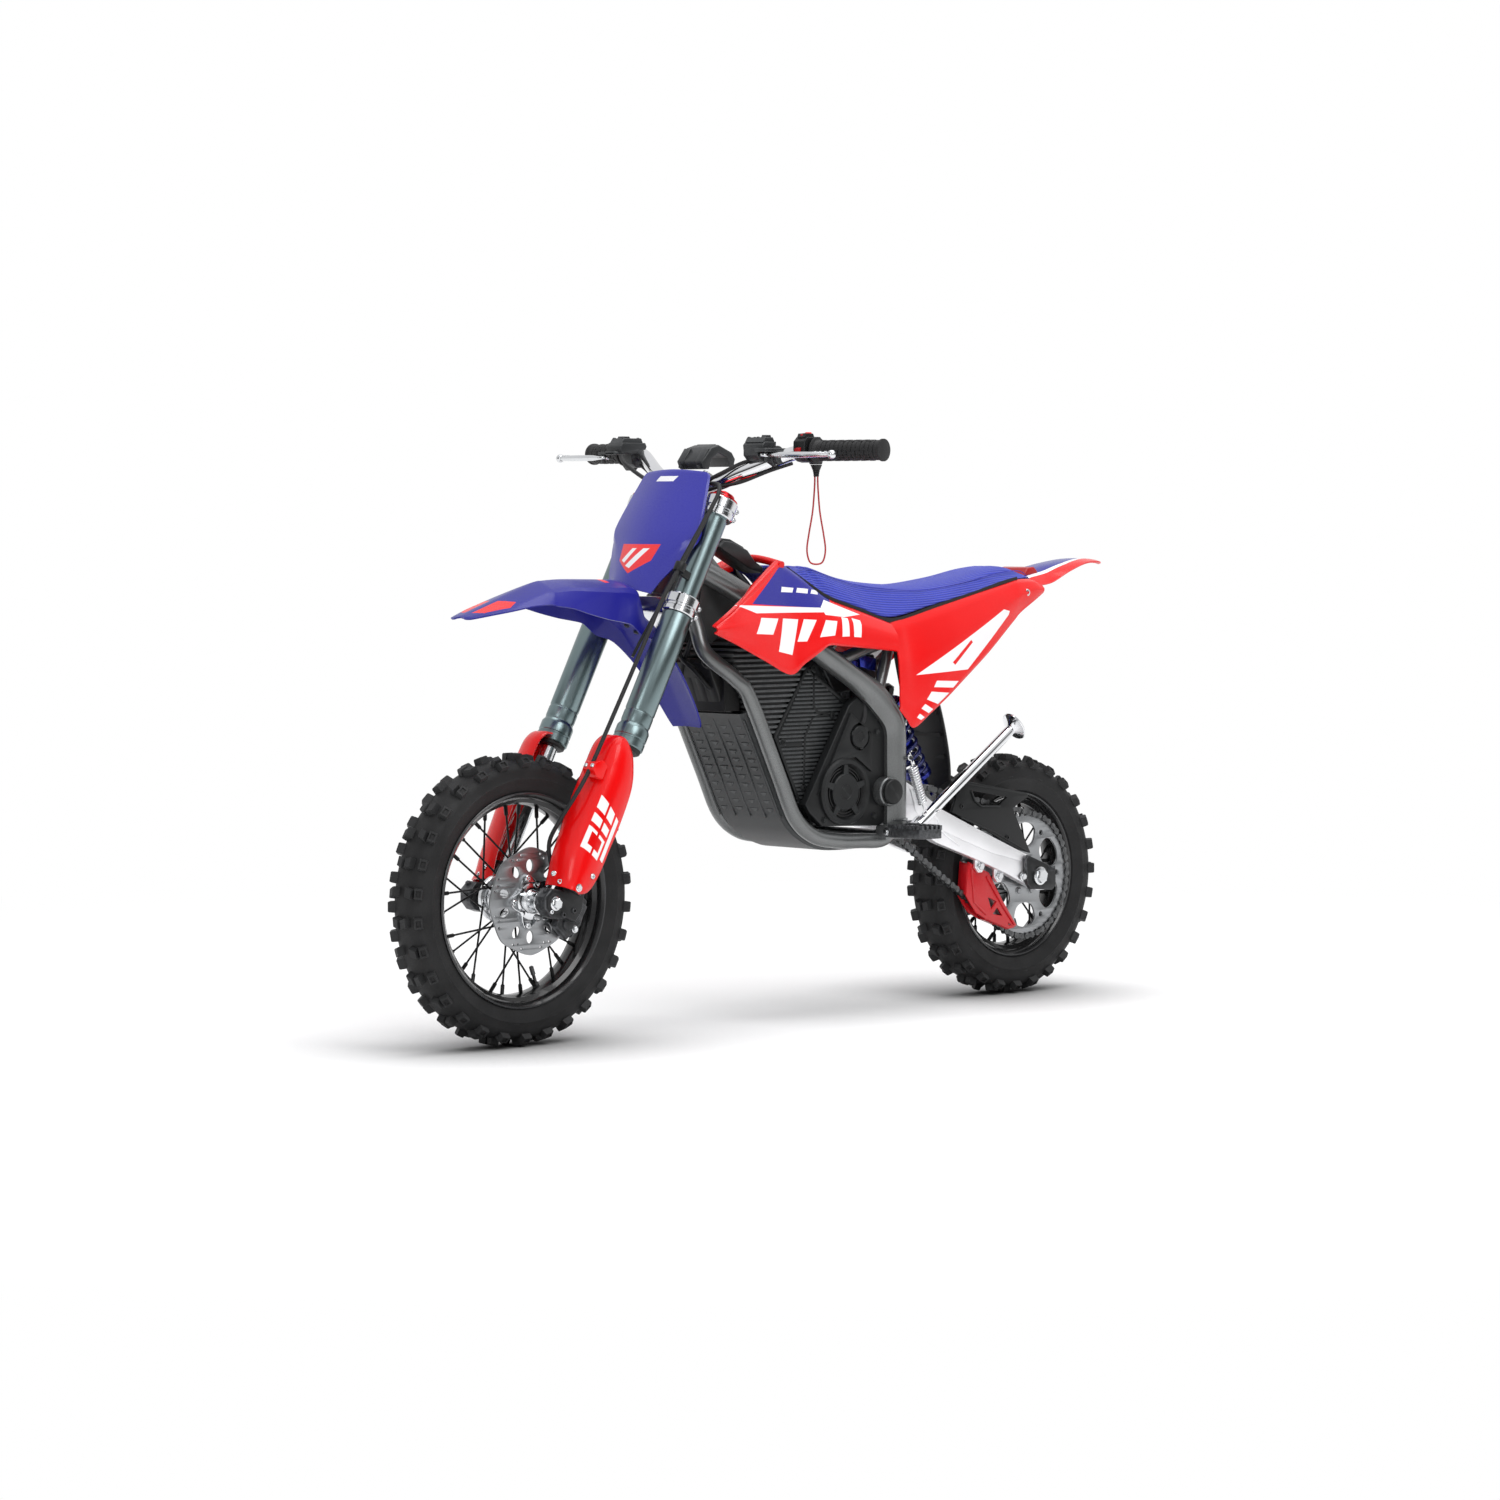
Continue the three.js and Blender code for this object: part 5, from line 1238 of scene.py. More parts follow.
def spar_rings(points, side):
    """The spar turns from a round tube into a chamfered box section behind its bend."""
    line = [Vector(p) for p in resample([list(p) for p in points], 6)]
    rings = []
    for i, p in enumerate(line):
        along = (line[min(i + 1, len(line) - 1)] - line[max(i - 1, 0)]).normalized()
        up = Vector((0, 1, 0)).cross(along)
        up = (up if up.z > 0 or abs(up.z) < 0.2 else -up).normalized()
        if up.x > 0.2:
            up = -up
        across = along.cross(up).normalized()
        if across.y < 0:
            across = -across
        share = clamp((-90.0 - p.x) / 50.0)
        section = []
        for a in turns(24):
            c, s = math.cos(a), math.sin(a)
            box = 1 / max(abs(c), abs(s), (abs(c) + abs(s)) * 0.76)
            reach = lerp(1.0, box, share)
            section.append(p + across * lerp(17, 16, share) * reach * c + up * lerp(17, 21.5,
                share) * reach * s)
        rings.append([Vector((q.x, q.y * side, q.z)) for q in section])
    return rings


def make_frame():
    tubes = Shape()
    for side in (1, -1):
        tubes.rings(spar_rings(SPAR, side))
        tubes.sweep([(x, y * side, z) for x, y, z in CRADLE], 12, 22, 6)
        tubes.sweep([(x, y * side, z) for x, y, z in SUBFRAME], 10, 18, 5)
        tubes.sweep([(-148, 88 * side, 500), (-205, 62 * side, 588)], 9, 16, 1)
        tubes.sweep([(-181, 90 * side, 440), (-400, 55 * side, 622)], 8, 16, 1)
        tubes.lathe((-160, 0, 352), (0, side, 0), [[9, 76], [22, 76], [23, 78], [23, 106], [21.5, 108],
            [9, 108]], 36, closed=True)
        tubes.plate([(-150, 277), (-150, 297), (-156, 300), (-186, 300), (-190, 296), (-190, 281), (-186, 277)],
            side * 84, side * 107, edge=1.4)
        tubes.plate([(-165, 508), (-165, 486), (-236, 494), (-258, 498), (-260, 512), (-248, 518)], side * 13,
            side * 18, edge=1.0)
        tubes.plate([(212, 664), (178, 748), (150, 722), (95, 672), (92, 640), (150, 590), (184, 590)],
            side * 22, side * 28,
                    [[(168, 694), (176, 690), (188, 640), (180, 636)]], edge=1.4)
    tubes.plate([(-185, 302), (-228, 303), (-230, 284), (-216, 276), (-185, 279)], 84, 91.5, edge=1.2)
    tubes.lathe(fork(0, 0, 0), FORK_UP, [[14.5, 520], [27, 520], [27, 530], [24, 533], [24, 641], [27, 644],
        [27, 655], [14.5, 655]], 40, closed=True)
    for x, half, z, radius, sides in ((-172, 90, 497, 11, 18), (-172, 88, 281, 9, 16), (-438, 54, 632, 9, 16)):
        tubes.sweep([(x, -half, z), (x, half, z)], radius, sides, 1)
    tubes.lathe((-247, 0, 506), (0, 1, 0), [[0, -20], [5, -20], [5, 20], [0, 20]], 16)
    piece("frame_tubes", tubes, FRAME_PAINT, "frame", ["main_frame"], angle=34)
    welds = Shape()
    for side in (1, -1):
        for centre, along, radius in (((184, 30 * side, 701), (80, -38 * side, 51), 17.6),
                ((-76, 78 * side, 560), (115, -16 * side, -25), 10.6),
                                      ((-186, 92 * side, 306), (0, 0, 1), 17.4)):
            c, d = Vector(centre), Vector(along).normalized()
            u = d.orthogonal().normalized()
            v = d.cross(u)
            bead = []
            for a in turns(72):
                wave = 1.1 * abs(math.sin(a * 18))
                bead.append(c + (u * math.cos(a) + v * math.sin(a)) * (radius + 0.2 + 0.5 * wave) + d * wave)
            welds.sweep(bead + bead[:1], 1.9, 6, 1)
    piece("frame_welds", welds, FRAME_PAINT, "frame", angle=60)

    bolts = Shape()
    for side in (1, -1):
        bolts.lathe((-160, 108.5 * side, 352), (0, side, 0), [
            [0, 0], [17, 0], [20, 2], [20, 5.6], [18.4, 7.6], [12, 8.6], [0, 8.8]], 40)
        bolts.bolt((-247, 19 * side, 506), (0, side, 0), 7, 5, "hex")
    piece("pivot_caps", bolts, BLACK, "frame", ["swingarm_pivot_bolt"], angle=30)


RIBBED = [(-13, 549), (61, 444), (1, 326), (-106, 489)]


def make_battery():
    case = Shape()
    case.plate([(150, 572), (100, 600), (20, 578), (-20, 545), (-82, 497), (22, 316), (34, 318), (52, 380),
        (112, 500)],
               -67, 67, edge=7, soft=3)
    fins = Shape()
    # cooling fins wrap over the front edge of the case and run along its sides
    z = 596.0
    front = [(590, 128), (572, 151), (536, 134), (500, 113.6), (440, 83), (380, 53.5), (330, 38)]
    while z > 334:
        x_front = next(lerp(a[1], b[1], (a[0] - z) / (a[0] - b[0])) for a,
            b in zip(front, front[1:]) if a[0] >= z >= b[0]) if z < 590 else 112
        if z > 546:
            x_back = lerp(-14, 60, (z - 546) / 50)
        else:
            x_back = max(lerp(-12, 64, (546 - z) / 104) if z > 444 else lerp(64, 6, (444 - z) / 116), 4)
            x_back = min(x_back, x_front - 8)
        if x_front - x_back > 12:
            fins.plate([(x_back, -71.4), (x_front - 4, -71.4), (x_front + 1.5, -62), (x_front + 1.5, 62),
                (x_front - 4, 71.4), (x_back, 71.4)],
                       z - 2.1, z + 2.1, edge=0.9, place=lambda x, h, y: Vector((x, y, h)))
        z -= 8.0
    piece("battery_case", case, DEEP_BLACK, "frame", ["battery_box"], angle=30)
    piece("battery_fins", fins, FIN_GREY, "frame", angle=30)
    covers, ribs = Shape(), Shape()
    for side in (1, -1):
        covers.plate(RIBBED, side * 66, side * 70.4, edge=1.4)
        for outline in (
            [(-27, 541), (-22, 541), (-22, 488), (-32, 476), (-60, 471), (-64, 476), (-35, 482), (-27, 490)],
            [(-46, 475), (-24, 470), (-8, 442), (-5, 366), (0, 366), (-3, 444), (-20, 472), (-44, 479)],
            [(38, 436), (0, 434), (0, 429), (36, 429)],
            [(-13, 549), (-8, 549), (61, 448), (61, 440), (57, 444)],
            [(-13, 549), (-106, 489), (-102, 485), (-12, 543)],
            [(61, 444), (1, 326), (-3, 330), (55, 444)],
            [(-106, 489), (1, 326), (4, 331), (-98, 490)],
        ):
            covers.plate(outline, side * 69, side * 72.6, edge=0.8)
        z = 540.0
        while z > 338:
            back = lerp(-20, -92, (549 - z) / 60) if z > 489 else lerp(-104, -4, (489 - z) / 163)
            ahead = lerp(-8, 56, (549 - z) / 105) if z > 444 else lerp(58, 8, (444 - z) / 118)
            if ahead - back > 14:
                ribs.plate([(back + 5, z - 1.6), (ahead - 5, z - 1.6), (ahead - 5, z + 1.6),
                    (back + 5, z + 1.6)], side * 69.8, side * 72.4, edge=0.6)
            z -= 6.4
        for x, z in ((-24, 546), (-65, 474), (42, 435), (-2, 363)):
            covers.lathe((x, 69 * side, z), (0, side, 0), [[0, 0], [6.4, 0], [6.4, 3.6], [0, 3.6]], 20)
            covers.bolt((x, 72.2 * side, z), (0, side, 0), 4.0, 2.0)
    piece("battery_side_covers", covers, BLACK, "frame", angle=30)
    piece("battery_side_ribs", ribs, FIN_GREY, "frame", angle=30)
    top = Shape()
    top.plate([(128, 738), (118, 747), (99, 745), (67, 732), (50, 714), (34, 706), (34, 696), (62, 703),
        (120, 732)], -20.4, 20.4, edge=3, soft=2)
    top.plate([(122, 746), (116, 750.5), (100, 749), (72, 737), (66, 728), (98, 742), (116, 743)], -15, 15,
        edge=1.2)
    top.plate([(62, 726), (48, 711), (36, 704), (36, 707), (46, 715), (60, 730)], -13, 13, edge=1.0)
    piece("battery_lid", top, GREY, "frame", ["battery_top_cover"], angle=30)
    handle = Shape()
    handle.sweep([(60, -30, 612), (60, -24, 628), (60, 0, 632), (60, 24, 628), (60, 30, 612)], 5, 12, 4)
    handle.plate([(-10, 560), (60, 604), (96, 612), (90, 596), (20, 574)], -50, 50, edge=2)
    piece("battery_neck", handle, DEEP_BLACK, "frame", angle=40)


def make_motor():
    for name, side in SIDES:
        cover = Shape()
        cover.plate([(-84, 489), (-103, 502), (-139, 479), (-163, 450), (-166, 430), (-165, 304), (-152, 298),
            (-26, 303), (2, 326), (10, 338)], side * 74.6, side * 90, edge=2.6, soft=2)
        cover.plate([(-86, 478), (-134, 443), (-132, 384), (-96, 408), (-44, 400), (-14, 352)], side * 88,
            side * 94,
                    [circle(-105, 440, 21, 28)], edge=1.6, soft=2)
        centre = Vector((-72, 90 * side, 355))
        cover.lathe(centre, (0, side, 0), [[40, 0], [53, 0], [53, 5], [50, 8.6], [44, 8.6], [42, 5], [40, 2]],
            56, closed=True)
        cover.lathe(centre, (0, side, 0), [[0, 0], [29, 0], [29, 5.5], [27, 7.4], [12, 7.4], [11, 6.4],
            [0, 6.2]], 40)
        for k in range(5):
            a = math.radians(90 + 72 * k)
            out, turn = Vector((math.cos(a), 0, math.sin(a))), Vector((-math.sin(a), 0, math.cos(a)))
            cover.block([
                centre + Vector((0, side * lift, 0)) + out * r + turn * w
                for lift in (0.5, 6.4) for r, w in ((25, -6), (46, -3.4), (46, 3.4), (25, 6))
            ], side > 0)
        port = Vector((-105, 84 * side, 440))
        cover.lathe(port, (0, side, 0), [[0, 0], [17.6, 0], [17.6, 10.8], [16.4, 12.2], [8, 12.6], [7, 11.6],
            [0, 11.4]], 30)
        for k in range(3):
            a = math.radians(20 + 120 * k)
            cover.lathe(port + Vector((15 * math.cos(a), 0, 15 * math.sin(a))), (0, side, 0),
                [[0, 4], [5.2, 4], [5.2, 11.4], [0, 11.4]], 16)
        for x, z in ((-146, 446), (-140, 314), (-30, 312)):
            cover.bolt((x, 90 * side, z), (0, side, 0), 4.4, 3.4, "hex")
        cover.sweep([(-20, 86 * side, 350), (-50, 91 * side, 406), (-86, 91 * side, 424)], 2.2, 10, 5)
        piece("motor_side_" + name, cover, BLACK, "frame", ["motor_cover_" + name], angle=30)
    grille = Shape()
    for side in (1, -1):
        centre = Vector((-72, 88 * side, 355))
        for radius in (33.5, 38):
            grille.lathe(centre, (0, side, 0), [[radius - 0.9, 0], [radius + 0.9, 0], [radius + 0.9, 5],
                [radius - 0.9, 5]], 40, closed=True)
    piece("vent_rings", grille, DEEP_BLACK, "frame", angle=30)
    body = Shape()
    body.lathe((-72, 0, 355), (0, 1, 0), [[0, -73.6], [46, -73.6], [50, -70], [50, -46], [48, -45], [48, -38],
        [50, -37], [50, 70], [46, 73.6], [0, 73.6]], 56)
    for y in range(-30, 66, 8):
        body.lathe((-72, y, 355), (0, 1, 0), [[49, 0], [52.4, 0.6], [52.4, 2.8], [49, 3.4]], 56, closed=True)
    body.plate([(-100, 400), (-160, 378), (-182, 366), (-186, 352), (-182, 338), (-160, 326), (-80, 308)], -50,
        40, edge=3, soft=2)
    for x, z in ((-170, 366), (-172, 338), (-112, 388), (-110, 320)):
        body.bolt((x, 40, z), (0, 1, 0), 4, 3.2)
    piece("motor_body", body, BLACK_METAL, "frame", ["motor_gearbox"], angle=30)
    electronics = Shape()
    electronics.plate([(-60, 552), (-180, 566), (-190, 540), (-176, 512), (-90, 506)], -52, 52, edge=4, soft=2)
    for k in range(9):
        electronics.box(-174 + 12 * k, -168 + 12 * k, -48, 48, 560, 569)
    for y in (40, -40):
        electronics.box(-128, -108, y - 9, y + 9, 498, 512)
    # shields close the view through the gaps beside the battery
    electronics.plate([(8, 586), (-150, 514), (-150, 470), (-90, 482), (0, 540)], -46, 46, edge=3)
    electronics.plate([(14, 350), (34, 318), (-18, 292), (-34, 330)], -58, 58, edge=3)
    piece("controller_box", electronics, BLACK_METAL, "frame", bevel=0.8)
    wires = Shape()
    for side in (1, -1):
        wires.sweep([(-116, 70 * side, 520), (-121, 84 * side, 498), (-118, 90 * side, 470),
            (-108, 88 * side, 452)], 4.0, 12, 6)
        wires.sweep([(-112, 60 * side, 530), (-60, 76 * side, 540), (-20, 74 * side, 566)], 3.4, 10, 5)
        wires.sweep([(-130, 50 * side, 512), (-150, 40 * side, 470), (-140, 30 * side, 420),
            (-120, 20 * side, 396)], 4.2, 10, 6)
    piece("wiring_loom", wires, RUBBER, "frame", angle=50)
    plugs = Shape()
    plugs.plate([(-132, 568), (-170, 560), (-168, 540), (-134, 548)], 53, 66, edge=1.4)
    plugs.plate([(-110, 560), (-128, 556), (-126, 540), (-108, 544)], 54, 68, edge=1.4)
    piece("wiring_plugs", plugs, BLUE_METAL, "frame", angle=30)


def make_skid():
    # x, z, and the direction in which the plate faces
    rows = [
        [126, 482, 1.0, -0.5], [88, 412, 1.0, -0.5], [50, 335, 1.0, -0.5], [28, 305, 0.9, -0.8],
        [6, 287, 0.7, -0.9], [-26, 272, 0.35, -1.0],
        [-66, 264, 0.0, -1.0], [-160, 264, 0.0, -1.0],
    ]
    plate = Shape()

    def curled(row, v):
        x, z, nx, nz = row
        back = 10.0 * max(0.0, (abs(v) - 0.86) / 0.14) ** 2 / math.hypot(nx, nz)
        return Vector((x - nx * back, math.copysign(72 * min(1.0, abs(v) * 1.02), v), z - nz * back))

    plate.grid(sheet(rows, 6, 14, curled), 1.8, True)
    # small raised blocks in four columns, between five ridges that run down the front face
    slope, normal, start = Vector((-0.454, 0, -0.891)), Vector((0.891, 0, -0.454)), Vector((122.5, 0, 474))
    for row in range(11):
        centre = start + slope * (16 + 14.6 * row)
        for column in (-51, -17, 17, 51):
            plate.block([
                centre + Vector((0, column + p * size, 0)) + normal * depth + slope * q * size
                for depth, size in ((-0.4, 1.0), (1.0, 0.8)) for p,
                q in ((-9, -3.4), (9, -3.4), (3, 3.4), (-3, 3.4))
            ], True)
    for y in (-68, -34, 0, 34, 68):
        plate.sweep([start + slope * d + normal * 0.2 + Vector((0, y, 0)) for d in (2, 176)], 1.3, 8, 1)
    piece("skid_plate_shell", plate, SKID, "frame", ["skid_plate"], angle=24)
    boxes = Shape()
    boxes.box(118, 150, -54, 54, 486, 536)
    boxes.plate([(122, 480), (150, 540), (168, 566), (176, 560), (150, 500)], -46, 46, edge=3, soft=2)
    for y in (-36, -12, 12, 36):
        boxes.plate([(150, 500), (166, 536), (160, 540), (144, 504)], y - 8, y + 8, edge=1.0)
    boxes.sweep([(176, -30, 600), (182, -10, 570), (176, 16, 548), (160, 34, 520)], 4, 12, 6)
    boxes.sweep([(178, 24, 620), (184, 14, 590), (174, -14, 556), (160, -30, 530)], 4, 12, 6)
    boxes.lathe((168, 40, 560), (0.7, 0.5, 0.2), [[0, -14], [9, -14], [10, -12], [10, 12], [9, 14], [0, 14]],
        24)
    piece("nose_electrics", boxes, DEEP_BLACK, "frame", angle=30)


make_frame()
make_battery()
make_motor()
make_skid()


# ---------------------------------------------------------------- bodywork
SHROUD = [
    # x, upper z, upper y, lower z, lower y
    [239, 619, 129, 608, 129], [190, 643, 118, 589, 129.2], [130, 671, 96.5, 564, 127], [73, 698, 76, 542, 124],
    [40, 713, 62, 558, 122],
    [0, 690, 71, 577, 119], [-18, 676, 76, 585, 118], [-49, 655, 85, 583, 117], [-110, 636, 91, 578, 115],
    [-172, 617, 95, 572, 114],
]
SIDE_PANEL = [
    [-176, 617, 95, 480, 114], [-192, 621, 95, 465, 114], [-210, 625, 94, 451, 114], [-250, 633, 93, 474, 113],
    [-286, 640, 92, 495, 111],
    [-327, 648, 90, 521, 107], [-400, 663, 84, 566, 97], [-470, 677, 76, 611, 82], [-493, 680, 74, 626, 77],
    [-534, 680, 67, 646, 71], [-560, 672, 62, 658, 65],
]
SHROUD_BLUE = [(143, 651), (-20, 642), (-52, 656), (-70, 690), (-30, 728), (20, 716), (48, 704)]
SHROUD_WHITE = [[(182, 650), (-13, 643), (-18, 636), (140, 637)],
    [(-13, 644), (-29, 655), (-101, 631), (-60, 628), (-18, 632)]]
SHROUD_BARS = [
    [(132, 630), (88, 628), (108, 604), (150, 606)], [(76, 628), (40, 626), (66, 572), (98, 578)],
    [(28, 626), (-6, 624), (16, 592), (30, 592), (52, 566), (62, 574)],
    [(-16, 624), (-40, 622), (-30, 600), (2, 598)],
    [(-52, 628), (-66, 626), (-62, 598), (-46, 598)], [(-76, 626), (-94, 622), (-88, 596), (-72, 597)],
]
BLUE_BLOCKS = [[(56, 676), (30, 674), (36, 667), (62, 668)], [(22, 674), (-2, 672), (4, 665), (28, 667)],
    [(-10, 671), (-26, 669), (-20, 663), (-3, 665)]]
PANEL_SWOOSH = [(-438, 634), (-455, 631), (-452, 625), (-338, 540), (-214, 534)]
PANEL_RED = [[(-300, 552), (-306, 548), (-352, 583), (-348, 587)]]
PANEL_BLOCKS = [
    [(-261, 524), (-314, 522), (-300, 512), (-254, 514)], [(-248, 507), (-290, 504), (-262, 487), (-237, 495)],
    [(-233, 488), (-251, 479), (-241, 473), (-224, 481)], [(-220, 473), (-231, 467), (-223, 463), (-213, 467)],
]


def panel_lines(rows, bulge, steps, across, side, crease=None):
    """Rows of points from the upper edge to the lower edge; the upper edge rolls inwards."""
    lines = []
    for x, z1, y1, z2, y2 in resample(rows, steps):
        line = []
        for k in range(across + 1):
            t = k / across
            out = bulge * math.sin(math.pi * t)
            if crease:
                out += crease * max(0.0, 1 - abs(t - 0.42) / 0.42) * min(1.0, abs(z1 - z2) / 60)
            roll = 7.0 * max(0.0, 1 - t / 0.07) ** 2
            lip = 3.0 * max(0.0, (t - 0.95) / 0.05) ** 2
            line.append(Vector((x, side * (lerp(y1, y2, t) + out - roll - lip),
                lerp(z1, z2, t) + (1.5 if t == 0 else 0))))
        lines.append(line)
    return lines


def make_side_shells():
    shroud_look = finish_of("shroud_paint", 0xE80A0C, 0.24, **PAINT,
                            graphics=(([SHROUD_BLUE], 0x232390), (SHROUD_WHITE + SHROUD_BARS + BLUE_BLOCKS,
                            0xF7F5F6)))
    panel_look = finish_of("panel_paint", 0xE80A0C, 0.24, **PAINT,
                           graphics=(([PANEL_SWOOSH] + PANEL_BLOCKS, 0xF7F5F6), (PANEL_RED, 0xE80A0C)))
    for name, side in SIDES:
        shape = Shape()
        lines = panel_lines(SHROUD, 5, 5, 26, side, 4)
        shape.grid(lines, 2.4, side > 0)
        piece("shroud_shell_" + name, shape, shroud_look, "frame", ["shroud_" + name], angle=40)
        shape = Shape()
        lines = panel_lines(SIDE_PANEL, 4, 5, 26, side, 3)
        shape.grid(lines, 2.4, side > 0)
        piece("side_panel_shell_" + name, shape, panel_look, "frame", ["side_panel_" + name],
            angle=40)
        liner = Shape()
        inner = [[Vector((p.x, p.y - side * 6, p.z)) for p in row] for row in panel_lines([[x,
            lerp(z1, z2, 0.12), y1, lerp(z2, z1, 0.1), y2] for x, z1, y1, z2, y2 in SHROUD[2:]], 3, 3, 10,
            side)]
        liner.grid(inner, 2.0, side > 0)
        piece("shroud_liner_" + name, liner, DEEP_BLACK, "frame", angle=40)
        lip = Shape()
        rolled = []
        for x, z, y, _, _ in resample(SHROUD[:5], 6):
            wide = lerp(0.08, 1.0, min(1.0, max(0.0, (186 - x) / 70)))
            rolled.append([Vector((x, side * (y - inward * wide), z + rise * wide)) for inward, rise in (
                (-1.2, -6), (-1.6, -2), (0.6, 2.4), (5, 4.4), (11, 3.6), (17, -0.6), (20, -7), (20.5, -14))])
        lip.grid(rolled, 2.2, side < 0)
        piece("shroud_lip_" + name, lip, RED, "frame", angle=60)
        screws = Shape()
        screws.bolt((-508, side * 76.4, 660), (0, side, 0), 6.4, 3.0)
        piece("panel_screws_" + name, screws, BRIGHT, "frame", angle=30)
        ring = Shape()
        ring.lathe((-508, side * 70, 660), (0, side, 0),
            [[6, 0], [11.4, 0], [11.4, 5], [10, 6.4], [7.4, 6.4], [6, 4]], 30, closed=True)
        piece("tail_bolt_surround_" + name, ring, RED, "frame", angle=30)
    link = Shape()
    link.sweep([(39, -66, 709), (39, -30, 716), (39, 0, 719), (39, 30, 716), (39, 66, 709)], 6, 16, 5)
    piece("shroud_link", link, RED, "frame", angle=40)


SEAT = [
    # x, top, lower edge, half-width on top, half-width below
    [20, 714, 706, 44, 60], [-18, 713, 681, 50, 70], [-50, 706, 660, 54, 82], [-110, 689, 641, 57, 88],
    [-179, 679, 623, 60, 92],
    [-277, 675, 642, 61, 89], [-380, 686, 663, 58, 82], [-459, 700, 680, 54, 75], [-520, 703, 687, 48, 66],
    [-552, 690, 680, 40, 56],
]


def seat_shape(top_grow=0.0, side_grow=0.0, under=14.0):
    """A closed body: crowned top, sloping sides and a flat underside."""
    rings = []
    for x, top, low, half, wide in resample(SEAT, 8):
        top, low, half, wide = top + top_grow, low - 2, half + side_grow, wide + side_grow
        ring = []
        for k in range(-16, 17):
            v = k / 16
            ring.append(Vector((x, half * v, top - 9 * abs(v) ** 3)))
        for k in range(1, 10):
            t = k / 9
            ring.append(Vector((x, lerp(half, wide, t ** 0.8), lerp(top - 9, low, t))))
        for k in range(1, 16):
            v = 1 - 2 * k / 16
            ring.append(Vector((x, (wide - 4) * v, low - 1 + min(under,
                top - low - 6) * (1 - abs(v) ** 4) * 0.5)))
        for k in range(9, 0, -1):
            t = k / 9
            ring.append(Vector((x, -lerp(half, wide, t ** 0.8), lerp(top - 9, low, t))))
        rings.append(ring)
    shape = Shape()
    shape.rings(rings)
    return shape


def seat_look():
    look = Look("seat_cover_blue", Sheen_Weight=0.12, Sheen_Roughness=0.5)
    # fine ribs run along the seat, and a pebbled grain lies between them
    girth = look.put("ShaderNodeAttribute", attribute_name="girth").outputs["Fac"]
    ribs = look.span(look.math("COSINE", look.math("MULTIPLY", girth, 2 * math.pi / 0.0046)), -1.0, 1.0, 0.0,
        1.0)
    pebble = look.put("ShaderNodeTexVoronoi", {"Vector": look.point, "Scale": 900.0},
        feature="F1").outputs["Distance"]
    cloud = look.noise(14.0, 4.0)
    colour = look.mix(look.span(cloud, 0.3, 0.7, 0.0, 1.0), srgb(0x2836B0), srgb(0x3240BE))
    # the grooves between the ribs are darkened: painted shade
    colour = look.mix(look.math("MULTIPLY", look.span(ribs, 0.0, 0.35, 1.0, 0.0), 0.55), colour, srgb(0x141A66))
    rough = look.span(pebble, 0.0, 0.8, 0.5, 0.66)
    return look.done(colour, rough, look.bump(ribs, 0.0011, 0.8, look.bump(pebble, 0.00015)))


def swell(obj, cap):
    """Blow the foam up with cloth pressure, then keep each point within the cap of where it began."""
    start = [v.co.copy() for v in obj.data.vertices]
    cloth = obj.modifiers.new("cloth", "CLOTH")
    cloth.settings.quality = 5
    cloth.settings.mass = 0.3
    cloth.settings.tension_stiffness = 20
    cloth.settings.compression_stiffness = 20
    cloth.settings.bending_stiffness = 2
    cloth.settings.use_pressure = True
    cloth.settings.uniform_pressure_force = 4
    cloth.settings.effector_weights.gravity = 0
    scene = bpy.context.scene
    for n in range(1, 21):
        scene.frame_set(n)
    graph = bpy.context.evaluated_depsgraph_get()
    moved = [v.co.copy() for v in obj.evaluated_get(graph).data.vertices]
    obj.modifiers.remove(cloth)
    scene.frame_set(1)
    for vertex, a, b in zip(obj.data.vertices, start, moved):
        step = b - a
        if step.length > cap:
            step *= cap / step.length
        # the underside rests on the seat base and the rear fender, so it stays put
        if a.z < b.z or vertex.normal.z > -0.3:
            vertex.co = a + step


def make_seat():
    obj = add_object("seat_pad", mesh_of("seat_pad", seat_shape(-2.6, -2.4)))
    bpy.context.view_layer.objects.active = obj
    obj.select_set(True)
    swell(obj, 0.0035)
    smooth = obj.modifiers.new("smooth", "SUBSURF")
    smooth.levels = smooth.render_levels = 1
    bpy.ops.object.modifier_apply(modifier=smooth.name)
    obj.data.shade_smooth()
    # how far round the section each point lies, so that the ribs can follow the seat's length
    table = resample(SEAT, 8)
    girth = obj.data.attributes.new("girth", "FLOAT", "POINT")
    for vertex, value in zip(obj.data.vertices, girth.data):
        x, y, z = vertex.co / MM
        top, half = next(((lerp(b[1], a[1], t), lerp(b[3], a[3], t)) for a, b in zip(table, table[1:])
                          for t in [(x - b[0]) / (a[0] - b[0])] if 0 <= t <= 1), (table[-1][1], table[-1][3]))
        over = max(0.0, abs(y) - half)
        value.value = (min(abs(y), half) + math.hypot(over,
            min(0.0, z - (top - 9))) if over or z < top - 10 else abs(y)) * MM
    obj.data.materials.clear()
    obj.data.materials.append(seat_look())
    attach(obj, "frame")
    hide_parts("seat")
    # piping along the top edge and the black base the cover is stapled to
    for name, side in SIDES:
        seam, edge = [], []
        for x, top, low, half, wide in resample(SEAT, 4):
            seam.append((x, side * (half * 0.995 + 0.4), top - 8.2))
            edge.append((x, side * (wide + 0.2), low + 0.5))
        trim = Shape()
        trim.sweep(seam, 0.6, 8, 1)
        piece("seat_seam_" + name, trim, SEAT_TRIM, "frame", angle=60)
        base = Shape()
        skirt = [[Vector((x, y - side * d, z + h)) for d,
            h in ((4, -0.4), (3, -2.4), (4, -4.6), (6, -14))] for x, y, z in edge[:-6]]
        base.grid(skirt, 2.0, side < 0)
        piece("seat_base_edge_" + name, base, DEEP_BLACK, "frame", angle=60)


SEAT_TRIM = finish_of("seat_trim", 0x2A2CA2, 0.6, grain=1600, depth=0.0001)


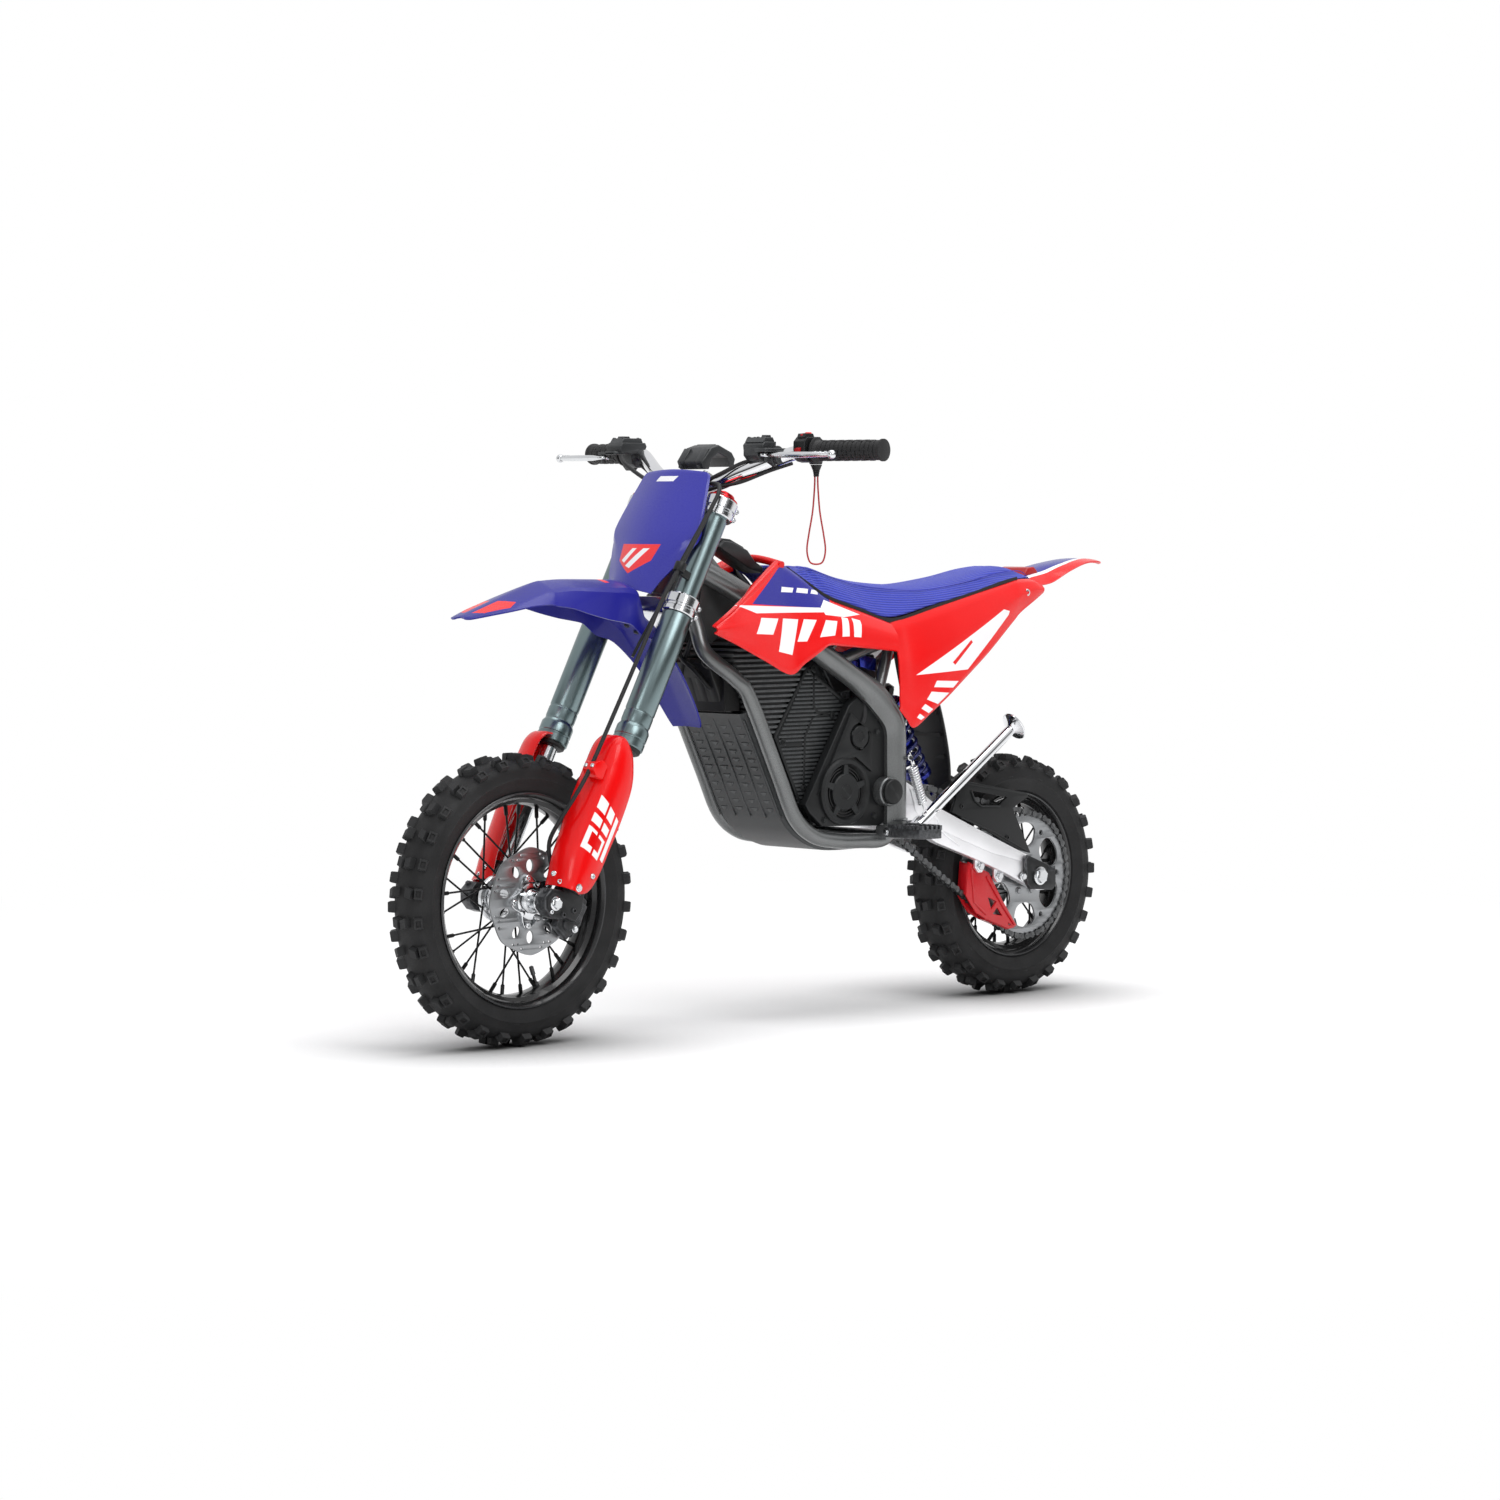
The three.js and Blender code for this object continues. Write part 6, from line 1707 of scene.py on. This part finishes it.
def make_tail():
    rows = [
        [-548, 689, 60, 22], [-556, 690, 60, 20], [-593, 697, 56, 22], [-640, 705, 50, 13], [-690, 711, 41, 6],
        [-730, 711, 32, 4], [-746, 707.6, 24, 3],
        [-750.5, 706, 15, 2],
    ]

    def domed(row, v):
        x, z, half, drop = row
        return Vector((x, half * v, z - drop * abs(v) ** 2.4))

    tail = Shape()
    tail.grid(sheet(rows, 5, 16, domed), 2.6)
    border = [(-546, 42), (-600, 38), (-650, 31), (-690, 22), (-722, 10)]
    red_edge = [[(-722, -40), (-760, -40), (-760, 40), (-722, 40)]]
    stripe = []
    for side in (1, -1):
        for (xa, ya), (xb, yb) in zip(border, border[1:]):
            red_edge.append([(xa, ya * side), (xb, yb * side), (xb, 70 * side), (xa, 70 * side)])
            stripe.append([(xa, (ya - 6) * side), (xb, (yb - 6) * side), (xb, (yb + 1) * side),
                (xa, (ya + 1) * side)])
    look = finish_of("tail_paint", 0x22228E, 0.24, **PAINT,
                     graphics=((red_edge, 0xE80A0C), (stripe, 0xF7F5F6)), axes=(0, 1))
    piece("rear_fender_shell", tail, look, "frame", ["rear_fender"], angle=40)
    block = Shape()
    block.plate([(-545, 686), (-556, 699), (-572, 701), (-580, 694), (-580, 688)], -34, 34, edge=2, soft=2)
    piece("tail_block", block, DARK_RED, "frame", angle=30)
    underside = Shape()
    underside.plate([(-440, 640), (-520, 660), (-600, 684), (-640, 694), (-640, 688), (-596, 676), (-520, 648),
        (-440, 628)], -34, 34, edge=2)
    piece("tail_brace", underside, DEEP_BLACK, "frame", angle=30)
    rows = [[-320, 560], [-336, 500], [-352, 450], [-363, 405], [-367, 372], [-366, 345]]

    def curved(row, v):
        wall = 8 * max(0.0, (abs(v) - 0.86) / 0.14) ** 2
        return Vector((row[0] - 6 * v * v + wall, 41 * v, row[1]))

    flap = Shape()
    flap.grid(sheet(rows, 6, 12, curved), 2.6, True)
    for k in range(5):
        z = 540 - 36 * k
        x = lerp(-325, -364, k / 4.3) - 2.4
        flap.box(x - 2.2, x + 1, -30, 30, z - 3, z + 3)
    piece("mudflap_panel", flap, RUBBER, "frame", ["rear_mudflap"], angle=40)
    airbox = Shape()
    airbox.plate([(-200, 640), (-440, 664), (-440, 636), (-330, 610), (-210, 588)], -48, 48, edge=4, soft=2)
    airbox.plate([(-322, 614), (-334, 560), (-322, 556), (-306, 612)], -44, 44, edge=2)
    piece("seat_support", airbox, DEEP_BLACK, "frame", angle=30)


make_side_shells()
make_seat()
make_tail()


# ---------------------------------------------------------------- rear arm, shock, stand and pegs
ARM = [(-150, 371), (-182, 371), (-225, 366), (-270, 342), (-312, 316), (-378, 288), (-463, 253), (-560, 214),
    (-574, 205), (-574, 172),
       (-537, 172), (-463, 204), (-391, 231), (-300, 262), (-250, 288), (-212, 322), (-182, 332), (-150, 333),
       (-141, 352)]


def make_rear_arm():
    arm = Shape()
    for side in (1, -1):
        arm.plate(ARM, side * 59, side * 74.5, [circle(-160, 352, 10.4, 24),
            [(-556, 190), (-556, 204), (-516, 204), (-516, 190)]], edge=2.6, soft=2)
        # a raised spine along the arm, a curved weld bead and the pads for the chain guide
        arm.plate([(-236, 352), (-268, 338), (-312, 311), (-378, 283), (-463, 248), (-500, 232), (-500, 222),
            (-430, 238), (-340, 270), (-284, 292), (-250, 314)],
                  side * 73.6, side * 76.2, edge=1.6, soft=2)
        arm.sweep([(-252, side * 75, 356), (-268, side * 76.4, 326), (-296, side * 76.4, 304),
            (-306, side * 76.4, 284), (-330, side * 75.4, 268), (-352, side * 75, 256)], 2.0, 8, 5)
        arm.plate([(-262, 328), (-300, 340), (-336, 352), (-352, 350), (-360, 340), (-357, 328), (-340, 322),
            (-300, 290)], side * 13, side * 18,
                  [circle(-348, 338, 5.4, 20)], edge=1.2)
        for x, z in ((-410, 222), (-455, 204)):
            arm.plate([(x - 12, z + 12), (x + 12, z + 20), (x + 11, z - 6), (x + 4, z - 14), (x - 5, z - 14),
                (x - 11, z - 6)], side * 60, side * 66, edge=1.2)
    arm.plate([(-250, 326), (-262, 333), (-300, 314), (-304, 284), (-262, 290)], -61, 61, edge=3, soft=2)
    piece("swingarm_forging", arm, ALLOY, "rear_arm", ["swingarm"], angle=30)
    lugs = Shape()
    for x, z in ((-410, 218), (-455, 200)):
        lugs.bolt((x, 66, z), (0, 1, 0), 6, 5, "hex")
        lugs.lathe((x, 63, z), (0, 1, 0), [[0, 0], [9, 0], [9, 3.4], [0, 3.4]], 24)
    for side in (1, -1):
        lugs.bolt((-250, 76 * side, 350), (0, side, 0), 5, 3)
    piece("swingarm_bolts", lugs, BRIGHT, "rear_arm", angle=30)

    axle = Shape()
    axle.lathe((-533, 0, 197), (0, 1, 0), [[0, -84], [7.9, -84], [7.9, 84], [0, 84]], 24)
    for side in (1, -1):
        axle.lathe((-533, 83 * side, 197), (0, side, 0), [[0, 0], [14, 0], [14, 1.8], [0, 1.8]], 28)
        axle.bolt((-533, 84.6 * side, 197), (0, side, 0), 12, 8.6, "hex")
        axle.lathe((-576, 66 * side, 190), (-1, 0, 0), [[0, 0], [3.4, 0], [3.4, 1], [0, 1]], 12)
    for side in (1, -1):
        axle.bolt((-500, 77 * side, 197), (0, side, 0), 5.5, 5, "hex")
    piece("rear_axle_bolt", axle, BRIGHT, "rear_arm", ["rear_axle"], angle=30)
    blocks = Shape()
    for side in (1, -1):
        blocks.plate([(-574, 180), (-574, 206), (-548, 217), (-508, 232), (-502, 226), (-506, 184), (-514, 176),
            (-566, 172)], side * 75.4, side * 83,
                     [circle(-533, 197, 8.4, 24)], edge=1.6, soft=2)
        for k in range(6):
            blocks.plate([(-556 - 3 * k, 203), (-554.6 - 3 * k, 203), (-554.6 - 3 * k, 211),
                (-556 - 3 * k, 211)], side * 82.6, side * 83.8, edge=0.3)
    piece("chain_adjusters", blocks, BLACK_METAL, "rear_arm", angle=30)

    guide = Shape()
    low_plate = [(-390, 226), (-438, 206), (-470, 160), (-505, 116), (-497, 112), (-486, 111), (-430, 131),
        (-408, 142), (-396, 156), (-384, 172)]
    holes = [[(-436, 166), (-456, 158), (-444, 146)], [(-450, 172), (-470, 150), (-460, 164)],
        [(-458, 148), (-470, 134), (-448, 138)],
             [(-484, 122), (-492, 117), (-486, 117)]]
    for low, high in ((55.8, 59.6), (38.4, 42.2)):
        guide.plate(low_plate, low, high, holes[:1] + holes[2:], edge=1.0)
    guide.plate([(-390, 224), (-432, 208), (-436, 196), (-420, 184), (-390, 196)], 41, 57, edge=1.4)
    guide.plate([(-486, 114), (-430, 134), (-430, 130), (-486, 110)], 41, 57, edge=0.8)
    guide.plate([(-388, 222), (-384, 174), (-388, 172), (-393, 220)], 40, 58, edge=0.8)
    for points in ([(-396, 214), (-402, 160), (-430, 138)], [(-432, 200), (-470, 150), (-498, 118)]):
        guide.sweep([(x, 60.2, z) for x, z in points], 1.8, 8, 1)
    piece("chain_guide_block", guide, DARK_RED_PLASTIC, "rear_arm", ["chain_guide"], angle=30)

    guard = Shape()
    guard.plate([(-340, 310), (-352, 338), (-372, 356), (-517, 331), (-521, 327), (-484, 309), (-527, 234),
        (-500, 240), (-430, 272)], 64.4, 69.6,
                [[(-384, 342), (-470, 328), (-452, 316), (-408, 318), (-392, 328)]], edge=1.0)
    guard.plate([(-372, 358), (-519, 332.6), (-519, 329.4), (-372, 353)], 40, 70, edge=0.8)
    guard.sweep([(-384, 70.4, 342), (-392, 70.4, 326), (-408, 70.4, 316), (-452, 70.4, 314)], 1.6, 8, 1)
    guard.sweep([(-360, 70.2, 300), (-440, 70.2, 272), (-520, 70.2, 236)], 1.4, 8, 1)
    guard.plate([(-340, 346), (-372, 360), (-380, 352), (-352, 336)], 34, 66, edge=1.2)
    for x, z in ((-362, 318), (-470, 262)):
        guard.bolt((x, 69.4, z), (0, 1, 0), 4.4, 2.4)
    piece("chain_guard_panel", guard, BLACK, "rear_arm", ["chain_guard"], angle=30)

    caliper = Shape()
    caliper.plate([(-500, 190), (-456, 197), (-448, 186), (-445, 152), (-458, 130), (-470, 121), (-510, 125),
        (-498, 150)], -57, -49.6, edge=3, soft=2)
    caliper.plate([(-496, 188), (-458, 194), (-450, 184), (-448, 154), (-470, 124), (-500, 128), (-494, 150)],
        -40.4, -34, edge=2, soft=2)
    caliper.plate([(-452, 190), (-446, 184), (-444, 152), (-456, 132), (-460, 140), (-452, 154)], -52, -38,
        edge=1.4)
    caliper.lathe((-470, -56.6, 160), (0, -1, 0), [[0, 0], [13, 0], [13, 3], [11.6, 4.4], [0, 4.4]], 28)
    piece("rear_caliper_body", caliper, BLACK_METAL, "rear_arm", ["rear_brake_caliper"],
        angle=30)
    hose = Shape()
    hose.sweep([(-458, -50, 192), (-440, -66, 214), (-400, -77.5, 252), (-330, -77.5, 286), (-270, -77.5, 322),
        (-214, -77.5, 346), (-196, -72, 356)], 2.8, 12, 6)
    for x, z in ((-400, 252), (-300, 304)):
        hose.lathe((x, -77, z), (-0.85, 0, -0.5), [[0, -4], [4.4, -4], [4.4, 4], [0, 4]], 14)
    piece("rear_brake_line", hose, RUBBER, "rear_arm", angle=50)


DARK_RED_PLASTIC = finish_of("guide_red", 0xC4101C, 0.3, grain=1500, depth=0.00005, mottle=0.05,
    Coat_Weight=0.15)
STAND_CHROME = finish_of("stand_chrome", 0xE6E7E9, 0.1, metallic=1.0, grain=300, depth=0.00001, mottle=0.03,
    spread=0.03)
SPRING_BLUE = finish_of("spring_blue", 0x1A2468, 0.22, metallic=0.35, grain=900, depth=0.00003, Coat_Weight=0.5)


def coil(shape, start, end, radius, wire, windings, low=0.0, high=1.0, sides=8, per_turn=20):
    """A spring round the line from start to end, between two shares of its length."""
    a, b = Vector(start), Vector(end)
    along = (b - a).normalized()
    u = along.orthogonal().normalized()
    v = along.cross(u)
    points = []
    total = int(windings * per_turn)
    for i in range(total + 1):
        t = i / total
        angle = 2 * math.pi * windings * t
        points.append(tuple(a.lerp(b,
            lerp(low, high, t)) + (u * math.cos(angle) + v * math.sin(angle)) * radius))
    shape.sweep(points, wire, sides, 1)


def make_shock():
    top = Vector((SHOCK_TOP[0], 0, SHOCK_TOP[1]))
    foot = Vector((SHOCK_FOOT[0], 0, SHOCK_FOOT[1]))
    down = (foot - top).normalized()
    body = Shape()
    body.lathe(top, down, [
        [0, 9], [14, 10], [15, 23], [23, 24], [24, 25], [24, 30], [17, 31], [15, 33], [15, 66], [15.6, 67],
        [15.6, 70], [15, 71], [15, 111],
        [13.6, 112], [6.6, 112], [6.6, 25.4], [0, 25.4],
    ], 36)
    body.lathe(top, (0, 1, 0), [[5.4, -12], [11, -12], [12, -11], [12, 11], [11, 12], [5.4, 12]], 30,
        closed=True)
    body.lathe(top + Vector((18, 0, -14)), (0.9, 0, 0.4), [[0, -2], [6, -2], [6, 5], [4.4, 6], [0, 6]], 20)
    piece("shock_cylinder", body, BLUE_METAL, "damper_body", ["shock_body"], angle=30)
    rod = Shape()
    rod.lathe(top, down, [[0, 64], [6, 64], [6, 158], [0, 158]], 24)
    piece("shock_piston_rod", rod, CHROME, "damper_rod", ["shock_rod"], angle=30)
    seat = Shape()
    seat.lathe(top, down, [[6.2, 156], [15, 156], [15, 159.4], [23.4, 159.4], [24, 160], [24, 165], [23, 166],
        [14, 166.6], [12, 172], [12, 184], [0, 185]], 36)
    seat.lathe(foot, (0, 1, 0), [[5.4, -11], [11, -11], [12, -10], [12, 10], [11, 11], [5.4, 11]], 30,
        closed=True)
    piece("shock_foot", seat, BLUE_METAL, "damper_rod", angle=30)
    spring = Shape()
    coil(spring, top + down * 34.4, top + down * 155.6, 20.3, 3.3, 7.4, sides=12, per_turn=28)
    obj = piece("shock_coil", spring, SPRING_BLUE, "damper_body", ["shock_spring"], angle=60)
    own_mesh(obj)


def make_stand():
    pivot, tip = Vector((-216, 104, 289.6)), Vector((-445, 105, 444))
    along = (tip - pivot).normalized()
    # the stand turns about a leaning pin, so its eye and bolt lean with it
    axis = Vector((-0.05009, 0.9718, 0.23043)).normalized()
    leg = Shape()
    leg.lathe(pivot, along, [[0, 10], [7.4, 12], [9, 22], [9, 262], [8.2, 268], [0, 270]], 32)
    leg.lathe(pivot, axis, [[5.2, -5.8], [11.4, -5.8], [12, -5.2], [12, 4.6], [11.4, 5.2], [5.2, 5.2]], 32,
        closed=True)
    leg.plate([(-208, 284), (-206, 296), (-226, 310), (-240, 312), (-236, 298), (-218, 284)], 98.6, 105,
        [circle(-216, 289.6, 7.6, 24)], edge=0.6)
    # the foot: an oval dish seen from below, with a rolled rim
    u = along.cross(Vector((0, 1, 0))).normalized()
    rings = []
    for reach, lift in ((0.0, -7.4), (8.6, -7.2), (10.4, -5.4), (17, -1.4), (24, 1.0), (25, 2.4), (24.2, 4.0),
            (22.4, 4.2), (13, 0.6), (0.0, -0.6)):
        rings.append([tip + along * lift + Vector((0, 1, 0)) * reach * 0.82 * math.cos(2 * math.pi * k / 40)
                      + u * reach * math.sin(2 * math.pi * k / 40) for k in range(40)])
    leg.rings(rings, caps=False)
    leg.sweep([tuple(pivot + along * 50 + Vector((0, 8, 0))), tuple(pivot + along * 50 + Vector((0, 13.4, 0))),
               tuple(pivot + along * 53 + Vector((0, 14.4, 0)))], 2.2, 10, 2)
    piece("stand_leg", leg, STAND_CHROME, "stand", ["side_stand"], angle=35)
    bolt = Shape()
    bolt.lathe(pivot - axis * 20.2, axis, [[0, 0], [5, 0], [5, 26.4], [0, 26.4]], 20)
    bolt.bolt(pivot + axis * 5.6, axis, 8.4, 4, "hex")
    piece("stand_pivot_bolt", bolt, BRIGHT, "frame", angle=30)
    spring = Shape()
    high, low = Vector((-199, 112, 404)), Vector((-232, 113, 316))
    coil(spring, high, low, 6.8, 1.4, 15, 0.16, 0.84, sides=8, per_turn=16)
    for end, near in ((high, high.lerp(low, 0.16)), (low, high.lerp(low, 0.84))):
        out = (near - end).normalized()
        hook = [end + out.cross(Vector((0, 1,
            0))) * 4.0 * math.sin(a) - out * 4.0 * math.cos(a) for a in (math.radians(d) for d in range(-120,
            121, 24))]
        spring.sweep([tuple(p) for p in hook] + [tuple(end + out * 5), tuple(near)], 1.25, 8, 2)
    obj = piece("stand_spring", spring, STAND_CHROME, None, angle=60)
    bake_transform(obj)
    hook = Shape()
    hook.sweep([(-188, 96, 404), (-192, 108, 404), (-199, 112, 404), (-203, 114, 404)], 2.6, 10, 3)
    piece("stand_spring_post", hook, BLACK_METAL, "frame", angle=40)


def make_pegs():
    for name, side in SIDES:
        peg = Shape()
        holes = [[(-188, y), (-156, y), (-156, y + 22), (-188, y + 22)] for y in (128, 158)]
        outline = [(-197, 112), (-197, 182), (-192, 187), (-152, 187), (-147, 182), (-147, 128), (-150, 112)]
        peg.plate([(x, y * side) for x, y in outline], 281, 296, [[(x, y * side) for x, y in h] for h in holes],
            1.2,
                  lambda x, h, y: Vector((x, y, h)))
        for y in (122, 154, 184):
            for x in (-192, -182, -172, -162, -152):
                peg.box(x - 2.2, x + 2.2, side * y - 2.4, side * y + 2.4, 294, 301.6)
        for x in (-193.4, -150.6):
            for y in (116, 130, 138, 146, 162, 170, 178):
                peg.box(x - 2.6, x + 2.6, side * y - 2.6, side * y + 2.6, 294, 302)
        peg.plate([(-190, 283), (-190, 298), (-184, 301), (-158, 301), (-152, 298), (-152, 283), (-158, 279),
            (-184, 279)],
                  side * 110, side * 121, edge=1.6, soft=2)
        peg.lathe((-170, side * 112, 289), (1, 0, 0), [[0, -24], [7, -24], [8, -23], [8, 23], [7, 24], [0, 24]],
            24)
        piece("footpeg_casting_" + name, peg, BLACK_METAL, "peg_" + name, ["footpeg_" + name],
            angle=30)
        pins = Shape()
        for x, out in ((-194.4, -1), (-145.6, 1)):
            pins.bolt((x, side * 112, 289), (out, 0, 0), 4.6, 3.0, "hex")
        piece("peg_pin_" + name, pins, BRIGHT, "peg_" + name, angle=30)


make_rear_arm()
make_shock()
make_stand()
make_pegs()
# ---------------------------------------------------------------- studio
def make_floor():
    """A white floor that turns into the bright background farther out."""
    material = bpy.data.materials.new("studio_floor")
    material.use_nodes = True
    material.node_tree.nodes.clear()
    tree = Nodes(material.node_tree)
    place = tree.put("ShaderNodeTexCoord").outputs["Object"]
    length = tree.put("ShaderNodeVectorMath", {0: place}, operation="LENGTH").outputs["Value"]
    far = tree.put("ShaderNodeMapRange", {"Value": length, "From Min": 1.1, "From Max": 2.6},
                   interpolation_type="SMOOTHSTEP").outputs["Result"]
    # the shade gathers where something stands close above the floor
    shade = tree.put("ShaderNodeAmbientOcclusion", {"Distance": 0.3}, samples=12).outputs["AO"]
    tone = tree.mix(tree.math("POWER", shade, 1.3), (0.05, 0.05, 0.05, 1), (0.97, 0.97, 0.97, 1))
    matt = tree.put("ShaderNodeBsdfDiffuse", {"Color": tone}).outputs[0]
    glow = tree.put("ShaderNodeEmission", {"Strength": 1.0}).outputs[0]
    mixed = tree.put("ShaderNodeMixShader", {0: far, 1: matt, 2: glow}).outputs[0]
    tree.put("ShaderNodeOutputMaterial", {"Surface": mixed})
    bpy.ops.mesh.primitive_plane_add(size=60.0, location=(0, 0, 0))
    plane = bpy.context.object
    plane.name = "studio_floor"
    plane.data.materials.append(material)


def ramp(tree, value, first, last, between):
    """A colour ramp between two colours, with greys at places in between."""
    node = tree.put("ShaderNodeValToRGB", {0: value})
    elements = node.color_ramp.elements
    elements[0].color, elements[1].color = first, last
    for place, grey in between:
        elements.new(place).color = (grey, grey, grey, 1)
    return node.outputs[0]


def make_world():
    """White for the camera; reflections see dark bands beside a light front, back and ceiling."""
    world = bpy.data.worlds.new("studio")
    bpy.context.scene.world = world
    world.use_nodes = True
    world.node_tree.nodes.clear()
    tree = Nodes(world.node_tree)
    direction = tree.put("ShaderNodeTexCoord").outputs["Generated"]
    height = tree.put("ShaderNodeSeparateXYZ", {0: direction}).outputs["Z"]
    # the parts of the direction that point to the viewer and across the view
    front, side = (
        tree.put("ShaderNodeVectorMath", {0: direction, 1: axis}, operation="DOT_PRODUCT").outputs["Value"]
        for axis in ((0.693, 0.721, 0.0), (0.721, -0.693, 0.0))
    )
    turn = tree.math("ABSOLUTE", tree.math("ARCTAN2", side, front))
    bands = ramp(tree, tree.math("DIVIDE", turn, math.pi), (0.5, 0.5, 0.51, 1), (0.8, 0.8, 0.8, 1),
                 ((0.17, 0.45), (0.21, 0.06), (0.46, 0.04), (0.54, 0.75)))
    up = ramp(tree, tree.math("MULTIPLY_ADD", height, 0.5, 0.5), (0, 0, 0, 1), (1, 1, 1, 1),
        ((0.62, 0), (0.78, 1)))
    room = tree.mix(up, bands, (0.8, 0.8, 0.81, 1))
    seen = tree.put("ShaderNodeLightPath").outputs["Is Camera Ray"]
    sky = tree.mix(seen, room, (1.0, 1.0, 1.0, 1))
    ground = tree.put("ShaderNodeBackground", {"Color": sky, "Strength": 1.0}).outputs[0]
    tree.put("ShaderNodeOutputWorld", {"Surface": ground})


def make_lamps():
    for name, place, target, size, power in (
        ("key", (0.6, 3.4, 3.6), (0, 0, 0.4), 2.2, 60.0), ("top", (-0.6, 0.3, 4.2), (0, 0, 0.3), 3.2, 75.0),
        ("nose", (4.6, 1.6, 2.1), (0.3, 0, 0.5), 1.4, 22.0),
    ):
        data = bpy.data.lights.new(name, "AREA")
        data.shape, data.size, data.energy = "SQUARE", size, power
        lamp = add_object(name, data)
        aim(lamp, place, Vector(target) - Vector(place))


make_floor()
make_world()
make_lamps()
bpy.context.scene.view_settings.view_transform = "Standard"
